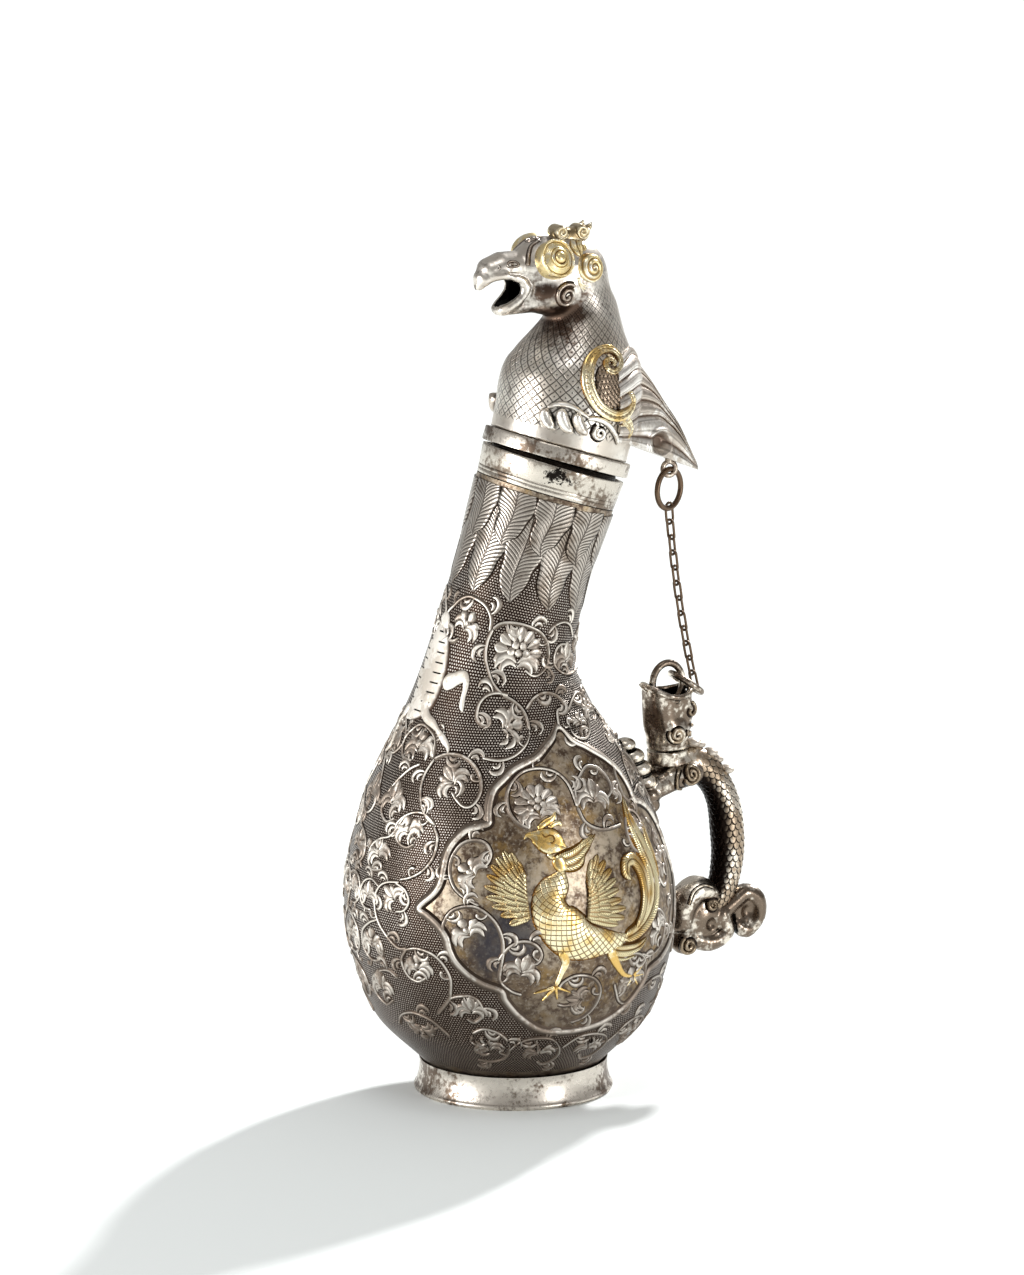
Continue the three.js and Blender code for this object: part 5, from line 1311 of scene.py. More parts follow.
class FLASK_OT_bird(bpy.types.Operator):
    """Build the cover's hollow bird with its open beak"""

    bl_idname = "flask.bird"
    bl_label = "Bird"

    def execute(self, context):
        sizes = context.scene.flask_cover
        points, faces = skin(bird, (-31.5, -25.5, -9), (28, 25.5, 74), sizes.cell)
        at = np.clip(trunk_height(points), 0, 78)
        out = points[:, 0] - trunk_axis(np.minimum(at, 52))
        turn = np.arctan2(points[:, 1], out)
        # Scale lattice: u counts scales round the trunk, and v climbs so that a scale keeps its shape.
        levels = np.linspace(0, 78, 500)
        around = 2 * np.pi * trunk_radius(np.minimum(levels[1:], 52))
        climb = np.concatenate([[0], np.cumsum(np.diff(levels) * sizes.scales / around)])
        u = turn / (2 * np.pi) * sizes.scales
        v = np.interp(at, levels, climb)
        corner_u, corner_v = u[faces], v[faces]
        corner_u -= sizes.scales * np.round((corner_u - corner_u[:, :1]) / sizes.scales)
        uv = np.stack([corner_u, corner_v], -1).reshape(-1, 2) * np.array([1, 0.9])
        from_head = head(points - head_centre)
        behind = points - head_centre
        nape = ease(behind[:, 0], 9.5, 11.5) * ease(-behind[:, 2], -8, -4)
        scaled = np.maximum(ease(from_head, 0.9, 2.0), nape) * ease(at, 4.5, 6)
        # Painted shade and tarnish: the throat under the head, a patch on the cheek and the underside of the jaw are
        # darkened.
        shade = ease(points[:, 2], 30, 43) * ease(from_head, -0.4, 1) * ease(-points[:, 0], -14, 4)
        cheek = np.linalg.norm(np.stack([behind[:, 0] + 9.5, behind[:, 2] + 4.2], 1) / (4.6, 3.6), axis=1)
        jaw = np.linalg.norm(np.stack([behind[:, 0] + 5.0, behind[:, 2] + 12.0], 1) / (11, 4.0), axis=1)
        shade = np.maximum(shade, np.maximum(0.85 * ease(-cheek, -1.7, -0.2), 1.1 * ease(-jaw, -1.6, -0.3)))
        # Painted shade inside the hollow and between the lips of the open beak.
        inside_shade_mask = np.maximum(ease(-bird_hollow(points), -0.35, -0.1), between_lips(points - head_centre))
        shape = Shape("scaled", "shade", "inside").add(from_bird(points), faces, scaled, shade, inside_shade_mask)
        mesh_piece("bird_skin", shape, diamond_scaled_silver(), "cover", ("bird_shell",), uv)
        return {"FINISHED"}


def on_head_side(points, depth=14):
    """Flat (x, z) points about the head's centre, laid onto the head's -Y side."""
    start = np.stack([points[:, 0], np.full(len(points), -float(depth)), points[:, 1]], 1)
    return aimed(lambda p: head(p), start, (0, 1, 0))


def lathe_on(profile, origin, out, sides=72, wave=None):
    """A turned boss about a direction: its profile is (radius, rise), with an optional notched edge."""
    out = unit(np.asarray(out, float))
    across = unit(np.cross(out, (0, 0, 1)))
    up = np.cross(across, out)
    turn = np.linspace(0, 2 * np.pi, sides, endpoint=False)
    rows = []
    for radius, rise in profile:
        lifted = rise + (wave(radius, turn) if wave else 0)
        rows.append(np.asarray(origin) + out * np.broadcast_to(lifted, turn.shape)[:, None]
                    + across * (radius * np.cos(turn))[:, None] + up * (radius * np.sin(turn))[:, None])
    return np.array(rows)


def mirrored_rows(rows):
    return (rows * np.array([1, -1, 1]))[:, ::-1]


class FLASK_OT_face(bpy.types.Operator):
    """Build the gilt eyes, ears and crest, and the chased curls of the head"""

    bl_idname = "flask.face"
    bl_label = "Eyes, ears and crest"

    def execute(self, context):
        names = ("rise", "along", "across", "breadth")
        gold = aged_metal("ringed_gilt", "#fbf5e2", "#a5834c", "#ead6a2", 0.36, 0.3, depth=0.03)
        # Eyes: a turned cone of fine rings with a knob, inside a notched rim.
        centre = on_head_side(trace("-6.3,7.3"))[0]
        out = slope_of(head, centre[None])[0]
        profile = [(6.5, -3.5), (6.6, 0.5), (6.55, 1.1), (6.3, 1.5), (5.95, 1.55), (5.7, 1.3), (5.55, 0.95), (5.4, 0.95)]
        for r in np.arange(5.3, 3.5, -0.1):
            profile.append((r, 1.1 + (5.3 - r) * 0.55 + 0.05 * math.sin(r * 2 * math.pi / 0.5)))
        profile += [(3.4, 1.95), (3.3, 1.75), (3.2, 2.1), (3.0, 2.5), (2.7, 2.65), (2.4, 2.6), (2.25, 2.3), (2.1, 2.15),
                    (2.0, 2.5), (1.8, 3.0), (1.4, 3.4), (0.9, 3.6), (0.3, 3.68)]
        sunk = (6, 7, len(profile) - 12, len(profile) - 7, len(profile) - 6)

        def notches(radius, turn):
            return 0.14 * np.cos(60 * turn) * (5.6 < radius < 6.4)

        for name, sign in (("left", 1), ("right", -1)):
            shape = Shape(*names)
            rows = lathe_on(profile, centre, out, 168, notches)
            rise = np.ones(len(profile))
            rise[list(sunk)] = 0.1
            rows = rows if sign > 0 else mirrored_rows(rows)
            shape.grid(from_bird(rows + head_centre), rise[:, None], 0, 0, 1, caps=(True, True))
            made = mesh_piece(f"eye_{name}_gilt", shape, gold, "cover", (f"eye_boss_{name}",))
            outward(made)
        # Ears: a domed boss with a spiral strap wound over it, striped folds below and tufts above.
        for name, sign in (("left", 1), ("right", -1)):
            shape = Shape(*names)
            centre = on_head_side(trace("6.0,3.4"))[0]
            out = unit(slope_of(head, centre[None])[0] + np.array([0.15, -0.5, 0]))

            def dome(p, c=centre, o=out):
                """A round cushion on the head's side for the ear's straps to lie on."""
                away = p - c
                rise = away @ o
                flat = length(away - rise[..., None] * o)
                return melt(head(p), np.maximum(np.sqrt(flat ** 2 + (rise * 2.1) ** 2) - 4.9, -20), 0.6)

            across = unit(np.cross(out, (0, 0, 1)))
            up = np.cross(across, out)
            rows = []
            for r in np.linspace(5.15, 0.2, 26):
                turn = np.linspace(0, 2 * np.pi, 90, endpoint=False)
                ring = centre + across * (r * np.cos(turn))[:, None] + up * (r * np.sin(turn))[:, None] + out * 5
                ring = aimed(dome, ring, -out, 40)
                swirl = 0.5 + 0.5 * np.cos(2 * np.pi * (r / 1.75) - turn)
                rows.append(ring + out * (0.45 * swirl - (0.6 if r > 5 else 0))[:, None])
            swirls = np.array([0.5 + 0.5 * np.cos(2 * np.pi * (r / 1.75) - turn) for r in np.linspace(5.15, 0.2, 26)])
            rows = np.array(rows)
            rows = rows if sign > 0 else mirrored_rows(rows)
            swirls = swirls if sign > 0 else swirls[:, ::-1]
            shape.grid(from_bird(rows + head_centre), 0.15 + 0.85 * swirls, 0, 0, 1, caps=(True, True))
            extra = Shape(*names)
            for text, half, high in (
                    ("2.0,12.0 1.4,10.2 1.9,8.4 2.8,7.2", 1.0, 0.9), ("3.9,11.6 3.6,9.8 3.4,8.4 3.2,7.4", 0.9, 0.8),
                    ("5.8,10.6 5.6,9.6 5.0,8.8", 0.7, 0.6),
                    ("0.9,0.6 2.2,-1.9 5.4,-3.2 9.0,-2.2 10.6,0.4", 0.75, 0.8),
                    ("1.4,-1.6 3.6,-4.0 6.4,-4.6 9.2,-3.6 10.6,-1.6", 0.7, 0.7),
                    ("2.8,-4.2 5.2,-5.8 7.6,-5.4 9.4,-4.4", 0.6, 0.6)):
                path = on_head_side(flow(trace(text), 0.25))
                width = half * np.sin(np.pi * np.linspace(0.12, 1, len(path)) ** 0.8)
                field_strip(extra, head, path, np.maximum(width, 0.05), high, leaf_section, mirror=False)
            if sign < 0:
                extra.points = [p * np.array([1, -1, 1]) for p in extra.points]
                extra.faces = [f[:, ::-1] for f in extra.faces]
            start = shape.count
            for p in extra.points:
                shape.points.append(from_bird(p + head_centre))
            shape.values += extra.values
            shape.faces += [f + start for f in extra.faces]
            shape.count += extra.count
            mesh_piece(f"ear_{name}_gilt", shape, gold, "cover", (f"ear_scroll_{name}",))
        # Curls chased in the silver itself: jaw, forehead, nostril and brow.
        curls = Shape(*names)
        silver = aged_metal("chased_head_silver", "#e6dfd5", "#4a3c33", "#9d9084", 0.36, 0.28, depth=0.03)

        def draw(points, half, high, section=stem_section):
            path = on_head_side(points)
            width = rounded(np.full(len(path), half), path)
            field_strip(curls, head, path, width, high, section)

        draw(flow(trace("-.2,-2.2 -1.8,-1.3 -4,-1.5 -6,-3 -6.5,-5.4 -5.2,-7.4 -3,-8 -1.2,-6.9 -.7,-5 -1.7,-3.5"
                        " -3.3,-3.3 -4.5,-4.4 -4.4,-5.8 -3.2,-6.4 -2.4,-5.6 -2.8,-4.9"), 0.2), 0.55, 0.75)
        draw(flow(trace("-22.4,6.3 -21.2,7.1 -19.4,7.0 -18.4,5.9 -19.8,5.4 -22,5.5 -22.4,6.3"), 0.2), 0.22, 0.25)
        draw(flow(trace("-21.2,6.4 -20,6.3"), 0.2), 0.3, 0.3)
        draw(flow(trace("-25.6,6.2 -24.9,5.4 -25.6,4.6"), 0.2), 0.2, 0.2)
        curl = spiral((-12.6, 0), 2.6, 2.0, 60)
        start = np.stack([np.full(len(curl), -16.0), curl[:, 1], 16 + (curl[:, 0] + 12.6)], 1)
        start = aimed(head, start + np.array([0, 0, 2.0]), (0.75, 0, -0.66), 70)
        start = flow(start, 0.25)
        field_strip(curls, head, start, rounded(np.full(len(start), 0.3), start), 0.35, mirror=False)
        brow = flow(trace("-15.6,5.4 -14.6,8.6 -12.6,11.4 -9.4,13.2"), 0.3)
        draw(brow, 0.45, 0.4)
        curls.points = [from_bird(p + head_centre) for p in curls.points]
        made = mesh_piece("head_curls", curls, silver, "cover", ("jaw_scroll_left", "jaw_scroll_right"))
        # Crest: a low saddle that rolls up in a ringed scroll at either end, with a point behind.
        def crest(p):
            """Distance to the crest: two drums across the head, a saddle between them and a pointed
            tip. Rings are sunk into the drums' ends."""
            q = np.stack([p[..., 0], np.abs(p[..., 1]), p[..., 2]], -1)
            shape = ellipsoid(q, (2.8, 0, 12.6), (7.4, 3.4, 2.6))
            band = limb(q, ((-2.2, 0, 14.6), (-1.0, 0, 14.8), (2.8, 0, 14.5), (6.8, 0, 14.4), (8.8, 0, 14.8)),
                        (1.2, 1.9, 1.5, 1.9, 1.1), (1, 1.75, 1))
            shape = melt(shape, band, 1.0)
            for x, z, radius, half in ((-0.8, 14.8, 2.3, 3.9), (6.8, 14.5, 2.3, 3.8)):
                away = np.hypot(q[..., 0] - x, q[..., 2] - z)
                turn = np.arctan2(q[..., 2] - z, q[..., 0] - x)
                drum = np.maximum(away - radius, q[..., 1] - half)
                rings = 0.5 + 0.5 * np.cos(away / radius * 2 * np.pi * 1.9 - turn)
                shape = melt(shape, drum + 0.4 * (1 - rings) * ease(q[..., 1], half - 1.1, half - 0.3), 0.4)
            point = limb(q, ((8.0, 2.2, 14.9), (9.3, 2.7, 16.0), (10.0, 3.0, 17.2)), (1.7, 1.0, 0.3))
            return melt(shape, point, 0.6)

        points, faces = skin(crest, (-8, -5.5, 9), (12, 5.5, 19.5), 0.27)
        low = ease(-crest(points + slope_of(crest, points) * 0.35) + 0.35, -0.1, 0.05)
        shape = Shape(*names).add(from_bird(points + head_centre), faces, 1 - 0.8 * low, 0, 0, 1)
        pale = aged_metal("worn_gilt", "#f2ebdd", "#8d7a5a", "#e6d8b8", 0.4, 0.3, depth=0.02)
        mesh_piece("crest_gilt", shape, pale, "cover", ("crest",))
        return {"FINISHED"}


def on_trunk_side(points, field=trunk):
    """Flat (x, z) points in the bird's frame, laid onto the trunk's -Y side."""
    start = np.stack([points[:, 0], np.full(len(points), -27.0), points[:, 1]], 1)
    return aimed(field, start, (0, 1, 0))


def banded_gilt():
    """Gilt strap with cut ornament: small rings and pairs of bars along it, and a hatched inner edge."""
    made, tree, shader = new_material("banded_gilt")
    across, along = value_of(tree, "across"), value_of(tree, "along")
    run = math_of(tree, "FRACT", math_of(tree, "DIVIDE", along, 3.4))
    side = math_of(tree, "MULTIPLY", math_of(tree, "ADD", across, 0.25), value_of(tree, "breadth"))
    gap = math_of(tree, "MULTIPLY", math_of(tree, "SUBTRACT", run, 0.3), 3.4)
    away = math_of(tree, "SQRT", math_of(tree, "ADD", math_of(tree, "MULTIPLY", gap, gap),
                                         math_of(tree, "MULTIPLY", side, side)))
    ring = ramp(tree, math_of(tree, "ABSOLUTE", math_of(tree, "SUBTRACT", away, 0.42)), 0.07, 0.16, 1.0, 0.0)
    bars = []
    for centre in (0.70, 0.82):
        bars.append(ramp(tree, math_of(tree, "ABSOLUTE", math_of(tree, "SUBTRACT", run, centre)), 0.02, 0.045, 1.0, 0.0))
    short = ramp(tree, math_of(tree, "ABSOLUTE", side), 0.55, 0.7, 1.0, 0.0)
    bar = math_of(tree, "MULTIPLY", math_of(tree, "MAXIMUM", *bars), short)
    edge = ramp(tree, math_of(tree, "ABSOLUTE", math_of(tree, "SUBTRACT", across, 0.38)), 0.02, 0.06, 1.0, 0.0)
    hatch = math_of(tree, "FRACT", math_of(tree, "DIVIDE", along, 0.42))
    hatch = ramp(tree, math_of(tree, "ABSOLUTE", math_of(tree, "SUBTRACT", hatch, 0.5)), 0.25, 0.45)
    hatch = math_of(tree, "MULTIPLY", hatch, ramp(tree, across, 0.4, 0.46))
    cut = math_of(tree, "MAXIMUM", math_of(tree, "MAXIMUM", ring, bar), math_of(tree, "MAXIMUM", edge, hatch))
    base = mixed(tree, ramp(tree, noise(tree, 7, 4.0), 0.42, 0.66), linear("#f7ebc8"), linear("#dfbe7c"))
    colour = mixed(tree, ramp(tree, value_of(tree, "rise"), 0.15, 0.7), linear("#7b5220"), base)
    colour = mixed(tree, math_of(tree, "MULTIPLY", cut, 0.75), colour, linear("#75501f"))
    tree.links.new(colour, shader.inputs["Base Color"])
    shader.inputs["Roughness"].default_value = 0.25
    bumped(tree, shader, math_of(tree, "SUBTRACT", 1.0, cut), 0.15)
    return made


def fish_scaled(name, bright, dull, wide, tall):
    """Chased metal with small overlapping scales, wide by tall mm, each with a dark rim."""
    made, tree, shader = new_material(name)
    side = math_of(tree, "MULTIPLY", value_of(tree, "across"), value_of(tree, "breadth"))
    row = math_of(tree, "DIVIDE", value_of(tree, "along"), tall)
    odd = math_of(tree, "MULTIPLY", math_of(tree, "MODULO", math_of(tree, "FLOOR", row), 2.0), 0.5)
    u = math_of(tree, "SUBTRACT", math_of(tree, "FRACT", math_of(tree, "ADD", math_of(tree, "DIVIDE", side, wide), odd)),
                0.5)
    v = math_of(tree, "FRACT", row)
    away = math_of(tree, "SQRT", math_of(tree, "ADD", math_of(tree, "MULTIPLY", math_of(tree, "MULTIPLY", u, u), 4.0),
                                         math_of(tree, "MULTIPLY", v, v)))
    rim = ramp(tree, math_of(tree, "ABSOLUTE", math_of(tree, "SUBTRACT", away, 0.86)), 0.05, 0.16, 1.0, 0.0)
    top = ramp(tree, away, 0.1, 0.8, 0.4, 1.0)
    colour = mixed(tree, top, linear(dull), linear(bright))
    colour = mixed(tree, rim, colour, linear("#2a211c"))
    colour = mixed(tree, ramp(tree, value_of(tree, "rise"), 0.1, 0.6), linear("#2a211c"), colour)
    tree.links.new(colour, shader.inputs["Base Color"])
    shader.inputs["Roughness"].default_value = 0.36
    bumped(tree, shader, math_of(tree, "SUBTRACT", top, rim), 0.3)
    return made


class FLASK_OT_wings(bpy.types.Operator):
    """Build the fluted wings and tail, the gilt wing scrolls with their scaled panels, and the feet"""

    bl_idname = "flask.wings"
    bl_label = "Wings, tail and feet"

    def execute(self, context):
        sizes = context.scene.flask_cover
        names = ("rise", "along", "across", "breadth")
        # Wings and tail: at each step back, rows climb from the underside to the ridge. A row lies on
        # the larger of the breast's round and a roof that tapers to the tail, waved by the flutes.
        start_x, end_x = 11.0, 50.4
        ridge = smooth([(11, 28.6), (17, 31.6), (21, 32.2), (25, 29.4), (32.3, 21.2), (38.3, 12.2), (44.4, 3.0), (50.4, -9.4)])
        # How far up each feather's crest runs, as a share of the way to the ridge, at stations back.
        stations = (11, 20, 30, 36, 42, 50.4)
        crests = [smooth(list(zip(stations, row))) for row in (
            (0.15, 0.19, 0.35, 0.49, 0.56, 0.5), (0.31, 0.35, 0.52, 0.65, 0.69, 0.62), (0.47, 0.51, 0.68, 0.77, 0.79, 0.72),
            (0.66, 0.7, 0.83, 0.87, 0.87, 0.82), (0.86, 0.86, 0.94, 0.95, 0.94, 0.92))]
        steps, rows = 190, 220
        share = np.linspace(0, 1, steps)[:, None]
        x = start_x + (end_x - start_x) * share
        low = np.minimum(2.6 - (x - start_x) * 0.3, -1.6 - (x - 23.4) * 0.42)
        top = np.maximum(ridge(x), low + 1.6)
        taper = 3 + (23.4 - 3 - 3) * (1 - share) ** 1.1
        up = np.linspace(0, 1, rows)[None, :]
        z = low + (top - low) * up
        at = np.clip(z, 0, 57)
        out = x - trunk_axis(at)
        round_part = np.sqrt(np.maximum((trunk_radius(at) + 1.2) ** 2 - out ** 2, 0))
        roof = taper * np.sqrt(np.maximum(1 - up ** 1.5, 0.002))
        lines = np.concatenate([0 * x, *[crest(x) for crest in crests], 0 * x + 1], 1)
        phase = np.array([np.interp(up[0], line, np.arange(7)) for line in lines])
        wave = np.abs(np.cos(np.pi * phase)) ** 0.7
        fade = np.minimum(1, np.minimum(8 * up, 14 * (1 - up))) * ease(share, 1.02, 0.8)
        eye = np.hypot(x - 32.8, (z + 1.2) * 1.25)
        hollow = ease(-eye, -4.6, -1.6)
        rim = np.exp(-((eye - 5.4) / 1.0) ** 2)
        y = np.maximum(round_part, roof) + (wave - 0.6) * sizes.flute_depth * fade * (1 - hollow) - 2.6 * hollow + 1.0 * rim
        y = np.maximum(y, 0.15)
        rise = np.clip(0.05 + 0.95 * wave, 0, 1) * (1 - 0.7 * hollow)
        x, z = (np.broadcast_to(v, y.shape) for v in (x, z))
        near = np.stack([x, -y, z], -1)
        far = np.stack([x, y, z], -1)[:, ::-1]
        grid = np.concatenate([near, far], 1)
        both = lambda v: np.concatenate([v, v[:, ::-1]], 1)
        along = both((phase + 0.5) % 1)
        shape = Shape("rise", "along", "across", "breadth")
        shape.grid(from_bird(grid), both(rise), along, both(np.broadcast_to(share, y.shape)), 1, caps=(True, True))
        made = mesh_piece("wings_silver", shape, self.fluted(), "cover", ("wings_and_tail",))
        outward(made)
        # The gilt C scroll that frames each wing, with its drop.
        ribbon = flow(trace("15.6,19.2 16.4,14.9 13.4,12.1 8.3,12.0 3.0,15.4 .2,20.5 -.1,25.6 1.9,30.0 5.8,32.7"
                            " 9.9,32.9 12.6,30.6 12.4,27.8 9.7,26.0 7.0,27.2 7.2,29.4 9.3,30.0 10.4,28.7 9.5,27.9"), 0.3)
        path = on_trunk_side(ribbon)
        t = distance_along(path) / distance_along(path)[-1]
        half = smooth([(0, 1.0), (0.1, 1.75), (0.5, 2.0), (0.62, 1.5), (0.72, 1.05), (1, 0.75)])(t)
        for name, sign in (("left", 1), ("right", -1)):
            shape = Shape(*names)
            field_strip(shape, trunk, path, rounded(half, path), 1.9, plate_section, lift=0.0, mirror=False)
            drop = on_trunk_side(flow(trace("12.6,11 15.0,8.2 16.6,5.2 16.2,2.2"), 0.3))
            width = 2.0 * np.sin(np.pi * np.linspace(0.15, 1, len(drop)) ** 0.7)
            field_strip(shape, trunk, drop, np.maximum(width, 0.05), 1.7, leaf_section, mirror=False)
            if sign < 0:
                shape.points = [p * np.array([1, -1, 1]) for p in shape.points]
                shape.faces = [f[:, ::-1] for f in shape.faces]
            shape.points = [from_bird(p) for p in shape.points]
            made = mesh_piece(f"wing_scroll_{name}_gilt", shape, banded_gilt(), "cover",
                              (f"wing_scroll_{name}",))
        panel = Shape(*names)
        middle = on_trunk_side(flow(trace("9.6,28.5 8.6,24 8.8,19.5 10.4,14.5"), 0.4))
        t = np.linspace(0, 1, len(middle))
        field_strip(panel, trunk, middle, 6.2 * np.sqrt(np.clip(1 - (2 * t - 1) ** 4, 0.01, 1)), 1.0, dome_section)
        panel.points = [from_bird(p) for p in panel.points]
        mesh_piece("wing_panels", panel, fish_scaled("scaled_dark_silver", "#b3a08c", "#6d5847", 1.35, 1.5), "cover")
        # The feet: three crescent claws side by side, a coil at the heel and a band that trails back.
        silver = aged_metal("chased_claw_silver", "#f4efe7", "#2c231e", "#c4b9ad", 0.3, 0.3, depth=0.02)
        for name, sign in (("left", 1), ("right", -1)):
            shape = Shape(*names)
            for text, wide, high in (
                    ("-12.4,15.6 -13.0,13.4 -12.4,10.6 -10.8,8.2", 2.3, 3.8),
                    ("-8.4,15.6 -8.7,12.8 -7.8,9.6 -5.8,7.0", 2.3, 4.0),
                    ("-4.2,14.0 -4.4,11.6 -3.2,8.4 -1.4,6.2", 2.1, 3.6),
                    ("-12.6,15.6 -9.6,16.8 -6.0,16.0 -2.6,13.6 .4,11.0", 1.0, 1.6),
                    ("-1.4,11.8 2.2,11.4 6.2,9.4 9.4,5.2 10.6,1.6", 1.1, 1.5)):
                path = on_trunk_side(flow(trace(text), 0.3))
                t = np.linspace(0, 1, len(path))
                width = wide * (0.7 + 0.3 * np.sin(np.pi * t ** 0.8)) * np.sqrt(np.clip(1 - t ** 6, 0.01, 1))
                field_strip(shape, trunk, path, rounded(width, path), high, dome_section, mirror=False)
            coil = on_trunk_side(flow(spiral((3.1, 6.6), 2.5, 1.6, 100, 0.2), 0.2))
            field_strip(shape, trunk, coil, rounded(np.full(len(coil), 0.62), coil), 1.5, mirror=False)
            if sign < 0:
                shape.points = [p * np.array([1, -1, 1]) for p in shape.points]
                shape.faces = [f[:, ::-1] for f in shape.faces]
            shape.points = [from_bird(p) for p in shape.points]
            mesh_piece(f"talon_{name}_silver", shape, silver, "cover", (f"talon_{name}",))
        return {"FINISHED"}

    def fluted(self):
        """Pale worn silver feathers: brown in the grooves between them, with fine lines and dots cut
        along each one."""
        made = aged_metal("fluted_silver", "#f6f1ea", "#87766a", "#cbc0b4", 0.34, 0.36, depth=0.04)
        tree = made.node_tree
        shader = next(n for n in tree.nodes if n.type == "BSDF_PRINCIPLED")
        old = shader.inputs["Base Color"].links[0].from_socket
        run = value_of(tree, "along")
        lines = []
        for centre in (0.26, 0.74):
            away = math_of(tree, "ABSOLUTE", math_of(tree, "SUBTRACT", run, centre))
            lines.append(ramp(tree, away, 0.02, 0.05, 1.0, 0.0))
        dots = math_of(tree, "FRACT", math_of(tree, "MULTIPLY", value_of(tree, "across"), 62.0))
        dots = ramp(tree, math_of(tree, "ABSOLUTE", math_of(tree, "SUBTRACT", dots, 0.5)), 0.12, 0.3, 1.0, 0.0)
        middle = ramp(tree, math_of(tree, "ABSOLUTE", math_of(tree, "SUBTRACT", run, 0.5)), 0.1, 0.16, 1.0, 0.0)
        cut = math_of(tree, "MAXIMUM", math_of(tree, "MAXIMUM", *lines), math_of(tree, "MULTIPLY", dots, middle))
        tree.links.new(mixed(tree, math_of(tree, "MULTIPLY", cut, 0.5), old, linear("#5d5148")),
                       shader.inputs["Base Color"])
        return made


# The dragon handle, its rings and the chain

dragon_x, handle_reach, handle_top, handle_foot = 57.3, 80.0, 105.0, 50.0
lip_rise = handle_top + 25


def flask_side(height, y=0.0):
    """How far out the vessel's handle side lies at a height."""
    return axis_at(height) + np.sqrt(radius_at(height) ** 2 - y ** 2)


def flask_solid(p):
    """Distance to the vessel near its handle side."""
    height = np.clip(p[..., 2], 12, 200)
    return np.hypot(p[..., 0] - axis_at(height), p[..., 1]) - radius_at(height)


def lobe(p, points, radii, flat=1.0):
    """A tapered rod along (x, z) points in the handle's plane; flat makes it broader across."""
    points = np.asarray(points, float)
    fine = flow(points, 1.6)
    sizes = np.interp(distance_along(fine), np.interp(distance_along(points), (0, distance_along(points)[-1]),
                                                      (0, distance_along(fine)[-1])), radii)
    return limb(p, np.stack([fine[:, 0], 0 * fine[:, 0], fine[:, 1]], 1), sizes, (1, flat, 1))


def lip_at(turn):
    """How high the lip of the open jaws stands at each turn about the head's axis."""
    return lip_rise + 0.2 + 1.4 * np.cos(2 * turn) - 0.9 * np.cos(turn)


def ring_room(p):
    """Distance to the room the ring in the jaws takes up as it rocks each way on its bar."""
    near = np.full(p.shape[:-1], 1e9)
    x, z = p[..., 0] - dragon_x, p[..., 2] - lip_rise + 2.2
    for turn in np.radians((-6, -3, 0, 3, 6)):
        u = (x * math.cos(turn) + z * math.sin(turn)) / 5.6
        w = (z * math.cos(turn) - x * math.sin(turn) - 4.4) / 7
        share = np.maximum(np.hypot(u, w), 1e-6)
        off = (1 - 1 / share) * np.hypot(u * 5.6, w * 7)
        near = np.minimum(near, np.hypot(off, p[..., 1]) - 1.5)
    return near


def jaws_inside(p):
    """1 on the wall inside the open jaws, where dark shade is painted, and 0 outside."""
    low = handle_top + 5
    wall = np.interp(p[..., 2], (low + 8, low + 28), (5.2, 7.9)) + 0.5
    reach = np.hypot(p[..., 0] - dragon_x + 0.2, p[..., 1] / 0.9)
    return ease(wall - reach, 0, 0.2) * ease(p[..., 2], low + 4, low + 6)


def dragon_head(p):
    """Distance to the upright head: an open cup with a rolled lip, a bar for the tongue across it,
    a collar at its base, a heavy brow behind and folds up its cheeks."""
    turn = np.arctan2(p[..., 1] / 0.9, p[..., 0] - dragon_x)
    low = handle_top + 5
    cup = limb(p, ((dragon_x, 0, low - 1), (dragon_x, 0, low + 7), (dragon_x - 0.3, 0, low + 15),
                   (dragon_x - 0.3, 0, low + 26)), (6.9, 7.6, 7.9, 8.7), (1, 0.9, 1))
    folds = 0.6 * np.cos(4 * turn + 0.6 + (p[..., 2] - low) * 0.12) * ease(p[..., 2], low + 3, low + 9)
    cup = carve(cup - folds, lip_at(turn) - p[..., 2], 0.5)
    cup = carve(cup, p[..., 2] - low - 0.1, 0.8)
    brow = ellipsoid(p, (dragon_x + 6.6, 0, low + 13), (3.2, 4.6, 3.6))
    cheek = ellipsoid(np.stack([p[..., 0], np.abs(p[..., 1]), p[..., 2]], -1), (dragon_x + 0.4, 5.2, low + 6.2),
                      (4.6, 2.6, 4.6))
    cup = melt(melt(cup, brow, 1.5), cheek, 1.8)
    hollow = limb(p, ((dragon_x, 0, low + 8), (dragon_x - 0.3, 0, low + 28)), (5.2, 7.9), (1, 0.9, 1))
    cup = carve(cup, hollow, 0.5)
    reach = 8.15 + 0.035 * (p[..., 2] - low - 18)
    flat = np.hypot(p[..., 0] - dragon_x + 0.3, p[..., 1] / 0.9) - reach
    lip = np.hypot(flat, p[..., 2] - lip_at(turn)) - 0.95
    point = limb(p, ((dragon_x - 8.0, 0, lip_rise + 1.6), (dragon_x - 10.2, 0, lip_rise + 2.7)), (1.4, 0.5))
    tongue = np.maximum(np.hypot(p[..., 0] - dragon_x, p[..., 2] - lip_rise + 2.2) - 1.1,
                        np.abs(p[..., 1]) - 7)
    return np.minimum(carve(melt(melt(cup, lip, 0.7), point, 0.8), ring_room(p), 0.2), tongue)


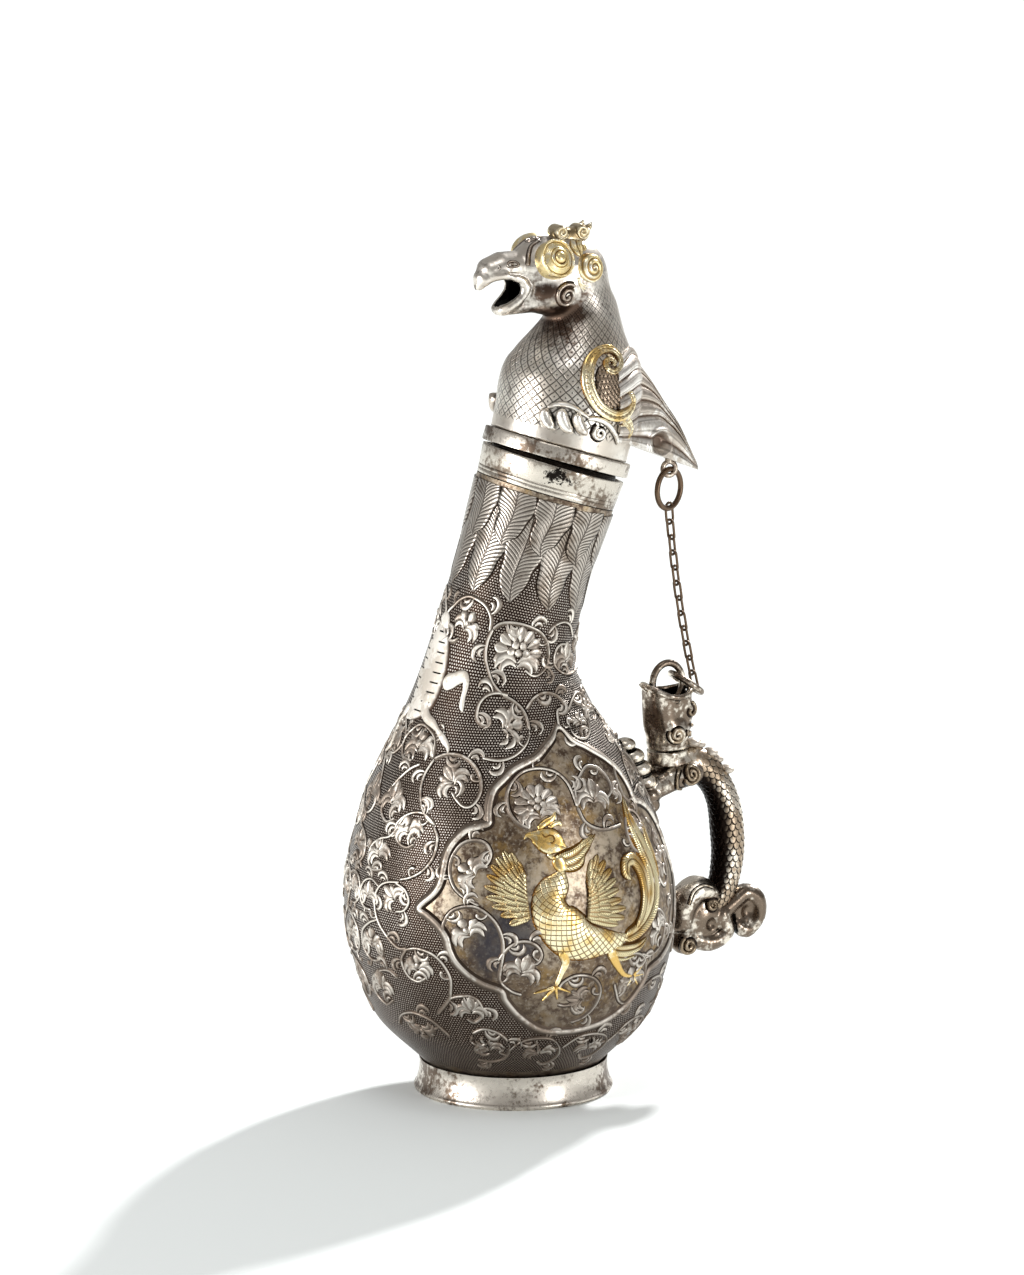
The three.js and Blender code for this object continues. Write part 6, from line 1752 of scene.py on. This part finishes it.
def chest(p):
    """Distance to the dragon's chest and shoulders below the head."""
    q = np.stack([p[..., 0], np.abs(p[..., 1]), p[..., 2]], -1)
    shape = ellipsoid(q, (dragon_x + 1.6, 0, handle_top - 0.6), (7.4, 6.0, 5.8))
    neck = np.maximum(np.hypot(q[..., 0] - dragon_x, q[..., 1] / 0.9) - 7.1, q[..., 2] - handle_top - 4.7)
    neck = np.maximum(neck, handle_top - q[..., 2])
    shoulder = ellipsoid(q, (dragon_x + 4.2, 4.2, handle_top - 2.2), (4.6, 2.6, 4.6))
    spur = limb(q, ((dragon_x + 1, 3.6, handle_top - 5), (dragon_x - 2.6, 3.4, handle_top - 7.2)), (2.4, 1.0))
    return melt(melt(melt(shape, neck, 1.5), shoulder, 1.0), spur, 1.2)


def paw(p):
    """Distance to the -Y foreleg: an arm that reaches down to the flask, four knuckles in a row up
    the flask's side with grooves between them, and a heel below."""
    wrist = handle_top - 7
    y = -6.2
    ups = np.array([-1.5, 3.4, 8.0, 12.4, 16.6])
    xs = flask_side(wrist + ups, y) + 2.6
    start = (dragon_x + 6.4, -5.2, handle_top - 3)
    shape = limb(p, (start, ((start[0] + xs[0]) / 2, -6.8, wrist + 2.6), (xs[0] + 1, y, wrist - 1)), (4.2, 3.9, 3.2))
    for x, up, size in zip(xs, ups, (3.2, 3.4, 3.5, 3.3, 2.7)):
        shape = melt(shape, ellipsoid(p, (x + 0.5, y - 0.3, wrist + up), (size + 0.9, size + 0.8, size * 0.86)), 0.8)
    heel = limb(p, ((xs[0], y, wrist - 1), (float(flask_side(wrist - 6, y)) + 2.4, y, wrist - 5.2),
                    (float(flask_side(wrist - 8, y)) + 1, y, wrist - 8)), (3.2, 2.8, 1.0))
    shape = melt(shape, heel, 1.2)
    return carve(shape, flask_solid(p) - 0.1, 0.2)


scroll_lobes = (
    (((-18, 0), (-16.6, 6.2), (-12, 10.2), (-6.6, 8.6), (-4.6, 4.4)), (4.3, 4.7, 4.6, 3.4, 2.4), 1.35),
    (((-3, 1), (-1.6, -5.2), (-7.2, -8.2), (-13, -6), (-12.6, -2)), (3.4, 3.6, 3.5, 3.2, 2.6), 1.4),
    (((-15, -2), (-18.2, -7.4), (-15.6, -9.2)), (3, 3, 2.8), 1.5),
    (((-4, 0), (1.6, 4.2), (6.6, 7.2), (11, 4.6), (11.2, -1.2), (7.2, -5.8), (3.4, -3.6)),
     (3.4, 3.0, 2.9, 3.0, 3.0, 2.8, 2.4), 1.25),
)


def tail_scroll(p):
    """Distance to the cloud scrolls at the handle's foot: a dome, a bowl, a knob and an open outer
    curl, with hollows sunk where they roll in."""
    x, z = handle_reach, handle_foot
    q = p - np.array([x, 0, z])
    shape = np.minimum(ellipsoid(q, (-10, 0, 0.6), (8.6, 5.0, 8.0)), ellipsoid(q, (6.6, 0, 0.8), (5.4, 2.2, 6.0)))
    for points, radii, flat in scroll_lobes:
        shape = melt(shape, lobe(q, points, radii, flat), 0.9)
    side = np.stack([q[..., 0], np.abs(q[..., 1]), q[..., 2]], -1)
    for cx, cz, deep, size in ((-7.6, -1.8, 3.4, 2.5), (7.0, 0.6, 1.4, 3.0), (-10.8, 4.6, 5.4, 1.2)):
        shape = carve(shape, ellipsoid(side, (cx, deep + 2.6, cz), (size, 3.4, size * 1.1)), 1.2)
    return carve(shape, flask_solid(p) - 0.1, 0.2)


def worn_values(field, points):
    """rise: 1 on the open highs of a modelled form and 0 in its creases and broader hollows, which take tarnish and
    painted shade; edge: 1 on sharp turns.
    """
    out = slope_of(field, points)
    crease = np.minimum(field(points + out * 0.9) / 0.9, field(points + out * 2.6) / 2.6 + 0.12)
    bulge = 1 + field(points - out * 1.1) / 1.1
    return ease(crease, 0.35, 1.0), np.clip(bulge * 3, 0, 1)


def modelled(name, field, low, high, cell, material, replaces, body="flask", mirror=False, painted_shade_mask=None):
    """Skins a field, and its mirror image in Y if asked, and puts the mesh on a body. The optional shade
    function, 1 where painted shade goes, takes the rise down to the dark there."""
    points, faces = skin(field, low, high, cell)
    rise, edge = worn_values(field, points)
    if painted_shade_mask:
        rise = rise * (1 - painted_shade_mask(points))
    if mirror:
        points, faces = points * np.array([1, -1, 1]), faces[:, ::-1]
    shape = Shape("rise", "along", "across", "breadth").add(points, faces, rise, 0, edge, 1)
    return mesh_piece(name, shape, material, body, replaces)


def dark_silver(name="tarnished_silver"):
    """Handled silver gone brown-black: warm grey on the rubbed swells, nearly black in the creases, as tarnish and
    painted shade.
    """
    return aged_metal(name, "#e9e0d2", "#0d0a08", "#75675a", 0.34, 0.24, depth=0.03)


def wire(shape, path, radius, sides=16, pinch=0.0):
    """A closed round wire of one radius along a closed path; its first point isn't repeated."""
    way = unit(np.roll(path, -1, 0) - np.roll(path, 1, 0))
    middle = path.mean(0)
    out = path - middle
    out = unit(out - (out * way).sum(-1, keepdims=True) * way)
    side = np.cross(way, out)
    turn = np.linspace(0, 2 * np.pi, sides, endpoint=False)
    rows = path[:, None] + radius * (out[:, None] * np.cos(turn)[None, :, None]
                                     + side[:, None] * np.sin(turn)[None, :, None])
    rows = np.concatenate([rows, rows[:1]])
    count = len(path)
    index = np.arange(count * sides).reshape(count, sides)
    down, right = np.roll(index, -1, 0), np.roll(index, -1, 1)
    faces = np.stack([index, right, np.roll(right, -1, 0), down], -1).reshape(-1, 4)
    run = np.repeat(distance_along(path), sides)
    shape.add(rows[:-1].reshape(-1, 3), faces, 0.8, run, 0, 1)
    return shape


def oval(half_wide, half_high, count=72):
    """Points of an ellipse in the XZ plane."""
    turn = np.linspace(0, 2 * np.pi, count, endpoint=False)
    return np.stack([half_wide * np.cos(turn), np.zeros(count), half_high * np.sin(turn)], 1)


def turned_about_z(points, degrees):
    a = math.radians(degrees)
    c, s = math.cos(a), math.sin(a)
    x, y, z = np.moveaxis(points, -1, 0)
    return np.stack([x * c - y * s, x * s + y * c, z], -1)


def turned_about_y(points, degrees):
    a = math.radians(degrees)
    c, s = math.cos(a), math.sin(a)
    x, y, z = np.moveaxis(points, -1, 0)
    return np.stack([x * c + z * s, y, -x * s + z * c], -1)


class FlaskHandle(bpy.types.PropertyGroup):
    """Sizes of the handle and the chain."""

    scales: IntProperty(name="Scales", description="Fish scales round the dragon's body", default=15, min=8, max=40)
    scale_depth: FloatProperty(name="Scale depth", description="How far a scale's tip stands up, in mm", default=0.32,
                               min=0.05, max=1.0)
    cell: FloatProperty(name="Cell", description="Grid step of the modelled forms, in mm", default=0.42, min=0.3,
                        max=1.5)


class FLASK_OT_dragon(bpy.types.Operator):
    """Build the dragon's body, head, forelegs and the scrolls of its tail"""

    bl_idname = "flask.dragon"
    bl_label = "Dragon handle"

    def execute(self, context):
        sizes = context.scene.flask_handle
        dark = dark_silver()
        names = ("rise", "along", "across", "breadth")
        # Body: rounds along the spine, each raised into overlapping scales whose tips point to the tail.
        spine = flow([(dragon_x + 3, handle_top), (dragon_x + 11, handle_top - 1.6),
                      (handle_reach - 5.6, handle_top - 7.2), (handle_reach - 1.5, handle_top - 16),
                      (handle_reach, handle_top - 27), (handle_reach, (handle_top + handle_foot) / 2 - 8),
                      (handle_reach - 2, handle_foot + 10), (handle_reach - 6, handle_foot + 4)], 0.21)
        run = distance_along(spine)
        share = run / run[-1]
        radius = smooth([(0, 4), (0.1, 5.8), (0.3, 5.4), (0.55, 5.9), (0.9, 5), (1, 4)])(share)
        way = unit(np.gradient(spine, axis=0))
        out = np.stack([way[:, 1], np.zeros(len(way)), -way[:, 0]], 1)
        sides = 150
        turn = np.linspace(0, 2 * np.pi, sides, endpoint=False)
        u = turn[None, :] / (2 * np.pi) * sizes.scales
        pitch = 2 * np.pi * radius / sizes.scales
        v = np.concatenate([[0], np.cumsum(np.diff(run) / pitch[1:])])[:, None] * 1.12
        row = np.floor(v)
        across = np.abs((u + 0.5 * (row % 2)) % 1 - 0.5)
        reach = np.sqrt((across / 0.5) ** 2 * 0.92 + (v - row) ** 2)
        on_scale = ease(-reach, -1.04, -0.93)
        tip = (v - row) ** 1.2
        below = 0.25 * ease(v - row, 0, 1)
        height = on_scale * (0.35 + 0.65 * tip) + (1 - on_scale) * below
        shown = ease(run, 6, 12)[:, None]
        lift = sizes.scale_depth * (height - 0.6) * shown
        full = radius[:, None] + lift
        centre = np.stack([spine[:, 0], np.zeros(len(spine)), spine[:, 1]], 1)
        rows = centre[:, None] + full[..., None] * (out[:, None] * np.cos(turn)[None, :, None]
                                                    + np.array([0, 0.95, 0]) * np.sin(turn)[None, :, None])
        line = np.exp(-((reach - 0.98) / 0.1) ** 2)
        rise = np.clip(0.4 + 0.6 * height - 1.1 * line * shown, 0, 1)
        # Painted shade: the rise is taken down on the side of the body that faces the flask.
        outer = ease(-np.cos(turn), -0.8, 0.25)[None, :]
        shape = Shape(*names)
        shape.grid(rows, rise * (0.1 + 0.9 * outer), run[:, None], 0, 1, caps=(True, True))
        made = mesh_piece("dragon_body_skin", shape, aged_metal("scaled_silver", "#efe4d4", "#17110e", "#a7947f", 0.34, 0.25,
                                                                depth=0.02), "flask", ("dragon_body",))
        outward(made)
        modelled("dragon_chest", chest, (46, -8.5, 94), (68, 8.5, 111), sizes.cell, dark, ())
        # The wall inside the open jaws is painted dark as painted shade.
        modelled("dragon_head_skin", dragon_head, (45, -9.5, 108), (70, 9.5, 134), sizes.cell, dark,
                 ("dragon_head",), painted_shade_mask=jaws_inside)
        modelled("foreleg_right_skin", paw, (36, -12, 86), (70, 1, 122), sizes.cell, dark,
                 ("foreleg_right",))
        modelled("foreleg_left_skin", paw, (36, -12, 86), (70, 1, 122), sizes.cell, dark,
                 ("foreleg_left",), mirror=True)
        modelled("tail_scroll_skin", tail_scroll, (50, -9, 34), (96, 9, 67), sizes.cell, dark,
                 ("tail_scroll",))
        # Spirals wound on the cheek, the shoulder, the back of the head and the tail's scrolls.
        curls = Shape(*names)

        def draw(field, points, half, high, depth=14.0, mirror=True):
            start = np.stack([points[:, 0], np.full(len(points), -depth), points[:, 1]], 1)
            path = aimed(field, start, (0, 1, 0), 80)
            width = rounded(np.full(len(path), half), path)
            field_strip(curls, field, path, width, high, mirror=mirror)

        def shoulder(p):
            return np.minimum(chest(p), paw(p))

        x, z = handle_reach, handle_foot
        draw(dragon_head, flow(spiral((57.2, 116.2), 3.0, 2.1, 150, 0.1), 0.25), 0.62, 1.1)
        draw(dragon_head, flow(trace("63.8,126.4 65.2,124.8 65.3,122.8 63.9,121.8 62.7,122.8 63.2,124.0"), 0.25), 0.55, 0.9)
        draw(dragon_head, flow(trace("63.6,118.6 65,117.4 65.3,115.6 64.1,114.4 62.9,115.2 63.2,116.5"), 0.25), 0.5, 0.9)
        draw(shoulder, flow(spiral((61.6, 102.6), 3.4, 2.2, 200, 0.1), 0.25), 0.66, 1.2)
        draw(shoulder, flow(trace("57.6,104.6 55.6,101.6 56,98.6 58.4,97.6"), 0.3), 0.5, 0.6)
        draw(tail_scroll, flow(spiral((x - 7.6, z + 5.0), 2.3, 1.8, -30, 0.12), 0.25), 0.6, 1.2)
        draw(tail_scroll, flow(spiral((x - 16.4, z - 7.8), 3.1, 2.1, 120, 0.12), 0.25), 0.6, 1.1)
        draw(tail_scroll, flow(trace("-17.6,6.6 -15.4,10.8 -11.6,12.6 -7.6,11.4") + (x, z), 0.3), 0.4, 0.4)
        made = mesh_piece("handle_curls", curls, aged_metal("rubbed_silver", "#ddd2c2", "#221a16", "#93836f", 0.4, 0.27,
                                                            depth=0.03), "flask")
        # The mane: low pale tufts down the back of the neck.
        def mane(p):
            best = np.full(p.shape[:-1], 1e9)
            for k, (mx, mz) in enumerate(((66.2, 111.4), (69.6, 110.0), (73.0, 107.4), (76.4, 104.2), (79.2, 100.8))):
                side = 1.2 if k % 2 else -1.2
                best = melt(best, ellipsoid(p, (mx, side, mz), (2.3, 3.0, 1.5)), 0.7)
            return best + 0.1 * np.sin(p[..., 0] * 1.9) * np.sin(p[..., 1] * 1.7 + p[..., 2])

        modelled("mane", mane, (62, -6.5, 97), (83, 6.5, 115), sizes.cell,
                 aged_metal("pale_silver", "#eeeae3", "#b3a89c", "#d2c9be", 0.5, 0.55, depth=0.05), ())
        return {"FINISHED"}


class FLASK_OT_chain(bpy.types.Operator):
    """Build the wire rings and the chain between the tail and the dragon's mouth"""

    bl_idname = "flask.chain"
    bl_label = "Rings and chain"

    def execute(self, context):
        names = ("rise", "along", "across", "breadth")
        iron = aged_metal("brown_wire", "#a2917f", "#4a3a30", "#6a5747", 0.6, 0.36, depth=0.05)
        lug_reach, lug_rise, lug_eye, lug_wire, ring_wire, ring_size = 41.0, -12.092, 2.35, 0.85, 0.95, 6.6
        shape = Shape(*names)
        wire(shape, from_bird(oval(lug_eye, lug_eye, 60) + (lug_reach, 0, lug_rise)), lug_wire)
        stem = np.array([(lug_reach, 0, lug_rise + lug_eye - 0.2), (lug_reach, 0, lug_rise + lug_eye + 3.0)])
        turn = np.linspace(0, 2 * np.pi, 24, endpoint=False)
        rows = stem[:, None] + 1.4 * np.stack([np.cos(turn), np.sin(turn), np.zeros(24)], 1)[None]
        shape.grid(from_bird(rows), 0.6, 0, 0, 1, caps=(True, True))
        made = mesh_piece("lug_silver", shape, aged_metal("lug_silver", "#c9bdae", "#5a4a3e", "#85766a", 0.4, 0.33,
                                                          depth=0.04), "cover", ("tail_lug",))
        outward(made)
        lug_low = from_bird(np.array([lug_reach, 0, lug_rise])) + (0, 0, -lug_eye)
        ring_top = lug_low + (0, 0, lug_wire + ring_wire + 0.3)
        path = turned_about_z(oval(ring_size, ring_size, 110) + (0, 0, -ring_size), 27) + ring_top
        mesh_piece("tail_ring_wire", wire(Shape(*names), path, ring_wire, 20), iron, "tail_ring",
                   ("tail_ring",))
        dark = dark_silver("ring_silver")
        tongue = lip_rise - 2.2
        centre = np.array([dragon_x, 0, tongue - 1.1 - 0.3 - 1.2 + 7])
        mesh_piece("mouth_ring_wire", wire(Shape(*names), oval(5.6, 7, 110) + centre, 1.2, 22), dark, "mouth_ring",
                   ("mouth_ring",))
        pivot = centre + (5.6 * math.cos(math.radians(5)), 0, 7 * math.sin(math.radians(5)))
        flat = oval(6, 6, 110)[:, [0, 2, 1]] * (1, -1, 1) + (6 - 4.3, 0, 0)
        mesh_piece("end_ring_wire", wire(Shape(*names), turned_about_y(flat, 36) + pivot, 1.1, 22), dark, "end_ring",
                   ("end_ring",))
        # The chain: links hang one from the next along a shallow curve, every other one a quarter turned.
        first = ring_top + (0, 0, -2 * ring_size)
        beside = 6 + 1.1 + 0.45 + 0.6
        far = math.radians(32)
        last = turned_about_y(np.array([6 - 4.3 + beside * math.cos(far), beside * math.sin(far), 0.45]), 36) + pivot
        middle = (first + last) / 2 + (-2.5, 0, 0)
        t = np.linspace(0, 1, 2001)[:, None]
        curve = (1 - t) ** 2 * first + 2 * t * (1 - t) * middle + t ** 2 * last
        run = distance_along(curve)
        links = 12
        stops = np.stack([np.interp(np.linspace(0, run[-1], links + 1), run, curve[:, k]) for k in range(3)], 1)
        for i in range(links):
            down = stops[i + 1] - stops[i]
            lap = 0.95 + 0.45 + 0.5 if i == 0 else 1.4
            half_wide, half_long = (1.85 if i == 0 else 1.3), (np.linalg.norm(down) + lap) / 2
            turn = np.linspace(0, 2 * np.pi, 56, endpoint=False)
            bend = np.sign(np.cos(turn)) * (half_long - half_wide) + half_wide * np.cos(turn)
            waist = 1 - 0.28 * np.exp(-(bend / 1.4) ** 2) if i else 1
            flat = np.stack([half_wide * np.sin(turn) * waist, np.zeros(56), bend - half_long], 1)
            flat = turned_about_z(flat, 27 + (90 if i % 2 else 0)) + (0, 0, lap)
            # The least turn that carries straight down onto this link's way.
            way = unit(down)
            axis = np.cross((0, 0, -1), way)
            c = -way[2]
            cross = np.array([[0, -axis[2], axis[1]], [axis[2], 0, -axis[0]], [-axis[1], axis[0], 0]])
            swing = np.eye(3) + cross + cross @ cross / (1 + c)
            name = f"chain_link_{i + 1:02d}"
            mesh_piece(name + "_wire", wire(Shape(*names), flat @ swing.T + stops[i], 0.45, 12), iron, name,
                       (name,))
        return {"FINISHED"}


class FlaskStage(bpy.types.PropertyGroup):
    """The camera and the light."""

    azimuth: FloatProperty(name="Azimuth", description="Camera's turn round the flask, in degrees", default=-26.0)
    elevation: FloatProperty(name="Elevation", description="Camera's height above the horizon, in degrees",
                             default=12.5)
    distance: FloatProperty(name="Distance", description="From the camera to the flask", default=3.2, min=0.5,
                            unit="LENGTH")
    lens: FloatProperty(name="Lens", description="Focal length in mm on a 36 mm sensor", default=272.9, min=20)


class FLASK_OT_stage(bpy.types.Operator):
    """Build the floor, the lights and the camera"""

    bl_idname = "flask.stage"
    bl_label = "Stage"

    def execute(self, context):
        sizes = context.scene.flask_stage
        scene = context.scene
        size = 6.0
        floor = bpy.data.meshes.new("floor")
        floor.from_pydata([(-size, -size, 0), (size, -size, 0), (size, size, 0), (-size, size, 0)], [],
                          [(0, 1, 2, 3)])
        plane = bpy.data.objects.new("floor", floor)
        scene.collection.objects.link(plane)
        # Matt white paper: almost white where it is lit, with a cool tint in the shadow.
        paper = bpy.data.materials.new("matt_white_paper")
        paper.use_nodes = True
        shader = next(n for n in paper.node_tree.nodes if n.type == "BSDF_PRINCIPLED")
        shader.inputs["Base Color"].default_value = linear("#f9fcfb")
        shader.inputs["Roughness"].default_value = 0.9
        floor.materials.append(paper)
        centre = Vector((-0.0005 + offset[0] * 0.001, 0, 0.1535))
        a, e = math.radians(sizes.azimuth), math.radians(sizes.elevation)
        back = Vector((math.sin(a) * math.cos(e), -math.cos(a) * math.cos(e), math.sin(e)))
        camera = bpy.data.cameras.new("camera")
        camera.lens, camera.sensor_width, camera.clip_end = sizes.lens, 36.0, 50.0
        eye = bpy.data.objects.new("camera", camera)
        eye.location = centre + back * sizes.distance
        eye.rotation_euler = back.to_track_quat("Z", "Y").to_euler()
        scene.collection.objects.link(eye)
        scene.camera = eye
        right = Vector((math.cos(a), math.sin(a), 0))
        toward = Vector((math.sin(a), -math.cos(a), 0))
        up = Vector((0, 0, 1))
        # The key is far off behind on the right, so the shadow falls forward to the left; its angle
        # softens the shadow's edge. Softboxes on both sides give the metal its long highlights.
        turn, rise = math.radians(63), math.radians(30)
        far = (right * math.cos(turn) - toward * math.sin(turn)) * math.cos(rise) + up * math.sin(rise)
        sun = bpy.data.lights.new("key", "SUN")
        sun.energy, sun.angle = 4.0, math.radians(4)
        key = bpy.data.objects.new("key", sun)
        key.rotation_euler = far.to_track_quat("Z", "Y").to_euler()
        scene.collection.objects.link(key)
        for name, place, width, height, power in (
                ("left_panel", centre - right * 1.25 + toward * 0.6 + up * 0.12, 0.6, 0.75, 15.0),
                ("right_panel", centre + right * 1.1 + toward * 0.9 + up * 0.12, 0.26, 0.75, 6.0),
                ("top", centre + toward * 0.5 + up * 1.5, 0.6, 0.5, 3.0)):
            lamp = bpy.data.lights.new(name, "AREA")
            lamp.shape, lamp.size, lamp.size_y, lamp.energy = "RECTANGLE", width, height, power
            stand = bpy.data.objects.new(name, lamp)
            stand.location = place
            stand.rotation_euler = (place - centre).to_track_quat("Z", "Y").to_euler()
            scene.collection.objects.link(stand)
        world = bpy.data.worlds.new("studio")
        scene.world = world
        world.use_nodes = True
        tree = world.node_tree
        light = next(n for n in tree.nodes if n.type == "BACKGROUND")
        output = next(n for n in tree.nodes if n.type == "OUTPUT_WORLD")
        light.inputs["Color"].default_value = linear("#f3f5f4")
        light.inputs["Strength"].default_value = 0.52
        # Metal sees a dimmer room than the paper does, and the camera sees white.
        room = add(tree, "Background", None, {"Color": linear("#f2f0ed"), "Strength": 0.4})
        seen = add(tree, "Background", None, {"Color": (1.0, 1.0, 1.0, 1.0), "Strength": 1.0})
        ray = add(tree, "LightPath")
        lit = add(tree, "MixShader", None, {0: ray.outputs["Is Glossy Ray"], 1: light.outputs[0], 2: room.outputs[0]})
        pick = add(tree, "MixShader", None, {0: ray.outputs["Is Camera Ray"], 1: lit.outputs[0], 2: seen.outputs[0]})
        tree.links.new(pick.outputs[0], output.inputs[0])
        scene.view_settings.view_transform = "Standard"
        return {"FINISHED"}


class FLASK_PT_panel(bpy.types.Panel):
    """Lists the flask's operators and sizes"""

    bl_label = "Flask"
    bl_idname = "FLASK_PT_panel"
    bl_space_type = "VIEW_3D"
    bl_region_type = "UI"
    bl_category = "Flask"

    def draw(self, context):
        for operator in operators:
            self.layout.operator(operator.bl_idname)
        for group in groups:
            box = self.layout.box()
            settings = getattr(context.scene, group)
            for name in settings.__annotations__:
                box.prop(settings, name)


groups = {"flask_vessel": FlaskVessel, "flask_cover": FlaskCover, "flask_handle": FlaskHandle,
          "flask_stage": FlaskStage}
operators = (FLASK_OT_vessel, FLASK_OT_scrolls, FLASK_OT_phoenix, FLASK_OT_leaves, FLASK_OT_foot, FLASK_OT_bird,
             FLASK_OT_face, FLASK_OT_wings, FLASK_OT_dragon, FLASK_OT_chain, FLASK_OT_stage)


def register():
    for name, group in groups.items():
        bpy.utils.register_class(group)
        setattr(bpy.types.Scene, name, PointerProperty(type=group))
    for operator in operators:
        bpy.utils.register_class(operator)
    bpy.utils.register_class(FLASK_PT_panel)


def unregister():
    bpy.utils.unregister_class(FLASK_PT_panel)
    for operator in reversed(operators):
        bpy.utils.unregister_class(operator)
    for name, group in groups.items():
        delattr(bpy.types.Scene, name)
        bpy.utils.unregister_class(group)


def main():
    """Builds every piece in order."""
    register()
    for operator in operators:
        kind, name = operator.bl_idname.split(".")
        if getattr(getattr(bpy.ops, kind), name)() != {"FINISHED"}:
            raise RuntimeError(f"{operator.bl_idname} did not finish")
    silver = aged_metal("frame_silver", "#d9d1c6", "#8f8275", "#6e5f52", 0.3, 0.32, wear_and_shade=None)
    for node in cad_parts.values():
        for place in node.material_slots:
            place.material = silver


if __name__ == "__main__":
    main()
